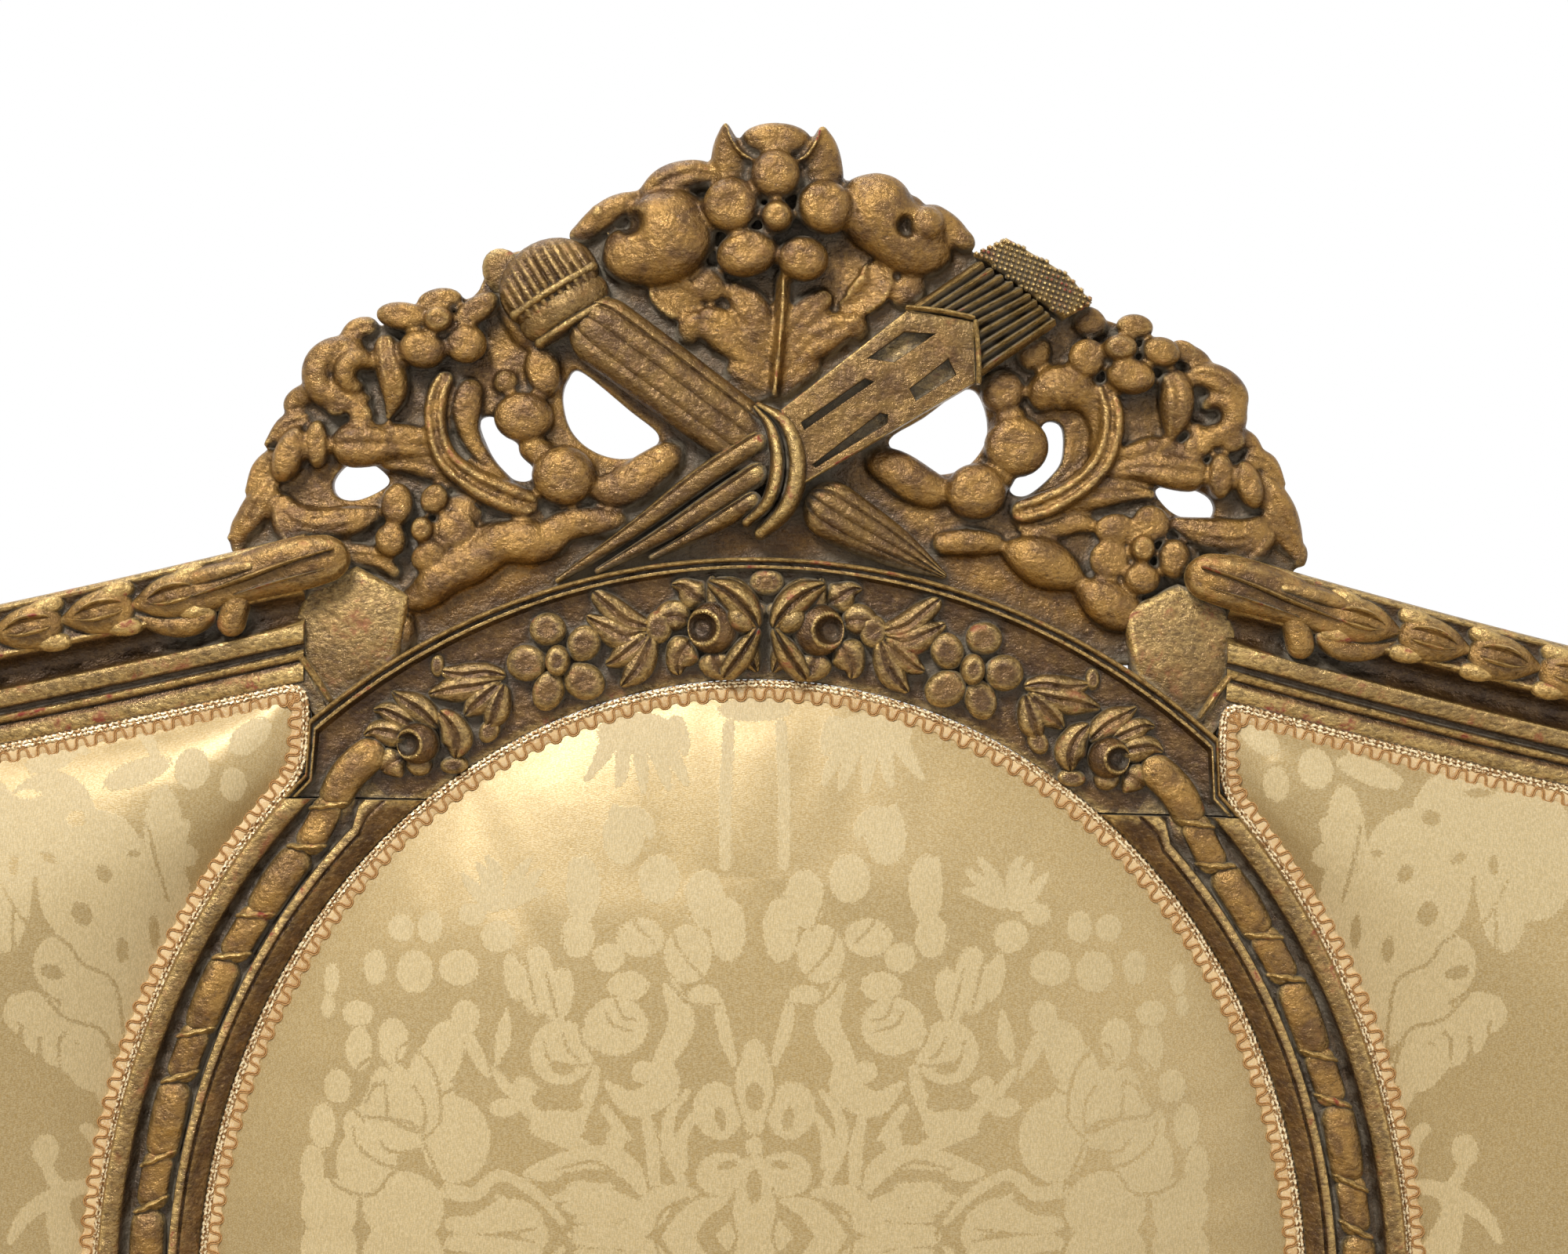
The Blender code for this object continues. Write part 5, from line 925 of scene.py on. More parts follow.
RAIL_PROFILE_SHARES = (
    (0, 0), (0, 0.74), (0.012, 0.80), (0.035, 0.835), (0.06, 0.82), (0.085, 0.79), (0.20, 0.80),
    (0.325, 0.82), (0.345, 0.85), (0.365, 0.855), (0.385, 0.83), (0.40, 0.74), (0.42, 0.64),
    (0.46, 0.56), (0.51, 0.545), (0.555, 0.575), (0.585, 0.63), (0.600, 0.68), (0.615, 0.715),
    (0.64, 0.72), (0.72, 0.705), (0.738, 0.68), (0.752, 0.61), (0.772, 0.60), (0.790, 0.66),
    (0.812, 0.69), (0.845, 0.665), (0.858, 0.625), (0.875, 0.645), (0.90, 0.66), (0.985, 0.645),
    (1, 0.62), (1, 0))
LOW_RAIL_PROFILE_SHARES = (
    (0, 0), (0, 0.60), (0.03, 0.66), (0.16, 0.68), (0.20, 0.62), (0.24, 0.50), (0.40, 0.46),
    (0.55, 0.52), (0.60, 0.66), (0.72, 0.74), (0.84, 0.72), (0.90, 0.66), (0.97, 0.66), (1, 0.60), (1, 0))


def outer_edge(phi):
    """The medallion frame's outer edge: an arch over the top, then the oval of its sides."""
    lean = math.pi / 2 - phi
    if abs(lean) <= math.pi / 2 - ARCH_FOOT_PHI:
        angle = lean / (math.pi / 2 - ARCH_FOOT_PHI) * ARCH_ANGLE
        return (ARCH_RADIUS * math.sin(angle), ARCH_CENTRE + ARCH_RADIUS * math.cos(angle))
    return ((OVAL_HALF_WIDTH + MEDALLION_BAND) * math.cos(phi),
            (OVAL_HALF_HEIGHT + MEDALLION_BAND) * math.sin(phi))


def medallion_band(start, end, count):
    """Outer and inner edges of the medallion's frame between two angles in degrees."""
    phis = np.radians(np.linspace(start, end, count))
    outer = np.array([outer_edge(phi) for phi in phis])
    inner = np.stack([OVAL_HALF_WIDTH * np.cos(phis), OVAL_HALF_HEIGHT * np.sin(phis)], axis=1)
    return outer, inner


def cut(bm, place, direction):
    """Cuts away what lies behind a plane, and closes the cut."""
    geometry = [*bm.verts, *bm.edges, *bm.faces]
    bmesh.ops.bisect_plane(bm, geom=geometry, dist=WELD, plane_co=place, plane_no=direction,
                           clear_inner=True)
    bmesh.ops.holes_fill(bm, edges=[edge for edge in bm.edges if edge.is_boundary])


def moulding(edges, profile, sign=1, cuts=()):
    """A moulded rail between its outer and inner edge. Each cut has a place and the way that stays."""
    outer, inner = (np.array(edge) * np.array([sign, 1]) for edge in edges)
    across = np.array([share for share, rise in profile])[None, :, None]
    heights = np.array([rise * FRAME_DEPTH for share, rise in profile])
    flat = outer[:, None, :] + (inner - outer)[:, None, :] * across
    points = np.concatenate([flat, np.broadcast_to(heights[None, :, None], (*flat.shape[:2], 1))], axis=2)
    rail = bmesh.new()
    lattice(rail, points, cap=True)
    for place, direction in cuts:
        cut(rail, place, direction)
    bmesh.ops.recalc_face_normals(rail, faces=rail.faces)
    return rail


def side_rail_edges(slope_steps=30, turn_steps=18):
    """Outer and inner edges of the side rail: down the slope, round the shoulder to the stile."""
    start = CREST_FOOT - SIDE_RAIL_BAND / 3
    run = SHOULDER_START - SIDE_RAIL_REACH
    ease = (math.tan(SIDE_RAIL_SLOPE) - math.tan(SIDE_RAIL_END_SLOPE)) / (2 * run)
    edge, normals = [], []
    for i in range(slope_steps + 1):
        u = start + (SHOULDER_START - start) * i / slope_steps
        away = u - SIDE_RAIL_REACH
        edge.append((u, SIDE_RAIL_TOP - math.tan(SIDE_RAIL_SLOPE) * away + ease * away * away))
        fall = math.tan(SIDE_RAIL_SLOPE) - 2 * ease * away
        normals.append(Vector((-fall, -1)).normalized())
    centre = Vector(edge[-1]) + normals[-1] * SHOULDER_RADIUS
    first = math.atan2(-normals[-1].y, -normals[-1].x)
    for i in range(1, turn_steps + 1):
        angle = first * (1 - i / turn_steps)
        outward = Vector((math.cos(angle), math.sin(angle)))
        edge.append(tuple(centre + outward * SHOULDER_RADIUS))
        normals.append(-outward)
    edge.append((edge[-1][0], edge[-1][1] - SHOULDER_DROP))
    normals.append(normals[-1])
    shares = np.minimum(np.linspace(0, 1, len(edge)) * 1.1, 1)
    band = SIDE_RAIL_BAND + (OUTER_STILE_WIDTH - SIDE_RAIL_BAND) * shares
    outer = np.array(edge)
    return outer, outer + np.array([tuple(normal) for normal in normals]) * band[:, None]


def frame_mouldings():
    """Each member of the back frame: its name and its mesh."""
    up, down = (0, 1, 0), (0, -1, 0)
    low_joint = -STILE_LOW_JOINT
    yield "medallion_arch_rail", moulding(medallion_band(38, 142, 120), ARCH_PROFILE_SHARES,
                                          cuts=[((0, STILE_TOP_JOINT + JOINT_CRACK, 0), up)])
    yield "medallion_bottom_rail", moulding(medallion_band(-32, -148, 100), STILE_PROFILE_SHARES,
                                            cuts=[((0, low_joint - JOINT_CRACK, 0), down)])
    for side, sign in SIDES:
        cuts = [((0, STILE_TOP_JOINT - JOINT_CRACK, 0), down), ((0, low_joint, 0), up)]
        yield "medallion_stile_" + side, moulding(medallion_band(56, -46, 110), STILE_PROFILE_SHARES,
                                                  sign, cuts)
        mitre = -mark(*MITRE_PX).x * sign
        rail = moulding(side_rail_edges(), RAIL_PROFILE_SHARES, sign, [((mitre, 0, 0), (sign, 0, 0))])
        mitre_block(rail, sign)
        yield "side_top_rail_" + side, rail
        yield "side_low_rail_" + side, moulding(low_rail_edges(), LOW_RAIL_PROFILE_SHARES, sign)


def low_rail_start():
    """Where the low rail's top edge meets the medallion's frame."""
    rise = LOW_RAIL_TOP / (OVAL_HALF_HEIGHT + MEDALLION_BAND)
    return (OVAL_HALF_WIDTH + MEDALLION_BAND) * math.sqrt(1 - rise ** 2)


def low_rail_edges(count=24):
    """Outer and inner edges of the low rail, cut to follow the medallion's frame."""
    start = low_rail_start() + 0.001
    end = STILE_INNER - FIT * 2
    low = np.linspace(start - LOW_RAIL_HEIGHT * 0.9, end, count)
    outer = np.stack([low, np.full(count, -LOW_RAIL_TOP - LOW_RAIL_HEIGHT)], axis=1)
    return outer, np.stack([np.linspace(start, end, count), np.full(count, -LOW_RAIL_TOP)], axis=1)


MITRE_PX = (386, 838)
MITRE_GROUND_PX = ((380, 836), (372, 790), (388, 744), (452, 722), (520, 760), (506, 838), (468, 872),
                   (410, 922), (402, 905))
MITRE_BACK = 0.004
MITRE_FACE = 0.0250
MITRE_RIDGE_FOOT = 0.0150
MITRE_RIDGE_HALF_WIDTHS = (0.0019, 0.0020, 0.0016)
MITRE_RIDGE_PX = ((380, 836), (399, 862), (421, 896))
MITRE_FILLET_PX = ((352, 870), (362, 858), (380, 838), (402, 880), (418, 898), (402, 916), (394, 906),
                   (384, 886))


def mitre_block(bm, sign):
    """The flat ground between the side rail's mitre, the crest and the arch."""
    slab(bm, marks(MITRE_GROUND_PX, -sign), MITRE_BACK, MITRE_FACE, 0.0040)
    slab(bm, marks(MITRE_FILLET_PX, -sign), MITRE_BACK, MITRE_FACE, 0.0008)
    form(bm, marks(MITRE_RIDGE_PX, -sign), MITRE_RIDGE_HALF_WIDTHS, [0.0150] * 3, MITRE_RIDGE_FOOT,
         dome, 10, 14)


def line_along(edges, share, sign, step, count):
    """Places, normals and the length of a line between two edges, a share of the way to the inner one."""
    outer, inner = edges
    line = (outer + (inner - outer) * share) * np.array([sign, 1])
    return along_line([Vector(point) for point in line[::step]], np.linspace(0, 1, count))


# Ribbon twist: its two ends in degrees round the medallion, how far across the stile it runs, its pitch,
# and for each turn the wide band, the narrow one and the hems between them
TWIST_START = 51.5
TWIST_END = -41.5
TWIST_ACROSS = 0.49
TWIST_PITCH = 0.0655
HEM_SLANT = 0.0080
TWIST_FOOT = 0.0270
TWIST_SAMPLES = 400
WIDE_BAND_WIDTHS = (0.0078, 0.0086, 0.0086, 0.0078)
WIDE_BAND_RISES = (0.0084, 0.0098, 0.0100, 0.0086)
NARROW_BAND_WIDTHS = (0.0080, 0.0074, 0.0074, 0.0080)
NARROW_BAND_RISE = 0.0088
HEM_WIDTHS = (0.0010, 0.0018, 0.0018, 0.0010)
HEM_RISES = (0.0088, 0.0108, 0.0108, 0.0088)
HEM_FOOT = 0.0268


def ribbon_twist(bm, sign):
    """The ribbon wound round the stile's middle bead."""
    last = TWIST_SAMPLES - 1
    edges = medallion_band(TWIST_START, TWIST_END, 60)
    spots, normals, length = line_along(edges, TWIST_ACROSS, sign, 3, TWIST_SAMPLES)
    count = round(length / TWIST_PITCH)

    def stretch(start, end, shift=0.0):
        """Part of the bead's line, in turns of the ribbon, slanted by a shift to each side."""
        chosen = np.linspace((start + 0.001) / count, end / count, 7) * last
        rows = np.clip(chosen, 0, last).astype(int)
        moved = spots[rows] + normals[rows] * (np.linspace(-shift, shift, 7) * sign)[:, None]
        return [Vector(point) for point in moved]

    for i in range(count):
        form(bm, stretch(i + 0.01, i + 0.68, -0.0010), WIDE_BAND_WIDTHS, WIDE_BAND_RISES, TWIST_FOOT,
             dome, 24, 26)
        form(bm, stretch(i + 0.58, i + 1.06), NARROW_BAND_WIDTHS, [NARROW_BAND_RISE] * 4, TWIST_FOOT,
             incised(-0.1, 0.1), 40, 14)
        for start, end in ((0.55, 0.73), (0.91, 1.09)):
            if i + end < count:
                hem = stretch(i + start, i + end, HEM_SLANT)
                form(bm, hem, HEM_WIDTHS, HEM_RISES, HEM_FOOT, dome, 10, 16)


# Husks: how far across the rail their chain runs. Each has a bell, a pocket in it and two wings
HUSK_ACROSS = 0.215
HUSK_PITCH = 0.0344
HUSK_START = 0.098
HUSK_COUNT = 26
HUSK_FOOT = 0.0315
HUSK_SAMPLES = 900
BELL_WIDTHS = (0.0082, 0.0106, 0.0086, 0.0016)
BELL_RISES = (0.006, 0.0095, 0.0090, 0.005)
POCKET_WIDTHS = (0.0034, 0.0050, 0.0046, 0.0010)
POCKET_RISES = (0.0085, 0.0124, 0.0122, 0.0080)
WING_WIDTHS = (0.0034, 0.0048, 0.0020)
WING_RISES = (0.006, 0.0082, 0.006)
WING_TIP = 0.0050
WING_FOOT = 0.0312
OUTER_WING = 0.0098
INNER_WING = 0.0088


def husk_chain(bm, sign):
    """Bell-shaped husks strung along the side rail, opening towards the crest."""
    last = HUSK_SAMPLES - 1
    spots, normals, length = line_along(side_rail_edges(), HUSK_ACROSS, sign, 2, HUSK_SAMPLES)
    for i in range(HUSK_COUNT):
        start = HUSK_START + HUSK_PITCH * i
        if start + HUSK_PITCH > length:
            break

        def place(along, aside):
            """A place on this husk: a share of the pitch along the chain, and metres aside."""
            row = min(int((start + along * HUSK_PITCH) / length * last), last)
            return Vector(spots[row] + normals[row] * aside)

        form(bm, [place(0.02, 0), place(0.40, 0), place(1.08, 0)], BELL_WIDTHS, BELL_RISES, HUSK_FOOT,
             dome, 24, 20)
        form(bm, [place(0.16, 0.0006 * sign), place(0.46, 0.0012 * sign), place(0.86, 0)],
             POCKET_WIDTHS, POCKET_RISES, HUSK_FOOT, hollow, 20, 16)
        for side, reach in ((-sign, OUTER_WING), (sign, INNER_WING)):
            wing = [place(-0.02, side * reach), place(0.24, side * reach * 0.9),
                    place(0.60, side * WING_TIP)]
            form(bm, wing, WING_WIDTHS, WING_RISES, WING_FOOT, dome, 12, 12)


ACANTHUS_FORMS_PX = (
    (((446, 708), (402, 716), (352, 727), (300, 742), (240, 762), (160, 776)),
     (26, 34, 32, 28, 22, 3), (12, 15, 14, 13, 12, 8), 27, fluted(3, 0.16)),
    (((330, 722), (286, 730), (240, 742), (206, 750)), (8, 13, 12, 4), (14, 15, 13, 9), 27, dome),
    (((430, 700), (372, 718), (306, 742), (236, 766)), (4, 8, 8, 2), (16, 18.5, 17, 13), 27, ridged),
    (((420, 726), (360, 742), (300, 760)), (4, 7, 3), (14, 16, 13), 27, ridged),
    (((312, 746), (300, 778), (292, 812)), (15, 18, 17), (10, 11, 10), 28, dome),
    (((278, 778), (244, 797), (204, 796), (168, 784)), (10, 15, 13, 3), (9, 10, 9, 6), 28, dome),
    (((262, 782), (250, 796)), (11, 11), (10, 9), 28, dome),
    (((236, 746), (208, 752), (180, 764)), (8, 11, 3), (8, 8, 6), 28, creased))


def side_acanthus(bm, sign):
    """The leaf at the side rail's inner end, from under the crest."""
    carve(bm, ACANTHUS_FORMS_PX, -sign, 1, 0, 24, (10, 6))


GARLAND_BOSSES_PX = (
    (745, 821, 20, 23, -30, 9, 28), (745, 869, 26, 22, -25, 9, 28), (699, 803, 22, 20, 0, 9, 28),
    (700, 881, 19, 25, -20, 9, 28), (672, 846, 24, 22, 0, 9, 28), (712, 843, 15, 19, 0, 14, 28),
    (840, 800, 17, 20, 0, 8, 28), (974, 743, 17, 16, 0, 9, 27), (966, 778, 12, 9, 0, 6, 28),
    (579, 976, 17, 11, 5, 6, 27), (558, 849, 9, 14, 0, 6, 27), (624, 932, 16, 12, 60, 6, 27))
GARLAND_FORMS_PX = (
    # Leaves from the stalk to the flower
    (((830, 800), (800, 792), (776, 772), (756, 754)), (6, 12, 11, 6), (7, 8, 8, 6), 28, creased),
    (((826, 806), (800, 812), (772, 800), (748, 786)), (6, 14, 12, 3), (7, 8, 8, 6), 28, creased),
    (((828, 808), (806, 828), (786, 842), (772, 848)), (6, 13, 11, 3), (7, 8, 8, 6), 28, creased),
    (((832, 810), (820, 842), (808, 860), (792, 876)), (6, 12, 12, 3), (7, 8, 8, 6), 28, creased),
    # Sepals and leaves round the bud
    (((900, 768), (884, 758), (870, 748), (856, 746)), (12, 15, 10, 2), (8, 9, 8, 6), 27, creased),
    (((930, 780), (918, 762), (910, 746), (908, 734)), (10, 14, 10, 2), (8, 9, 8, 6), 27, creased),
    (((958, 800), (950, 770), (932, 748), (912, 738)), (8, 13, 11, 2), (8, 10, 9, 6), 27, creased),
    (((880, 792), (862, 786), (846, 790), (832, 798)), (14, 15, 12, 3), (8, 9, 8, 6), 27, creased),
    (((884, 816), (872, 830), (864, 848), (866, 862)), (12, 16, 12, 3), (8, 9, 8, 6), 27, creased),
    (((910, 828), (914, 846), (922, 858), (930, 862)), (12, 16, 12, 3), (8, 9, 8, 6), 27, creased),
    (((934, 812), (950, 830), (960, 846), (966, 858)), (12, 15, 11, 2), (8, 9, 8, 6), 27, creased),
    (((942, 786), (955, 800), (968, 806)), (8, 11, 4), (8, 9, 7), 28, dome),
    # The bud's wrapped petals
    (((903, 742), (932, 758), (956, 782), (968, 802)), (4, 13, 14, 5), (12, 16, 16, 13), 27, creased),
    (((968, 800), (948, 832), (922, 866)), (5, 12, 8), (13, 14, 9), 27, creased),
    (((930, 776), (950, 796), (960, 806)), (8, 12, 6), (15, 16, 13), 27, dome),
    # Leaves of the end cluster
    (((646, 862), (620, 858), (590, 862), (562, 856)), (5, 9, 11, 4), (6, 7, 7, 5), 27, creased),
    (((640, 868), (606, 876), (576, 880), (546, 886)), (5, 11, 12, 3), (6, 8, 8, 5), 27, creased),
    (((640, 870), (620, 888), (604, 902), (592, 914)), (5, 12, 12, 3), (6, 8, 8, 5), 27, creased),
    (((644, 872), (636, 896), (630, 914), (622, 930)), (5, 11, 12, 4), (6, 8, 8, 5), 27, creased),
    # End bud with its leaves
    (((560, 928), (540, 908), (518, 894), (500, 882)), (8, 12, 11, 2), (8, 10, 9, 6), 27, creased),
    (((532, 926), (508, 914), (490, 906), (476, 906)), (10, 12, 10, 2), (8, 9, 8, 6), 27, creased),
    (((520, 940), (496, 934), (478, 932), (464, 938)), (10, 13, 10, 2), (8, 9, 8, 6), 27, creased),
    (((560, 906), (576, 924), (584, 946), (582, 968)), (5, 12, 14, 4), (8, 10, 10, 7), 27, creased),
    (((516, 966), (500, 974), (486, 984)), (12, 15, 6), (7, 8, 6), 27, creased),
    (((552, 974), (534, 976), (518, 970)), (6, 10, 5), (6, 8, 6), 27, dome))
GARLAND_BUDS_PX = ((911, 801, 34, 896, 801, 16), (534, 948, 27, 523, 949, 13))


def arch_garland(bm):
    """Flowers, buds and leaves in low relief round the arch, the same on both halves."""
    for sign in (1, -1):
        for x, y, half_length, half_width, turn, rise, foot in GARLAND_BOSSES_PX:
            boss(bm, marks([(x, y)], sign)[0], half_length * PIXEL * GARLAND_BOSS_FULLNESS,
                 half_width * PIXEL * GARLAND_BOSS_FULLNESS, math.radians(turn) * sign,
                 rise / 1000 + LIFT, foot / 1000 - LIFT, dish=0.12)
        carve(bm, GARLAND_FORMS_PX, sign, GARLAND_LEAF_FULLNESS, LIFT, 20, (8, 5))
        for x, y, radius, pit_x, pit_y, pit_radius in GARLAND_BUDS_PX:
            centre, pit = marks([(x, y), (pit_x, pit_y)], sign)
            drilled_ball(bm, centre, radius * PIXEL, 0.0135, 0.028, pit, pit_radius * PIXEL)


def drilled_ball(bm, centre, radius, rise, foot, pit, pit_radius):
    """A bud with a drilled eye."""
    ball, unit, ring = unit_ball(48, 32)
    spots = np.array(centre) + unit[:, :2] * radius
    swell = np.sqrt(np.maximum(1 - ring ** 2, 0))
    top = rise * (WALL_SHARE + (1 - WALL_SHARE) * swell)
    away = np.hypot(spots[:, 0] - pit[0], spots[:, 1] - pit[1]) / pit_radius
    top = top - 0.010 * np.clip(1.35 - away, 0, 0.8) + 0.0012 * np.exp(-((away - 1.25) / 0.2) ** 2)
    place_ball(bm, ball, spots, np.where(unit[:, 2] > -WELD, foot + np.maximum(top, 0.0005), foot))


def build_frame(sofa):
    carved = gilding("gilding_carving", sofa)
    darker = gilding("gilding_arch", sofa, ARCH_LEAF)
    for name, bm in frame_mouldings():
        make_piece("looks_" + name, bm, darker, [name])
    bm = bmesh.new()
    arch_garland(bm)
    make_piece("arch_garland", bm, darker)
    for side, sign in SIDES:
        bm = bmesh.new()
        ribbon_twist(bm, sign)
        make_piece("ribbon_twist_" + side, bm, carved)
        bm = bmesh.new()
        husk_chain(bm, sign)
        side_acanthus(bm, sign)
        make_piece("rail_carving_" + side, bm, carved)


# Pads and their damask

DAMASK_BLOBS_PX = (
    # x, y, half width, half height, turn in degrees; the pattern is folded about its upright axis
    (571, 1336, 26, 42, 15), (506, 1322, 20, 28, 0), (462, 1334, 17, 28, 0), (435, 1382, 18, 22, 0),
    (416, 1432, 17, 29, 0), (588, 1443, 44, 53, 0), (560, 1400, 30, 40, 0), (522, 1530, 52, 46, 0),
    (426, 1534, 38, 38, 0), (403, 1486, 16, 30, 0), (474, 1476, 40, 46, 0), (506, 1392, 32, 42, 0),
    (520, 1436, 40, 22, 0), (463, 1428, 20, 22, 0), (545, 1370, 20, 44, 10),
    (964, 1375, 25, 60, 0), (917, 1404, 30, 36, -12), (925, 1483, 34, 28, 0), (962, 1520, 26, 62, 0),
    (964, 1448, 12, 12, 0), (722, 1333, 40, 40, 0), (717, 1424, 36, 20, 0), (790, 1300, 40, 36, 0),
    (824, 1356, 15, 14, 0), (650, 1402, 20, 12, 0), (700, 1484, 22, 9, 0), (735, 1445, 24, 9, 10),
    (758, 1500, 30, 10, 0), (745, 1525, 24, 9, 5), (790, 1440, 12, 16, 0),
    (955, 905, 38, 15, 0), (812, 935, 50, 26, 0), (797, 1064, 26, 36, 0), (747, 1130, 22, 42, 0),
    (843, 1117, 26, 30, 0), (900, 1142, 26, 36, 0), (514, 1182, 17, 17, 0), (552, 1180, 16, 20, 0),
    (606, 1163, 18, 14, 0), (481, 1232, 15, 22, 0), (424, 1248, 10, 20, 0), (420, 1282, 9, 14, 0),
    (533, 1236, 24, 26, 0), (690, 1244, 22, 42, 0), (640, 1190, 22, 20, 0), (718, 1262, 18, 34, 10),
    (740, 1190, 22, 26, 0), (590, 1230, 26, 22, 0), (600, 1290, 18, 20, 0), (460, 1290, 20, 16, 0),
    (820, 1190, 30, 24, 0), (880, 1210, 30, 36, 0), (930, 1180, 22, 40, 0), (900, 1262, 20, 14, 0),
    (780, 1215, 20, 18, 0), (805, 1250, 26, 18, 0), (500, 1420, 36, 50, 0), (660, 1240, 12, 30, -12))
DAMASK_STROKES_PX = (
    (((795, 1045), (788, 1034), (783, 1024)), (16, 9, 1)),
    (((812, 1040), (828, 1052), (832, 1064)), (14, 10, 4)),
    (((742, 1110), (736, 1100), (733, 1092)), (14, 8, 2)),
    (((776, 950), (764, 972), (750, 992)), (12, 8, 4)),
    (((796, 955), (794, 985), (790, 1000)), (10, 8, 4)),
    (((816, 955), (820, 985), (822, 1008)), (10, 8, 4)),
    (((836, 955), (848, 985), (854, 1004)), (10, 8, 4)),
    (((850, 950), (868, 980), (876, 998)), (10, 8, 4)),
    (((862, 925), (870, 945), (874, 960)), (12, 10, 4)),
    (((930, 925), (926, 1010), (926, 1100)), (7, 8, 7)),
    (((626, 1150), (606, 1130), (592, 1113)), (9, 8, 3)),
    (((632, 1150), (622, 1118), (612, 1100)), (9, 8, 3)),
    (((636, 1150), (634, 1110), (624, 1092)), (9, 9, 3)),
    (((650, 1150), (660, 1120), (678, 1094)), (7, 9, 4)),
    (((655, 1145), (676, 1124), (694, 1108)), (7, 8, 3)),
    (((658, 1150), (684, 1136), (700, 1134)), (6, 7, 3)),
    (((858, 1250), (872, 1296), (850, 1342), (850, 1376), (812, 1396), (778, 1370)),
     (10, 17, 14, 19, 16, 4)),
    (((652, 1282), (648, 1316), (640, 1346)), (3, 10, 3)),
    (((600, 1310), (614, 1336), (628, 1362)), (7, 9, 4)),
    (((636, 1355), (650, 1374), (668, 1392)), (4, 7, 6)),
    (((918, 1270), (925, 1304), (938, 1346)), (6, 9, 5)),
    (((684, 1378), (672, 1372), (676, 1398), (700, 1420)), (8, 9, 10, 8)),
    (((765, 1352), (758, 1380), (745, 1410)), (5, 9, 10)),
    (((776, 1402), (790, 1420), (808, 1440)), (6, 7, 3)),
    (((880, 1380), (858, 1410), (856, 1450), (874, 1494)), (4, 7, 9, 6)),
    (((884, 1412), (872, 1440), (872, 1470)), (5, 8, 9)),
    (((828, 1412), (836, 1450), (838, 1492)), (6, 9, 7)),
    (((678, 1482), (720, 1470), (775, 1462), (808, 1478), (822, 1502)), (4, 12, 15, 14, 7)),
    (((712, 1514), (760, 1508), (800, 1522), (818, 1522)), (4, 12, 13, 4)),
    (((742, 1540), (780, 1534), (812, 1530)), (4, 10, 5)),
    (((888, 1506), (850, 1512), (828, 1536), (796, 1562)), (5, 16, 20, 6)),
    (((926, 1516), (894, 1528), (868, 1560), (850, 1600)), (5, 14, 18, 14)),
    (((940, 1540), (924, 1566), (918, 1600)), (6, 11, 10)),
    (((800, 1552), (770, 1562), (742, 1560)), (9, 17, 12)),
    (((578, 1506), (612, 1510), (644, 1486), (690, 1508), (724, 1544)), (10, 9, 7, 7, 4)),
    (((584, 1548), (620, 1550), (660, 1536), (698, 1556)), (9, 16, 22, 8)),
    (((660, 1530), (648, 1518), (640, 1510)), (10, 6, 2)),
    (((690, 1540), (676, 1524), (668, 1520)), (9, 6, 2)),
    (((552, 1596), (600, 1574), (660, 1574), (690, 1578)), (8, 12, 12, 4)),
    (((770, 1580), (800, 1590), (820, 1610)), (10, 18, 20)))
DAMASK_HOLES_PX = (
    (962, 1387, 11, 18, 0), (921, 1414, 7, 15, -12), (930, 1471, 12, 5, -15), (962, 1498, 8, 21, 0),
    (722, 1352, 15, 8, 10), (702, 1380, 10, 10, 0), (735, 1396, 14, 9, 0))
DAMASK_VEINS_PX = (
    ((510, 1350), (514, 1330), (530, 1328), (556, 1352), (568, 1388), (568, 1420), (548, 1444)),
    ((496, 1372), (500, 1400), (504, 1420), (544, 1434), (548, 1402), (534, 1378)),
    ((472, 1400), (484, 1378), (500, 1378)), ((464, 1418), (500, 1420), (530, 1424), (548, 1438)),
    ((456, 1428), (462, 1454), (490, 1474), (516, 1480), (540, 1474)),
    ((490, 1446), (504, 1460), (540, 1460)),
    ((418, 1460), (424, 1494), (448, 1512), (484, 1514), (504, 1490), (520, 1478)),
    ((546, 1444), (562, 1478), (576, 1506)), ((464, 1522), (464, 1560)),
    ((428, 1402), (454, 1408), (470, 1424)), ((452, 1386), (462, 1356), (484, 1344), (500, 1352)),
    ((484, 1310), (490, 1346), (506, 1360)), ((534, 1302), (530, 1326)), ((568, 1388), (590, 1378)),
    ((416, 1560), (418, 1584)), ((700, 1318), (706, 1342), (726, 1350), (756, 1348)),
    ((722, 1308), (730, 1330), (744, 1342)), ((742, 1296), (750, 1322), (768, 1340)),
    ((776, 1280), (786, 1298), (812, 1306)), ((788, 1262), (798, 1288), (816, 1292)),
    ((826, 1252), (838, 1270), (838, 1282)), ((808, 1356), (802, 1366)),
    ((948, 1330), (936, 1372), (950, 1420)), ((940, 1500), (934, 1530), (944, 1570)),
    ((716, 1478), (760, 1468), (790, 1480)), ((745, 1490), (780, 1492)),
    ((838, 1560), (848, 1530), (880, 1512)), ((890, 1600), (896, 1560), (922, 1530)),
    ((734, 1550), (744, 1600)), ((690, 1552), (640, 1560), (590, 1562)),
    ((720, 1180), (728, 1220), (750, 1224)), ((806, 1130), (812, 1170), (836, 1196)),
    ((858, 1150), (866, 1200), (900, 1240)), ((660, 1170), (672, 1210), (690, 1280)),
    ((770, 1100), (776, 1150), (800, 1180)), ((872, 1100), (874, 1140), (890, 1180)),
    ((700, 1230), (716, 1290)), ((838, 1214), (860, 1250), (884, 1272), (920, 1272)))

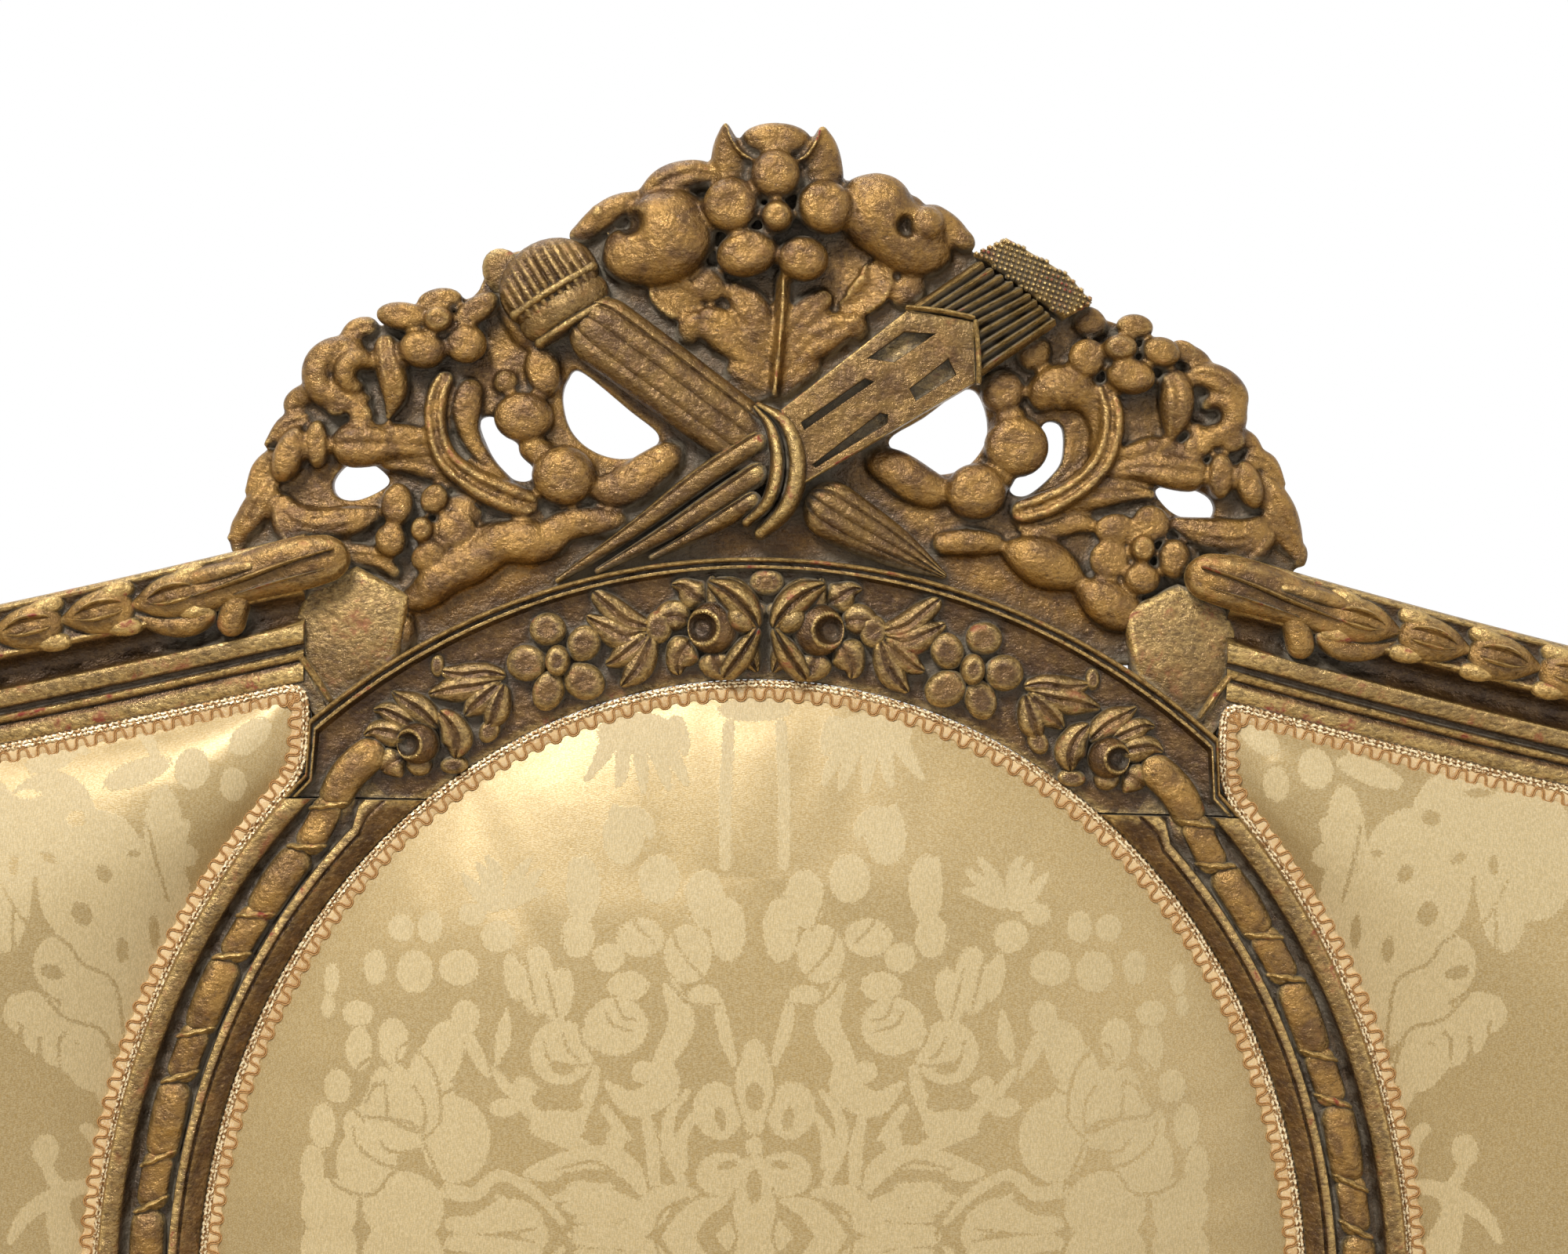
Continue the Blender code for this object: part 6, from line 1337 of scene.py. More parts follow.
# Shapes at the inner ends of the two side panels, left one only; the right one has them mirrored
SIDE_DAMASK_BLOBS_PX = (
    (70, 1050, 62, 66, 0), (130, 1120, 70, 90, 0), (180, 1230, 52, 110, 12), (215, 1060, 24, 60, 0),
    (100, 1230, 48, 44, 40), (125, 1290, 42, 42, 40), (20, 1120, 34, 90, 0), (62, 1465, 16, 21, 0),
    (-20, 1080, 60, 90, 0), (60, 1290, 36, 24, 45), (120, 1360, 34, 30, 55), (210, 1180, 30, 90, 8),
    (70, 960, 40, 22, -30), (180, 985, 44, 16, -20), (250, 980, 22, 26, 0), (300, 1000, 16, 22, 0),
    (240, 1090, 16, 14, 60), (320, 940, 30, 18, -40))
SIDE_DAMASK_STROKES_PX = (
    (((62, 1480), (72, 1505), (84, 1518)), (6, 8, 8)),
    (((110, 1440), (122, 1460), (126, 1510)), (8, 8, 6)),
    (((130, 1512), (84, 1520), (40, 1545), (20, 1578)), (6, 12, 10, 5)),
    (((84, 1520), (76, 1550), (90, 1600)), (10, 14, 22)),
    (((30, 1272), (24, 1290), (32, 1310)), (8, 9, 3)),
    (((50, 1290), (48, 1320), (52, 1338)), (8, 9, 3)),
    (((72, 1306), (70, 1340), (78, 1356)), (8, 9, 3)),
    (((92, 1326), (92, 1356), (98, 1366)), (8, 9, 3)),
    (((112, 1346), (114, 1376), (122, 1386)), (8, 9, 3)),
    (((128, 1366), (132, 1400), (140, 1420)), (8, 9, 4)),
    (((20, 960), (60, 940), (110, 960)), (10, 14, 4)),
    (((200, 960), (180, 930), (170, 910)), (6, 9, 3)),
    (((240, 1050), (232, 1080), (236, 1096)), (8, 9, 4)))
SIDE_DAMASK_HOLES_PX = (
    (142, 1112, 9, 12, -30), (114, 1162, 12, 16, -20), (160, 1210, 7, 17, 0), (198, 1188, 6, 22, 0),
    (76, 1236, 15, 9, 20), (106, 1042, 12, 10, 0), (40, 1012, 18, 6, 0), (178, 1086, 8, 5, 0),
    (30, 1100, 6, 12, 0), (74, 1092, 12, 5, 30))
SIDE_DAMASK_VEINS_PX = (
    ((12, 1120), (30, 1150), (50, 1176), (92, 1196), (112, 1226), (142, 1244), (154, 1280), (158, 1390)),
    ((30, 1150), (30, 1230)),
    ((30, 1240), (60, 1260), (90, 1296), (130, 1312), (144, 1350), (150, 1400)),
    ((196, 1050), (204, 1090), (216, 1150)), ((160, 1020), (196, 1024)))

# How far from a motif's edge its depth is worked out, a vein's widths, the pattern's upright axis, where
# it is turned upside down, how far the side panels' own motif reaches, and where theirs repeats
PATTERN_REACH = 12.0
VEIN_WIDTHS_PX = (1.5, 2.5, 1.8)
DAMASK_AXIS_PX = 963
DAMASK_REPEAT_PX = 1560
SIDE_MOTIF_END_PX = -140
SIDE_PATTERN_SHIFT_PX = 1560


def picture_place(points):
    """Places on the back's plane, as pixels of the photograph."""
    across, up = points[:, 0] - VIEW_U, points[:, 1] - VIEW_V
    cosine, sine = math.cos(PICTURE_ROLL), math.sin(PICTURE_ROLL)
    x = PICTURE_MIDDLE_PX[0] + (across * cosine + up * sine) / PIXEL
    y = PICTURE_MIDDLE_PX[1] - (up * cosine - across * sine) / PIXEL
    return np.stack([x, y], axis=1)


def blob_depth(points, blob):
    """How far points lie inside an oval."""
    x, y, half_width, half_height, turn = blob
    away = points - np.array([x, y])
    cosine, sine = math.cos(math.radians(turn)), math.sin(math.radians(turn))
    across = (away[:, 0] * cosine + away[:, 1] * sine) / half_width
    along = (-away[:, 0] * sine + away[:, 1] * cosine) / half_height
    return (1 - np.hypot(across, along)) * min(half_width, half_height)


def stroke_depth(points, stroke):
    """How far points lie inside a line of changing width."""
    line, widths = stroke
    samples = smooth_curve(line, 4)
    breadths = values_along(widths, np.linspace(0, 1, len(samples)))
    best = np.full(len(points), -PATTERN_REACH)
    for start, end, low, high in zip(samples, samples[1:], breadths, breadths[1:]):
        span = end - start
        share = np.clip(((points - start) @ span) / max(span @ span, WELD), 0, 1)
        away = points - start - share[:, None] * span
        best = np.maximum(best, low + (high - low) * share - np.hypot(away[:, 0], away[:, 1]))
    return best


def near_depth(points, shape):
    """How far points lie inside a shape, worked out only close to it."""
    if isinstance(shape[0], tuple):
        line = np.array(shape[0])
        low, high = line.min(axis=0) - max(shape[1]), line.max(axis=0) + max(shape[1])
        measure = stroke_depth
    else:
        reach = max(shape[2:4])
        low, high = np.array(shape[:2]) - reach, np.array(shape[:2]) + reach
        measure = blob_depth
    near = np.all((points > low - PATTERN_REACH) & (points < high + PATTERN_REACH), axis=1)
    depth = np.full(len(points), -PATTERN_REACH)
    if near.any():
        depth[near] = measure(points[near], shape)
    return depth


def pattern_depth(points, blobs, strokes, holes, veins):
    """How far points lie inside a woven motif, in pixels."""
    depth = np.full(len(points), -PATTERN_REACH)
    for shape in (*blobs, *strokes):
        depth = np.maximum(depth, near_depth(points, shape))
    for shape in (*holes, *((line, VEIN_WIDTHS_PX) for line in veins)):
        depth = np.minimum(depth, -near_depth(points, shape))
    return np.clip(depth, -PATTERN_REACH, PATTERN_REACH)


def damask_depth(points, side):
    """The damask on a pad: side is -1, 0 or 1 for the left, middle and right one."""
    place = picture_place(points)
    across = place[:, 0] - DAMASK_AXIS_PX
    if not side:
        return folded_damask(np.stack([DAMASK_AXIS_PX - np.abs(across), place[:, 1]], axis=1))
    across = across * -side
    inner = np.stack([across + DAMASK_AXIS_PX, place[:, 1]], axis=1)
    near = pattern_depth(inner, SIDE_DAMASK_BLOBS_PX, SIDE_DAMASK_STROKES_PX,
                         SIDE_DAMASK_HOLES_PX, SIDE_DAMASK_VEINS_PX)
    outer = np.stack([-np.abs(across + SIDE_PATTERN_SHIFT_PX) + DAMASK_AXIS_PX, place[:, 1]], axis=1)
    return np.where(inner[:, 0] > SIDE_MOTIF_END_PX, near, folded_damask(outer))


def folded_damask(folded):
    """The main motif, and the same again a repeat lower, turned upside down."""
    lower = np.stack([folded[:, 0], 2 * DAMASK_REPEAT_PX - folded[:, 1]], axis=1)
    places = np.where((folded[:, 1] > DAMASK_REPEAT_PX)[:, None], lower, folded)
    return pattern_depth(places, DAMASK_BLOBS_PX, DAMASK_STROKES_PX, DAMASK_HOLES_PX, DAMASK_VEINS_PX)


def rounded_loop(loop, radius, spacing):
    """A closed loop with its corners rounded, as evenly spaced points."""
    points = np.array([tuple(point) for point in loop])
    steps = np.hypot(*(np.roll(points, -1, axis=0) - points).T)
    reach = np.concatenate([[0], np.cumsum(steps)])
    closed = np.concatenate([points, points[:1]])
    count = int(round(reach[-1] / spacing))
    share = np.linspace(0, reach[-1], count, endpoint=False)
    even = np.stack([np.interp(share, reach, closed[:, i]) for i in (0, 1)], axis=1)
    kernel = max(int(radius / spacing * 1.3), 1)
    weights = np.hanning(2 * kernel + 3)[1:-1]
    weights /= weights.sum()
    padded = np.concatenate([even[-kernel:], even, even[:kernel]])
    return np.stack([np.convolve(padded[:, i], weights, mode="valid") for i in (0, 1)], axis=1)


def loop_normals(loop):
    """Inward normals of an anticlockwise loop."""
    slope = np.roll(loop, -1, axis=0) - np.roll(loop, 1, axis=0)
    slope /= np.hypot(slope[:, 0], slope[:, 1])[:, None]
    return np.stack([-slope[:, 1], slope[:, 0]], axis=1)


def oval_loop():
    angles = np.linspace(0, 2 * math.pi, 400, endpoint=False)
    return np.stack([OVAL_HALF_WIDTH * np.cos(angles), OVAL_HALF_HEIGHT * np.sin(angles)], axis=1)


def side_loop(sign):
    """Anticlockwise outline of a side panel's opening."""
    inner = side_rail_edges()[1]
    limit = ARCH_HALF_SPAN + 0.001
    top = [tuple(point) for point in inner if point[0] > limit]
    first = max((point for point in inner if point[0] <= limit), key=lambda point: point[0])
    share = (ARCH_HALF_SPAN - first[0]) / (top[0][0] - first[0])
    corner = (ARCH_HALF_SPAN, first[1] + (top[0][1] - first[1]) * share)
    edge = [outer_edge(phi) for phi in np.radians(np.linspace(-60, 46.5, 140))]
    edge = [point for point in edge if point[1] > -LOW_RAIL_TOP + 0.001]
    loop = [(low_rail_start(), -LOW_RAIL_TOP), (STILE_INNER, -LOW_RAIL_TOP), *reversed(top), corner,
            *reversed(edge)]
    loop = [(u * sign, v) for u, v in loop]
    return loop if sign > 0 else loop[::-1]


def back_panels():
    """The three panels of the back: name, outline and side."""
    sides = [("side_" + side, side_loop(sign), sign) for side, sign in SIDES]
    return [("medallion", oval_loop(), 0), *sides]


# The crowned face of a pad before its cloth is drawn tight: shares of the way out from its middle
CROWN_SHARES = (0.985, 0.96, 0.92, 0.86, 0.78, 0.68, 0.56, 0.42, 0.28, 0.14)


def pad_shell(loop, middle, crown):
    """The stuffed pad before its cloth is drawn tight: flat flange, steep rise, crowned face."""
    even = rounded_loop(loop, CORNER_ROUND, 0.004)
    normals = loop_normals(even)
    flange = even + normals * FIT * 2
    welt = even + normals * (GIMP_WIDTH * 0.9)
    rings = [(flange, PAD_BACK), (flange, PAD_EDGE - 0.001), (welt, PAD_EDGE - 0.0005)]
    for share in CROWN_SHARES:
        rise = (1 - share ** 2.6) ** 0.55
        rings.append((middle + (welt - middle) * share, PAD_EDGE + crown * rise * 0.93))
    return shell([np.column_stack([ring, np.full(len(even), height)]) for ring, height in rings])


CLOTH_SETTINGS = {
    "quality": 4, "mass": 0.3, "tension_stiffness": 25, "compression_stiffness": 15,
    "shear_stiffness": 10, "bending_stiffness": 0.6, "vertex_group_mass": "held", "use_pressure": True}


def inflate(piece, voxel, held, pressure=4.0, cap=0.006, frames=20):
    """Draws the cover tight by cloth simulation. held tells which points can't move."""
    modify(piece, "REMESH", mode="VOXEL", voxel_size=voxel)
    apply_modifiers(piece)
    before = coordinates(piece.data)
    group = piece.vertex_groups.new(name="held")
    group.add([int(i) for i in np.nonzero(held(before))[0]], 1.0, "ADD")
    cloth = modify(piece, "CLOTH")
    for name, value in CLOTH_SETTINGS.items():
        setattr(cloth.settings, name, value)
    cloth.settings.uniform_pressure_force = pressure
    cloth.settings.effector_weights.gravity = 0
    cloth.collision_settings.use_collision = False
    cloth.point_cache.frame_start = 1
    cloth.point_cache.frame_end = frames
    for step in range(1, frames + 1):
        bpy.context.scene.frame_set(step)
    apply_modifiers(piece)
    bpy.context.scene.frame_set(1)
    moved = coordinates(piece.data) - before
    reach = np.linalg.norm(moved, axis=1)
    moved *= (cap * np.tanh(reach / cap) / np.maximum(reach, WELD))[:, None]
    piece.data.vertices.foreach_set("co", (before + moved).astype(np.float32).ravel())
    piece.data.update()
    free = piece.vertex_groups.new(name="free")
    free.add([int(i) for i in np.nonzero(~held(before))[0]], 1.0, "ADD")
    modify(piece, "SMOOTH", factor=0.5, iterations=14, vertex_group="free")
    modify(piece, "SUBSURF", levels=1, render_levels=1)
    apply_modifiers(piece)


SILK = "pale_gold_damask"
LIT_THREAD = colour(250, 240, 208)
SHADED_THREAD = colour(136, 112, 66)


def silk_material(name, ground, motif):
    """Silk damask: a satin ground and matt motifs, in a fine weave."""
    material, nodes, shader = plain_material(name)
    place = nodes.place()
    depth = nodes.attribute("damask")
    steps = nodes.noise(place, 900, 1, 0.5)
    edge = nodes.math("ADD", depth, nodes.between(steps, 0.3, 0.7, -1.3, 1.3))
    mask = nodes.between(edge, -0.7, 0.7)
    tone = nodes.noise(place, 9, 2, 0.5)
    weft = nodes.noise(nodes.stretch(place, (0.3, 1, 1)), 2600, 1, 0.5)
    warp = nodes.noise(nodes.stretch(place, (1, 0.2, 0.2)), 2400, 1, 0.5)
    darker = (*(channel * 0.86 for channel in ground[:3]), 1)
    shaded = nodes.mix(nodes.between(tone, 0.35, 0.65, 0.0, 0.5), ground, darker)
    base = nodes.mix(mask, shaded, motif)
    thread = nodes.mix(nodes.between(weft, 0.35, 0.65, 0.0, 0.22), base, LIT_THREAD)
    thread = nodes.mix(nodes.between(warp, 0.62, 0.36, 0.0, 0.28), thread, SHADED_THREAD)
    nodes.put(shader.inputs["Base Color"], thread)
    nodes.put(shader.inputs["Roughness"], nodes.between(mask, 0, 1, 0.40, 0.62))
    nodes.put(shader.inputs["Metallic"], nodes.between(mask, 0, 1, 0.24, 0.02))
    nodes.put(shader.inputs["Sheen Weight"], 0.25)
    nodes.put(shader.inputs["Sheen Roughness"], 0.35)
    nodes.put(shader.inputs["Sheen Tint"], (1.0, 0.93, 0.74, 1))
    nodes.put(shader.inputs["Anisotropic"], 0.4)
    height = nodes.math("ADD", nodes.math("MULTIPLY", mask, 0.6), nodes.math("MULTIPLY", weft, 0.5))
    nodes.bump(shader, height, 0.25, 0.0004)
    return material


def back_places(coords):
    """World points as places on the plane of the back."""
    inverse = np.array(BACK_PLANE.inverted())
    return coords @ inverse[:3, :3].T + inverse[:3, 3]


def write_damask(piece, depths):
    """Gives the silk's material the depth of each point inside a woven motif."""
    layer = piece.data.attributes.new("damask", "FLOAT", "POINT")
    layer.data.foreach_set("value", np.asarray(depths, dtype=np.float32))


def finish_cover(piece, depths):
    write_damask(piece, depths)
    piece.data.shade_smooth()


def fine_front(piece, low):
    """Cuts the faces before a height above the back's plane once more."""
    bm = bmesh.new()
    bm.from_mesh(piece.data)
    inverse = BACK_PLANE.inverted()
    chosen = [edge for edge in bm.edges if (inverse @ edge.verts[0].co).z > low
              and (inverse @ edge.verts[1].co).z > low]
    bmesh.ops.subdivide_edges(bm, edges=chosen, cuts=1, use_grid_fill=True)
    bm.to_mesh(piece.data)
    bm.free()


def other_hand(piece, name, node):
    """The same cover for the other side of the sofa."""
    bm = bmesh.new()
    bm.from_mesh(piece.data)
    bmesh.ops.scale(bm, vec=(-1, 1, 1), verts=bm.verts)
    bmesh.ops.reverse_faces(bm, faces=bm.faces)
    return make_piece(name, bm, bpy.data.materials[SILK], [node], on_back=False)


def back_pad(place, loop, middle, crown):
    """One stuffed panel of the back, under its tight cover."""
    bm = pad_shell(loop, np.array(middle), crown)
    silk = bpy.data.materials[SILK]
    piece = make_piece("cover_" + place, bm, silk, ["back_pad_" + place])
    inflate(piece, 0.005, lambda coords: back_places(coords)[:, 2] < PAD_EDGE + 0.002)
    fine_front(piece, PAD_EDGE)
    return piece


def build_back_pads(sofa):
    silk_material(SILK, tuple(sofa.silk_ground), tuple(sofa.silk_motif))
    side_middle = -(OVAL_HALF_WIDTH + MEDALLION_BAND + STILE_INNER) / 2
    middle = back_pad("medallion", oval_loop(), (0.0, 0.0), sofa.medallion_crown)
    left = back_pad("side_left", side_loop(-1), (side_middle, 0.0), sofa.side_crown)
    right = other_hand(left, "cover_side_right", "back_pad_side_right")
    for piece, sign in ((middle, 0), (left, -1), (right, 1)):
        places = back_places(coordinates(piece.data).astype(float))
        finish_cover(piece, damask_depth(places[:, :2], sign))


# Gimp braid

def braid_material(sofa):
    """Rose-beige braid with a metallic thread in its outer cord, and painted shade in its hollows."""
    material, nodes, shader = plain_material("gimp_braid")
    place = nodes.place()
    part = nodes.attribute("strand")
    fleck = nodes.noise(place, 1400, 2, 0.6)
    cloud = nodes.noise(place, 60, 2, 0.5)
    glint = nodes.noise(place, 760, 1, 0.4)
    ground = nodes.mix(nodes.between(cloud, 0.35, 0.65), tuple(sofa.braid_ground), colour(212, 174, 118))
    ground = nodes.mix(nodes.between(fleck, 0.52, 0.68, 0.0, 0.6), ground, colour(248, 230, 200))
    cord = nodes.mix(nodes.between(fleck, 0.4, 0.65), tuple(sofa.braid_cord), colour(210, 162, 100))
    metal = nodes.mix(nodes.between(glint, 0.44, 0.54), colour(158, 118, 72), colour(246, 226, 184))
    base = nodes.mix(nodes.between(part, 0.4, 0.6), ground, cord)
    base = nodes.mix(nodes.between(part, 1.4, 1.6), base, metal)
    # Painted shade: the braid goes darker brown where ambient occlusion finds a crevice between its
    # strands
    hollows = nodes.between(nodes.openness(0.0016, 6), 0.7, 0.2, 0.0, 0.4)
    nodes.put(shader.inputs["Base Color"], nodes.mix(hollows, base, colour(136, 96, 60)))
    nodes.put(shader.inputs["Roughness"], nodes.between(part, 1.4, 1.6, 0.62, 0.34))
    nodes.put(shader.inputs["Metallic"], nodes.between(part, 1.4, 1.6, 0.0, 0.55))
    nodes.bump(shader, nodes.noise(place, 2000, 2, 0.6), 0.5, 0.0004)
    return material


def across_line(slope):
    """Unit normals beside a line, on the left of its slope."""
    aside = np.stack([-slope[:, 1], slope[:, 0]], axis=1)
    return aside / np.maximum(np.hypot(aside[:, 0], aside[:, 1]), WELD)[:, None]


def tube(bm, path, radius, sides, squash, strand, twist=0, twist_depth=0.0, twist_pitch=1.0):
    """A closed cord along a path of points in the back's coordinates."""
    slope = np.roll(path, -1, axis=0) - np.roll(path, 1, axis=0)
    steps = np.linalg.norm(np.roll(path, -1, axis=0) - path, axis=1)
    reach = np.concatenate([[0], np.cumsum(steps)[:-1]])
    slope /= np.maximum(np.linalg.norm(slope, axis=1), WELD)[:, None]
    aside = across_line(slope)
    angles = np.linspace(0, 2 * math.pi, sides, endpoint=False)
    turn = twist * angles[None, :] - reach[:, None] / twist_pitch * 2 * math.pi
    size = radius * (1 + twist_depth * np.cos(turn))
    flat = path[:, None, :2] + aside[:, None, :] * (np.cos(angles) * size)[:, :, None]
    height = path[:, None, 2] + np.sin(angles) * size * squash
    add_strand(bm, np.concatenate([flat, height[:, :, None]], axis=2), strand)


def add_strand(bm, points, strand):
    """Adds one strand of the braid, numbered for the braid's material."""
    small = bmesh.new()
    layer = small.verts.layers.float.new("strand")
    lattice(small, points, wrap_along=True)
    bmesh.ops.recalc_face_normals(small, faces=small.faces)
    for vert in small.verts:
        vert[layer] = strand
    join(bm, small)


# The braid across its width: its woven band to the scallops' middle, the scallops' depth, the middle,
# the swing and the slant of the wavy cords, how far each cord of that pair lies aside, and their radius
BAND_REACH = 0.0093
SCALLOP_DEPTH = 0.0010
WAVE_MIDDLE = 0.0066
WAVE_SWING = 0.0029
WAVE_SLANT = 0.0006
WAVY_CORD_SHIFT = 0.00042
WAVY_CORD_RADIUS = 0.00036

# What each kind of strand is numbered, for the braid's material
BAND_STRAND = 0.0
WAVY_STRAND = 1.0
METAL_STRAND = 2.0

# Twisted metallic cords: place across and radius of each, and the length of one twist
METAL_CORDS = ((0.0010, 0.0010), (0.0027, 0.0009))
METAL_CORD_TWIST = 0.0032


def gimp_braid(loop, low, steps=14, corner=CORNER_ROUND, upright=False):
    """The braid round a panel: a woven band, two wavy cords and two twisted metallic cords."""
    even = rounded_loop(loop, corner, 0.0012)
    total = np.hypot(*(np.roll(even, -1, axis=0) - even).T).sum()
    samples = round(total / GIMP_PERIOD) * steps
    closed = np.concatenate([even, even[:1]])
    reach = np.concatenate([[0], np.cumsum(np.hypot(*np.diff(closed, axis=0).T))])
    share = np.linspace(0, reach[-1], samples, endpoint=False)
    edge = np.stack([np.interp(share, reach, closed[:, i]) for i in (0, 1)], axis=1)
    inward = loop_normals(edge)
    phase = np.arange(samples) / steps * 2 * math.pi

    def path(shift, height):
        """The braid's line moved inward, at a height."""
        return np.column_stack([edge + inward * np.reshape(shift, (-1, 1)), np.full(samples, height)])

    bm = bmesh.new()
    bm.verts.layers.float.new("strand")
    inner = BAND_REACH + SCALLOP_DEPTH * np.cos(phase)
    top = low + GIMP_HEIGHT * 0.62
    rows = [(0.0002, low), (0.0002, top - 0.0004), (0.0008, top), (inner * 0.5, top + 0.0001),
            (inner - 0.0006, top), (inner, top - 0.0006), (inner, low)]
    add_strand(bm, np.stack([path(shift, height) for shift, height in rows], axis=1), BAND_STRAND)
    lean = WAVE_SLANT * np.sin(2 * phase)
    along = np.stack([inward[:, 1], -inward[:, 0]], axis=1)
    spine = edge + inward * (WAVE_MIDDLE + WAVE_SWING * np.cos(phase))[:, None] + along * lean[:, None]
    beside = across_line(np.roll(spine, -1, axis=0) - np.roll(spine, 1, axis=0))
    for shift in (-WAVY_CORD_SHIFT, WAVY_CORD_SHIFT):
        cord = np.column_stack([spine + beside * shift, np.full(samples, top + 0.0003)])
        tube(bm, cord, WAVY_CORD_RADIUS, 5, 1.0, WAVY_STRAND)
    for shift, radius in METAL_CORDS:
        tube(bm, path(shift, top + 0.0002), radius, 6, 0.9, METAL_STRAND, twist=2, twist_depth=0.34,
             twist_pitch=METAL_CORD_TWIST)
    if upright:
        stand_upright(bm, edge, inward)
    return bm


def stand_upright(bm, edge, inward):
    """Turns a flat braid up against the side of the seat: its width runs up and its face looks out."""
    for vert in bm.verts:
        row = np.argmin((edge[:, 0] - vert.co.x) ** 2 + (edge[:, 1] - vert.co.y) ** 2)
        depth = (vert.co.x - edge[row, 0]) * inward[row, 0] + (vert.co.y - edge[row, 1]) * inward[row, 1]
        place = np.array((vert.co.x, vert.co.y)) - inward[row] * depth
        place = place + inward[row] * (GIMP_HEIGHT * 0.8 - vert.co.z)
        vert.co = (*place, SEAT_RAIL_TOP + FIT + depth)


def build_gimps(sofa):
    braid = braid_material(sofa)
    for place, loop, _ in back_panels():
        bm = gimp_braid(loop, PAD_EDGE + FIT)
        make_piece("braid_" + place, bm, braid, ["gimp_" + place], sharp=BRAID_SHARP)
    bm = gimp_braid(np.array(seat_outline()), 0, steps=8, corner=0.014, upright=True)
    make_piece("braid_seat", bm, braid, ["gimp_seat"], on_back=False, sharp=BRAID_SHARP)


# Seat, arms and legs

FRONT_Y = -0.39022
BACK_Y = 0.25178
RAIL_BOTTOM = 0.27
SEAT_RAIL_TOP = 0.355
RAIL_THICKNESS = 0.036
RAIL_SETBACK = 0.003
LEG_BLOCK = 0.060
FRONT_LEG_Y = FRONT_Y + LEG_BLOCK / 2
LEG_INNER_X = 0.30
LEG_OUTER_X = 0.90
LEG_XS = (("outer_left", -LEG_OUTER_X), ("inner_left", -LEG_INNER_X), ("inner_right", LEG_INNER_X),
          ("outer_right", LEG_OUTER_X))
BLOCK_ARRIS = 0.0016
PANEL_MARGIN = 0.0055
PANEL_BEVEL = 0.0012
PANEL_DEPTH = 0.0018
PEARL_PITCH = 0.0088
PEARL_RADIUS = 0.0034
ROSETTE_RADIUS = 0.0205
ROSETTE_HEIGHT = 0.0062
ARM_X = 0.904
ARM_WIDTH = 0.046
ARM_HEIGHT = 0.655
ARM_SETBACK = 0.130
ARM_SCROLL_RADIUS = 0.029
ARM_PAD_SIZE = (0.040, 0.270, 0.026)
SEAT_PAD_EDGE = 0.076
SEAT_PAD_INSET = 0.004
SEAT_REPEAT = 0.62
SEAT_DAMASK_SHIFT = 0.22

# How far the arrises of the plain pieces are eased
RAIL_ARRIS = 0.0022
REAR_LEG_ARRIS = 0.003
ARM_ARRIS = 0.006
POST_ARRIS = 0.005
BEECH_ARRIS = 0.0015

# Height as a share of the leg below its block, radius in metres, depth of the flutes in metres
LEG_STATIONS = (
    (1.0, 0.0186, 0), (0.976, 0.0186, 0), (0.973, 0.0250, 0), (0.966, 0.0282, 0), (0.952, 0.0290, 0),
    (0.938, 0.0282, 0), (0.931, 0.0250, 0), (0.928, 0.0196, 0), (0.905, 0.0184, 0), (0.886, 0.0192, 0),
    (0.883, 0.0226, 0), (0.876, 0.0246, 0), (0.866, 0.0250, 0), (0.856, 0.0246, 0.0004),
    (0.846, 0.0244, 0.0018), (0.60, 0.0207, 0.0022), (0.36, 0.0170, 0.0020), (0.186, 0.0144, 0.0018),
    (0.176, 0.0143, 0.0006), (0.168, 0.0143, 0), (0.156, 0.0150, 0), (0.146, 0.0142, 0),
    (0.140, 0.0112, 0), (0.126, 0.0104, 0), (0.112, 0.0106, 0), (0.104, 0.0126, 0), (0.090, 0.0164, 0),
    (0.070, 0.0176, 0), (0.048, 0.0172, 0), (0.026, 0.0154, 0), (0.010, 0.0126, 0), (0, 0.0112, 0))
SEAT_RAIL_PROFILE = (
    # Inward from the face and height, as shares of the rail's thickness and height
    (0.10, 0), (0.03, 0.02), (0, 0.06), (0.03, 0.10), (0.09, 0.12), (0.14, 0.16), (0.17, 0.30),
    (0.17, 0.52), (0.14, 0.68), (0.16, 0.70), (0.16, 0.72), (0.10, 0.74), (0.04, 0.80), (0.0, 0.86),
    (0.0, 0.93), (0.05, 0.98), (0.10, 1), (1, 1), (1, 0))


def softened(name, width=RAIL_ARRIS):
    """A CAD solid's shape with its arrises eased."""
    bm = cad_shape(name)
    edges = [edge for edge in bm.edges if edge.is_manifold and edge.calc_face_angle() > math.radians(32)]
    bmesh.ops.bevel(bm, geom=edges, offset=width, offset_type="OFFSET", segments=3, profile=0.5,
                    affect="EDGES", clamp_overlap=True, material=-1)
    bmesh.ops.triangulate(bm, faces=[face for face in bm.faces if len(face.verts) > 4])
    return bm


def cad_shape(name):
    """A CAD solid's shape without the edges that only cut up its flat faces."""
    bm = bmesh.new()
    bm.from_mesh(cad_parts[name].data)
    bmesh.ops.remove_doubles(bm, verts=bm.verts, dist=0.00002)
    bmesh.ops.dissolve_limit(bm, angle_limit=math.radians(1), verts=bm.verts, edges=bm.edges)
    return bm


def dress(node, bm, material):
    """The looks of one CAD node below the back."""
    return make_piece("looks_" + node, bm, material, [node], on_back=False)


def turned_leg(x):
    """The turned and fluted shaft, from its block to its foot."""
    angles = np.linspace(0, 2 * math.pi, 96, endpoint=False)
    rows = []
    for share, radius, depth in LEG_STATIONS:
        reach = radius - depth * (0.5 - 0.5 * np.cos(12 * angles)) ** 0.6
        rows.append(np.column_stack([x + reach * np.cos(angles), FRONT_LEG_Y + reach * np.sin(angles),
                                     np.full(96, share * RAIL_BOTTOM)]))
    return shell(rows)


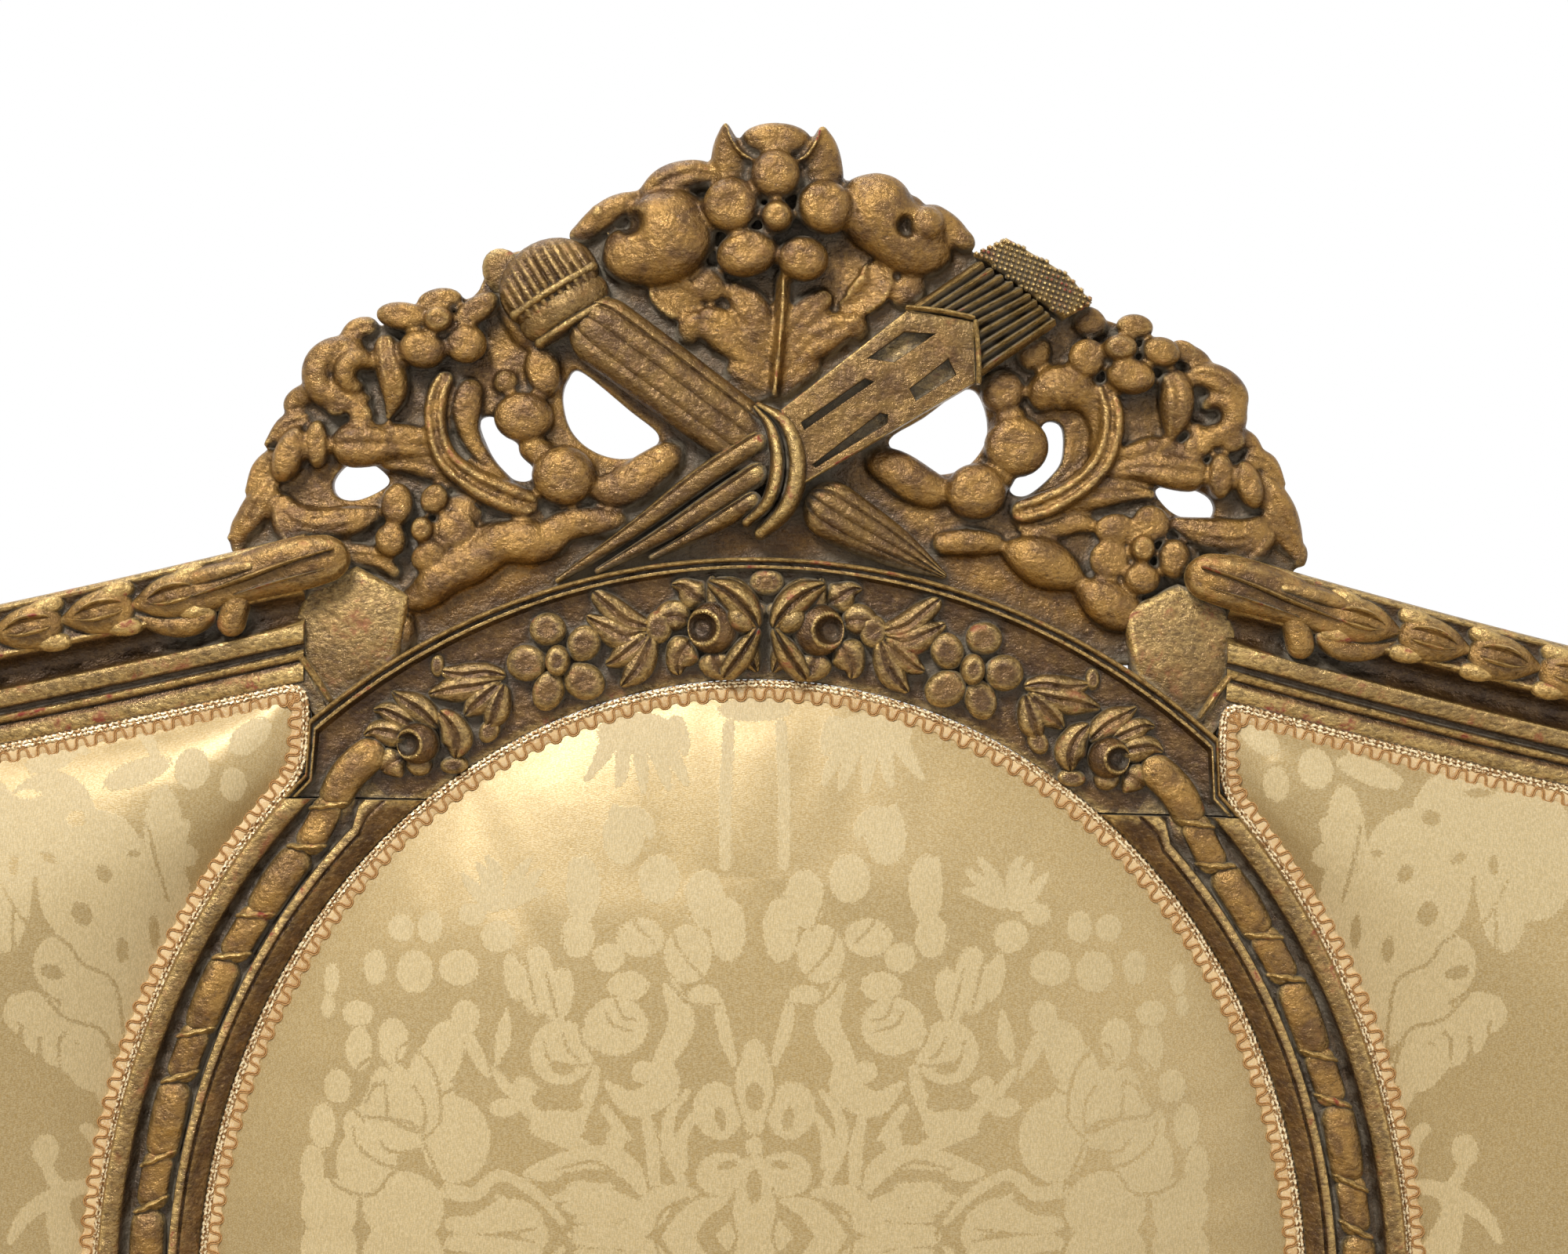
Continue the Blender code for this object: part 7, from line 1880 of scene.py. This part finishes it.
def rosette(radius, height):
    """A round flower of eight petals on a sunk ground, facing up."""
    small = bmesh.new()
    for i in range(8):
        angle = math.pi * i / 4
        place = (math.cos(angle) * radius * 0.60, math.sin(angle) * radius * 0.60)
        boss(small, place, radius * 0.38, radius * 0.25, angle, height * 0.72, 0, dish=0.35,
             around=16, along=10)
        angle += math.pi / 8
        place = (math.cos(angle) * radius * 0.72, math.sin(angle) * radius * 0.72)
        boss(small, place, radius * 0.26, radius * 0.12, angle, height * 0.42, 0, around=12, along=8)
    boss(small, (0, 0), radius * 0.24, radius * 0.24, 0, height * 0.95, 0, around=20, along=12)
    return small


def leg_block(bm, x):
    """The square block over a leg, with a sunk panel and a rosette on each outer face."""
    height = SEAT_RAIL_TOP - RAIL_BOTTOM
    middle = Matrix.Translation((x, FRONT_LEG_Y, (SEAT_RAIL_TOP + RAIL_BOTTOM) / 2))
    outer = abs(x) > LEG_INNER_X
    small = bmesh.new()
    bmesh.ops.create_cube(small, size=1)
    bmesh.ops.scale(small, vec=(LEG_BLOCK, LEG_BLOCK, height), verts=small.verts)
    bmesh.ops.translate(small, vec=middle.translation, verts=small.verts)
    bmesh.ops.bevel(small, geom=small.edges[:], offset=BLOCK_ARRIS, offset_type="OFFSET", segments=2,
                    profile=0.5, affect="EDGES", material=-1)
    wide = max(face.calc_area() for face in small.faces) * 0.9
    panels = [face for face in small.faces if face.calc_area() > wide and
              (face.normal.y < -0.9 or face.normal.x * x > 0.9 * abs(x) and outer)]
    bmesh.ops.inset_individual(small, faces=panels, thickness=PANEL_MARGIN, depth=0)
    bmesh.ops.inset_individual(small, faces=panels, thickness=PANEL_BEVEL, depth=-PANEL_DEPTH)
    join(bm, small)
    turns = [Matrix.Rotation(math.pi / 2, 4, "X")]
    if outer:
        turns.append(Matrix.Rotation(math.pi / 2 * (1 if x > 0 else -1), 4, "Z") @ turns[0])
    face = Matrix.Translation((0, 0, LEG_BLOCK / 2 - PANEL_DEPTH))
    for turn in turns:
        flower = rosette(ROSETTE_RADIUS, ROSETTE_HEIGHT)
        bmesh.ops.transform(flower, matrix=middle @ turn @ face, verts=flower.verts)
        join(bm, flower)


def seat_rail(start, end, face, inward, along_x=True):
    """A moulded seat rail with a row of pearls under its upper bead."""
    height = SEAT_RAIL_TOP - RAIL_BOTTOM

    def spot(place, depth):
        across = face + inward * depth * RAIL_THICKNESS
        return (place, across) if along_x else (across, place)

    bm = shell([[(*spot(start + (end - start) * share, depth), RAIL_BOTTOM + rise * height)
                 for depth, rise in SEAT_RAIL_PROFILE] for share in (0, 0.5, 1)])
    count = int((end - start - 0.008) / PEARL_PITCH)
    ball, unit, _ = unit_ball(8, 6)
    for i in range(count):
        place = (start + end) / 2 + (i - (count - 1) / 2) * PEARL_PITCH
        spots = np.array(spot(place, 0.155)) + unit[:, :2] * PEARL_RADIUS
        place_ball(bm, ball, spots, RAIL_BOTTOM + 0.60 * height + unit[:, 2] * PEARL_RADIUS)
    return bm


# Volute: its angles, its first radius, and the widths and rises of its line from there inwards
VOLUTE_START = math.radians(80)
VOLUTE_STEP = math.radians(38)
VOLUTE_STEPS = 22
VOLUTE_RADIUS = 0.0235
VOLUTE_WIDTHS = (0.0030, 0.0028, 0.0022, 0.0016, 0.0012)
VOLUTE_RISES = (0.0042, 0.004, 0.0036, 0.003, 0.003)
VOLUTE_EYE = 0.0042


def volute(bm, x, centre_y, centre_z):
    """The carved spiral on each cheek of the arm's scroll."""
    line = []
    for i in range(VOLUTE_STEPS):
        angle = VOLUTE_START + i * VOLUTE_STEP
        reach = VOLUTE_RADIUS * (1 - i / (VOLUTE_STEPS + 2))
        line.append(Vector((reach * math.cos(angle), reach * math.sin(angle))))
    for side in (-1, 1):
        small = bmesh.new()
        form(small, line, VOLUTE_WIDTHS, VOLUTE_RISES, 0, dome, 10, 90)
        boss(small, (0, 0), VOLUTE_EYE, VOLUTE_EYE, 0, 0.005, 0, around=16, along=10)
        turn = Matrix.Rotation(math.pi / 2, 4, "Z") @ Matrix.Rotation(math.pi / 2, 4, "X")
        place = Matrix.Translation((x + side * (ARM_WIDTH / 2 - 0.0012), centre_y, centre_z))
        if side < 0:
            turn = Matrix.Rotation(math.pi, 4, "Z") @ turn
        bmesh.ops.transform(small, matrix=place @ turn, verts=small.verts)
        join(bm, small)


# Leaf on the arm post: how the post's face leans, how far the leaf's foot lies behind the seat's front and
# above its rails, and the leaf's lines up the post with their widths and rises
POST_LEAN = math.radians(23)
POST_LEAF_SETBACK = 0.0135
POST_LEAF_LIFT = 0.035
POST_LEAF_FOOT = -0.005
POST_LOBE_FOOT = -0.0045
POST_LEAF_LINE = ((0, -0.025), (0, 0.03), (0, 0.085))
POST_LEAF_WIDTHS = (0.010, 0.013, 0.010, 0.002)
POST_LEAF_RISES = (0.006, 0.008, 0.007, 0.004)
POST_LOBE_LINE = ((0.005, 0), (0.015, 0.010), (0.0175, 0.020))
POST_LOBE_WIDTHS = (0.004, 0.0052, 0.0016)
POST_LOBE_RISES = (0.005, 0.0065, 0.004)
POST_LOBE_START = -0.018
POST_LOBE_PITCH = 0.022


def post_leaf(bm, x):
    """An acanthus leaf up the front of the arm post."""
    base = Matrix.Translation((x, FRONT_Y + POST_LEAF_SETBACK, SEAT_RAIL_TOP + POST_LEAF_LIFT))
    turn = base @ Matrix.Rotation(-POST_LEAN, 4, "X") @ Matrix.Rotation(math.pi / 2, 4, "X")
    small = bmesh.new()
    form(small, [Vector(point) for point in POST_LEAF_LINE], POST_LEAF_WIDTHS, POST_LEAF_RISES,
         POST_LEAF_FOOT, creased, 18, 24)
    for i in range(4):
        low = POST_LOBE_START + i * POST_LOBE_PITCH
        for side in (-1, 1):
            form(small, [Vector((side * aside, low + up)) for aside, up in POST_LOBE_LINE],
                 POST_LOBE_WIDTHS, POST_LOBE_RISES, POST_LOBE_FOOT, creased, 14, 14)
    bmesh.ops.transform(small, matrix=turn, verts=small.verts)
    join(bm, small)


def build_legs(sofa):
    gilt = gilding("gilding_legs", sofa, LOWER_LEAF)
    for place, x in LEG_XS:
        bm = turned_leg(x)
        leg_block(bm, x)
        dress("front_leg_" + place, bm, gilt)
        dress("rear_leg_" + place, softened("rear_leg_" + place, REAR_LEG_ARRIS), gilt)


def build_seat_rails(sofa):
    gilt = gilding("gilding_seat_rails", sofa, LOWER_LEAF)
    half = LEG_BLOCK / 2 + FIT
    for bay, (_, start), (_, end) in zip(("left", "centre", "right"), LEG_XS, LEG_XS[1:]):
        rail = seat_rail(start + half, end - half, FRONT_Y + RAIL_SETBACK, 1)
        dress("front_seat_rail_" + bay, rail, gilt)
        dress("rear_seat_rail_" + bay, softened("rear_seat_rail_" + bay), gilt)
    for side, sign in SIDES:
        bm = seat_rail(FRONT_Y + LEG_BLOCK + FIT, BACK_Y - FRAME_DEPTH - FIT,
                       sign * (HALF_WIDTH - RAIL_SETBACK), -sign, along_x=False)
        dress("side_seat_rail_" + side, bm, gilt)


def build_arms(sofa):
    gilt = gilding("gilding_arms", sofa, LOWER_LEAF)
    for side, sign in SIDES:
        bm = softened("arm_rest_" + side, ARM_ARRIS)
        volute(bm, sign * ARM_X, FRONT_Y + ARM_SETBACK, ARM_HEIGHT - ARM_SCROLL_RADIUS)
        dress("arm_rest_" + side, bm, gilt)
        bm = softened("arm_post_" + side, POST_ARRIS)
        post_leaf(bm, sign * ARM_X)
        dress("arm_post_" + side, bm, gilt)


def seat_outline():
    """Anticlockwise plan of the seat pad, notched round the arm posts."""
    side = HALF_WIDTH - SEAT_PAD_INSET
    notch = ARM_X - ARM_WIDTH / 2 - SEAT_PAD_INSET
    front = FRONT_Y + SEAT_PAD_INSET
    post = FRONT_Y + ARM_SETBACK + SEAT_PAD_INSET
    back = BACK_Y - FRAME_DEPTH - SEAT_PAD_INSET
    return [(-notch, front), (notch, front), (notch, post), (side, post), (side, back), (-side, back),
            (-side, post), (-notch, post)]


def stacked_pad(loop, rings):
    """A closed pad from rings: inward shift, height and share of the way to the middle."""
    normals = loop_normals(loop)
    middle = (loop.max(axis=0) + loop.min(axis=0)) / 2
    rows = []
    for inset, height, share in rings:
        ring = middle + (loop + normals * inset - middle) * share
        rows.append(np.column_stack([ring, np.full(len(ring), height)]))
    return shell(rows)


def flat_damask(piece, shift):
    """The damask's depth on the seat and arms, laid from the back over the front edge."""
    places = coordinates(piece.data).astype(float)
    across = (places[:, 0] + SEAT_REPEAT / 2) % SEAT_REPEAT - SEAT_REPEAT / 2
    along = places[:, 1] + places[:, 2] - SEAT_RAIL_TOP + shift
    return folded_damask(np.stack([DAMASK_AXIS_PX - np.abs(across) / PIXEL,
                                   DAMASK_REPEAT_PX - along / PIXEL], axis=1))


def seat_cover(crown):
    """The stuffed seat under its tight cover."""
    base = SEAT_RAIL_TOP + FIT * 2
    top = base + SEAT_PAD_EDGE
    rings = [(0.004, base, 1), (0.003, base + 0.010, 1), (0.001, base + 0.03, 1), (0.001, top - 0.024, 1),
             (0.005, top - 0.010, 1), (0.014, top - 0.002, 1), (0.026, top + 0.002, 1)]
    rings += [(0.026, top + crown * (1 - share ** 2), share)
              for share in (0.95, 0.88, 0.78, 0.64, 0.46, 0.26, 0.1)]
    bm = stacked_pad(rounded_loop(seat_outline(), CORNER_ROUND, 0.008), rings)
    piece = make_piece("cover_seat", bm, bpy.data.materials[SILK], ["seat_pad"],
                       on_back=False)
    inflate(piece, 0.010, lambda coords: coords[:, 2] < base + 0.010, pressure=3.0, cap=0.004)
    return piece


def left_arm_cover():
    """The stuffed pad on the left arm under its tight cover."""
    width, length, height = ARM_PAD_SIZE
    low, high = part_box("arm_pad_left")
    middle = (Vector(low) + Vector(high)) / 2
    angles = np.linspace(0, 2 * math.pi, 80, endpoint=False)
    radius = width / 2 - 0.001
    shift = np.where(np.sin(angles) >= 0, 1, -1) * (length / 2 - width / 2)
    outline = np.stack([-ARM_X + radius * np.cos(angles), middle.y + radius * np.sin(angles) + shift],
                       axis=1)
    base = ARM_HEIGHT + FIT
    rings = [(0.0010, base, 1), (0.0004, base + height * 0.2, 1), (0.0008, base + height * 0.45, 1),
             (0.0032, base + height * 0.66, 1), (0.0070, base + height * 0.82, 1),
             (0.0115, base + height * 0.91, 1), (0.0160, base + height * 0.94, 1)]
    piece = make_piece("cover_arm_left", stacked_pad(outline, rings), bpy.data.materials[SILK],
                       ["arm_pad_left"], on_back=False)
    inflate(piece, 0.004, lambda coords: coords[:, 2] < base + 0.003, cap=0.002)
    return piece


def build_seat_pads(sofa):
    seat = seat_cover(sofa.seat_crown)
    finish_cover(seat, flat_damask(seat, SEAT_DAMASK_SHIFT))
    left = left_arm_cover()
    for piece in (left, other_hand(left, "cover_arm_right", "arm_pad_right")):
        finish_cover(piece, flat_damask(piece, 0.0))


BEECH_NODES = ("cross_rail_left", "cross_rail_right", "corner_block_front_left",
               "corner_block_front_right", "corner_block_rear_left", "corner_block_rear_right")


def build_under_seat():
    """Beech rails and blocks, jute webbing and the black dust cover."""
    beech = beech_material()
    for name in BEECH_NODES:
        dress(name, softened(name, BEECH_ARRIS), beech)
    webbing, cover = cad_shape("webbing"), cad_shape("dust_cover")
    for bm in (webbing, cover):
        bmesh.ops.triangulate(bm, faces=bm.faces)
    jute = woven_material("jute_webbing", colour(178, 148, 104), colour(110, 84, 54), 260, 0.85)
    dress("webbing", webbing, jute)
    cambric = woven_material("black_cambric", colour(52, 48, 46), colour(20, 18, 18), 700, 0.8)
    piece = dress("dust_cover", cover, cambric)


def build_outside_backs():
    """The cloths behind the three panels, in the plain silk."""
    for place, loop, _ in back_panels():
        even = rounded_loop(loop, 0.004, 0.006)
        rings = [(0.004, 0.0003 + 0.0012 * (1 - share ** 2), share)
                 for share in (0.15, 0.4, 0.65, 0.85, 0.96)]
        rings += [(0.002, 0.0003, 1), (FIT * 2, 0.0010, 1), (FIT * 2, 0.0036, 1)]
        rings += [(0.004, 0.0036, share) for share in (0.96, 0.6, 0.15)]
        piece = make_piece("outside_back_" + place, stacked_pad(even, rings), bpy.data.materials[SILK],
                           ["back_cloth_" + place])
        write_damask(piece, [-PATTERN_REACH] * len(piece.data.vertices))


def beech_material():
    material, nodes, shader = plain_material("bare_beech")
    place = nodes.place()
    grain = nodes.noise(nodes.stretch(place, (1, 0.12, 1)), 260, 4, 0.6, 0.4)
    fleck = nodes.noise(nodes.stretch(place, (1, 0.3, 1)), 900, 2, 0.6)
    base = nodes.mix(nodes.between(grain, 0.35, 0.65), colour(196, 152, 104), colour(158, 112, 70))
    base = nodes.mix(nodes.between(fleck, 0.6, 0.72, 0.0, 0.6), base, colour(120, 80, 48))
    nodes.put(shader.inputs["Base Color"], base)
    nodes.put(shader.inputs["Roughness"], 0.62)
    nodes.bump(shader, grain, 0.3, 0.0004)
    return material


def woven_material(name, light, dark, scale, roughness):
    """A plain weave of two tones."""
    material, nodes, shader = plain_material(name)
    place = nodes.place()
    inputs = {"Vector": place, "Scale": scale}
    threads = [nodes.add("TexWave", inputs, wave_type="BANDS", bands_direction=axis) for axis in "XY"]
    weave = nodes.math("MULTIPLY", *(thread.outputs["Fac"] for thread in threads))
    slub = nodes.noise(place, 240, 3, 0.6)
    base = nodes.mix(nodes.between(weave, 0.1, 0.7), dark, light)
    base = nodes.mix(nodes.between(slub, 0.5, 0.7, 0.0, 0.4), base, dark)
    nodes.put(shader.inputs["Base Color"], base)
    nodes.put(shader.inputs["Roughness"], roughness)
    nodes.bump(shader, weave, 0.5, 0.0005)
    return material


# Stage

FLOOR_SIZE = 4
LENS = 70
SENSOR_WIDTH = 36

# Each lamp's place, size and power; the key lamp's power is a setting
KEY_LAMP = ("key_lamp", (-0.9, -1.5, 3.3), 0.7)
LAMPS = (("fill_lamp", (2.4, -2.6, 1.6), 1.6, 12), ("rim_lamp", (-0.6, 1.4, 3.0), 0.8, 14))


def stage_item(name, data):
    item = bpy.data.objects.new(name, data)
    bpy.context.collection.objects.link(item)
    return item


def build_stage(sofa):
    """Pale floor, soft studio light, white surroundings and the camera at the photograph's place."""
    bm = bmesh.new()
    bmesh.ops.create_grid(bm, x_segments=2, y_segments=2, size=FLOOR_SIZE)
    mesh = bpy.data.meshes.new("floor")
    bm.to_mesh(mesh)
    bm.free()
    material, nodes, shader = plain_material("pale_floor")
    shader.inputs["Base Color"].default_value = (0.86, 0.86, 0.85, 1)
    shader.inputs["Roughness"].default_value = 0.8
    mesh.materials.append(material)
    stage_item("floor", mesh)

    world = bpy.data.worlds.new("white_studio")
    world.use_nodes = True
    nodes = Nodes(world.node_tree)
    back = world.node_tree.nodes["Background"]
    path = nodes.add("LightPath")
    seen = nodes.math("MAXIMUM", path.outputs["Is Camera Ray"], path.outputs["Is Glossy Ray"])
    seen = nodes.math("MAXIMUM", seen, path.outputs["Is Transmission Ray"])
    back.inputs["Color"].default_value = (1, 1, 1, 1)
    nodes.put(back.inputs["Strength"], nodes.between(seen, 0, 1, sofa.room_light, 1.0))
    bpy.context.scene.world = world

    aim = BACK_PLANE @ Vector((0, 0.3, 0))
    for name, place, size, power in ((*KEY_LAMP, sofa.key_power), *LAMPS):
        lamp = bpy.data.lights.new(name, "AREA")
        lamp.size = size
        lamp.energy = power
        item = stage_item(name, lamp)
        item.location = place
        item.rotation_euler = (aim - Vector(place)).to_track_quat("-Z", "Y").to_euler()

    camera = bpy.data.cameras.new("camera")
    camera.lens = LENS
    camera.sensor_width = SENSOR_WIDTH
    item = stage_item("camera", camera)
    distance = PICTURE_WIDTH_PX * PIXEL * LENS / SENSOR_WIDTH
    item.matrix_world = (BACK_PLANE @ Matrix.Translation((VIEW_U, VIEW_V, 0.03 + distance))
                         @ Matrix.Rotation(PICTURE_ROLL, 4, "Z"))
    bpy.context.scene.camera = item
    bpy.context.scene.view_settings.view_transform = "Standard"


def colour_setting(title, note, value):
    return bpy.props.FloatVectorProperty(name=title, description=note, default=value, size=4,
                                         subtype="COLOR", min=0, max=1)


class SofaSettings(bpy.types.PropertyGroup):
    """Sizes and colours of the sofa that a maker would change."""

    medallion_crown: bpy.props.FloatProperty(
        name="Medallion crown", description="How far the medallion's pad swells before its edge",
        default=0.034, min=0.01, max=0.04, unit="LENGTH")
    side_crown: bpy.props.FloatProperty(
        name="Side crown", description="How far the side pads swell before their edges",
        default=0.032, min=0.01, max=0.04, unit="LENGTH")
    seat_crown: bpy.props.FloatProperty(
        name="Seat crown", description="How far the seat swells above its edge",
        default=0.0192, min=0.005, max=0.024, unit="LENGTH")
    gold: colour_setting("Gold", "Leaf where it is whole", colour(154, 115, 54))
    brown: colour_setting("Brown", "Leaf where it has darkened", colour(98, 69, 36))
    bole: colour_setting("Bole", "Red clay that shows on rubbed edges", colour(140, 48, 34))
    dust: colour_setting("Dust", "Dust settled in the hollows", colour(128, 118, 100))
    silk_ground: colour_setting("Silk ground", "Satin ground of the damask", colour(180, 151, 94))
    silk_motif: colour_setting("Silk motif", "Matt flowers of the damask", colour(208, 183, 132))
    braid_ground: colour_setting("Braid ground", "Woven band of the gimp", colour(230, 198, 144))
    braid_cord: colour_setting("Braid cord", "Wavy cords of the gimp", colour(176, 124, 64))
    key_power: bpy.props.FloatProperty(
        name="Key lamp", description="Power of the lamp from above on the left", default=86, min=0,
        unit="POWER")
    room_light: bpy.props.FloatProperty(
        name="Room light", description="Strength of the even light from the white studio",
        default=0.25, min=0, max=1, subtype="FACTOR")


class SOFA_OT_crest(bpy.types.Operator):
    """Carved and pierced crest with its quiver and torch"""
    bl_idname = "sofa.crest"
    bl_label = "Crest"

    def execute(self, context):
        build_crest(context.scene.giltwood_sofa)
        return {"FINISHED"}


class SOFA_OT_back_frame(bpy.types.Operator):
    """Moulded rails and stiles of the back, with their carving"""
    bl_idname = "sofa.back_frame"
    bl_label = "Back frame"

    def execute(self, context):
        build_frame(context.scene.giltwood_sofa)
        return {"FINISHED"}


class SOFA_OT_back_pads(bpy.types.Operator):
    """Damask pads of the medallion and the side panels"""
    bl_idname = "sofa.back_pads"
    bl_label = "Back pads"

    def execute(self, context):
        build_back_pads(context.scene.giltwood_sofa)
        return {"FINISHED"}


class SOFA_OT_gimp(bpy.types.Operator):
    """Scalloped gimp braid round every pad"""
    bl_idname = "sofa.gimp"
    bl_label = "Gimp braid"

    def execute(self, context):
        build_gimps(context.scene.giltwood_sofa)
        return {"FINISHED"}


class SOFA_OT_seat_rails(bpy.types.Operator):
    """Seat rails with their moulding and pearls"""
    bl_idname = "sofa.seat_rails"
    bl_label = "Seat rails"

    def execute(self, context):
        build_seat_rails(context.scene.giltwood_sofa)
        return {"FINISHED"}


class SOFA_OT_legs(bpy.types.Operator):
    """Turned front legs with rosettes, and the rear legs"""
    bl_idname = "sofa.legs"
    bl_label = "Legs"

    def execute(self, context):
        build_legs(context.scene.giltwood_sofa)
        return {"FINISHED"}


class SOFA_OT_arms(bpy.types.Operator):
    """Arm rests with volutes, on leaf-carved posts"""
    bl_idname = "sofa.arms"
    bl_label = "Arms"

    def execute(self, context):
        build_arms(context.scene.giltwood_sofa)
        return {"FINISHED"}


class SOFA_OT_seat_pads(bpy.types.Operator):
    """Damask seat and arm pads"""
    bl_idname = "sofa.seat_pads"
    bl_label = "Seat and arm pads"

    def execute(self, context):
        build_seat_pads(context.scene.giltwood_sofa)
        return {"FINISHED"}


class SOFA_OT_under_seat(bpy.types.Operator):
    """Beech rails and blocks, webbing, dust cover and outside backs"""
    bl_idname = "sofa.under_seat"
    bl_label = "Underside and outside backs"

    def execute(self, context):
        build_under_seat()
        build_outside_backs()
        return {"FINISHED"}


class SOFA_OT_stage(bpy.types.Operator):
    """Pale floor, studio light and camera"""
    bl_idname = "sofa.stage"
    bl_label = "Stage"

    def execute(self, context):
        build_stage(context.scene.giltwood_sofa)
        return {"FINISHED"}


OPERATORS = (SOFA_OT_crest, SOFA_OT_back_frame, SOFA_OT_back_pads, SOFA_OT_gimp, SOFA_OT_seat_rails,
             SOFA_OT_legs, SOFA_OT_arms, SOFA_OT_seat_pads, SOFA_OT_under_seat, SOFA_OT_stage)


class SOFA_PT_panel(bpy.types.Panel):
    """Lists the sofa's settings and the pieces that it is built from"""
    bl_idname = "SOFA_PT_panel"
    bl_label = "Giltwood Sofa"
    bl_space_type = "VIEW_3D"
    bl_region_type = "UI"
    bl_category = "Sofa"

    def draw(self, context):
        settings = context.scene.giltwood_sofa
        for name in SofaSettings.__annotations__:
            self.layout.prop(settings, name)
        for operator in OPERATORS:
            self.layout.operator(operator.bl_idname)


def register():
    for item in (SofaSettings, *OPERATORS, SOFA_PT_panel):
        bpy.utils.register_class(item)
    bpy.types.Scene.giltwood_sofa = bpy.props.PointerProperty(type=SofaSettings)


def unregister():
    del bpy.types.Scene.giltwood_sofa
    for item in (SOFA_PT_panel, *reversed(OPERATORS), SofaSettings):
        bpy.utils.unregister_class(item)


def main():
    """Builds the whole sofa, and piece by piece."""
    register()
    bpy.ops.sofa.crest()
    bpy.ops.sofa.back_frame()
    bpy.ops.sofa.back_pads()
    bpy.ops.sofa.gimp()
    bpy.ops.sofa.seat_rails()
    bpy.ops.sofa.legs()
    bpy.ops.sofa.arms()
    bpy.ops.sofa.seat_pads()
    bpy.ops.sofa.under_seat()
    bpy.ops.sofa.stage()


if __name__ == "__main__":
    main()
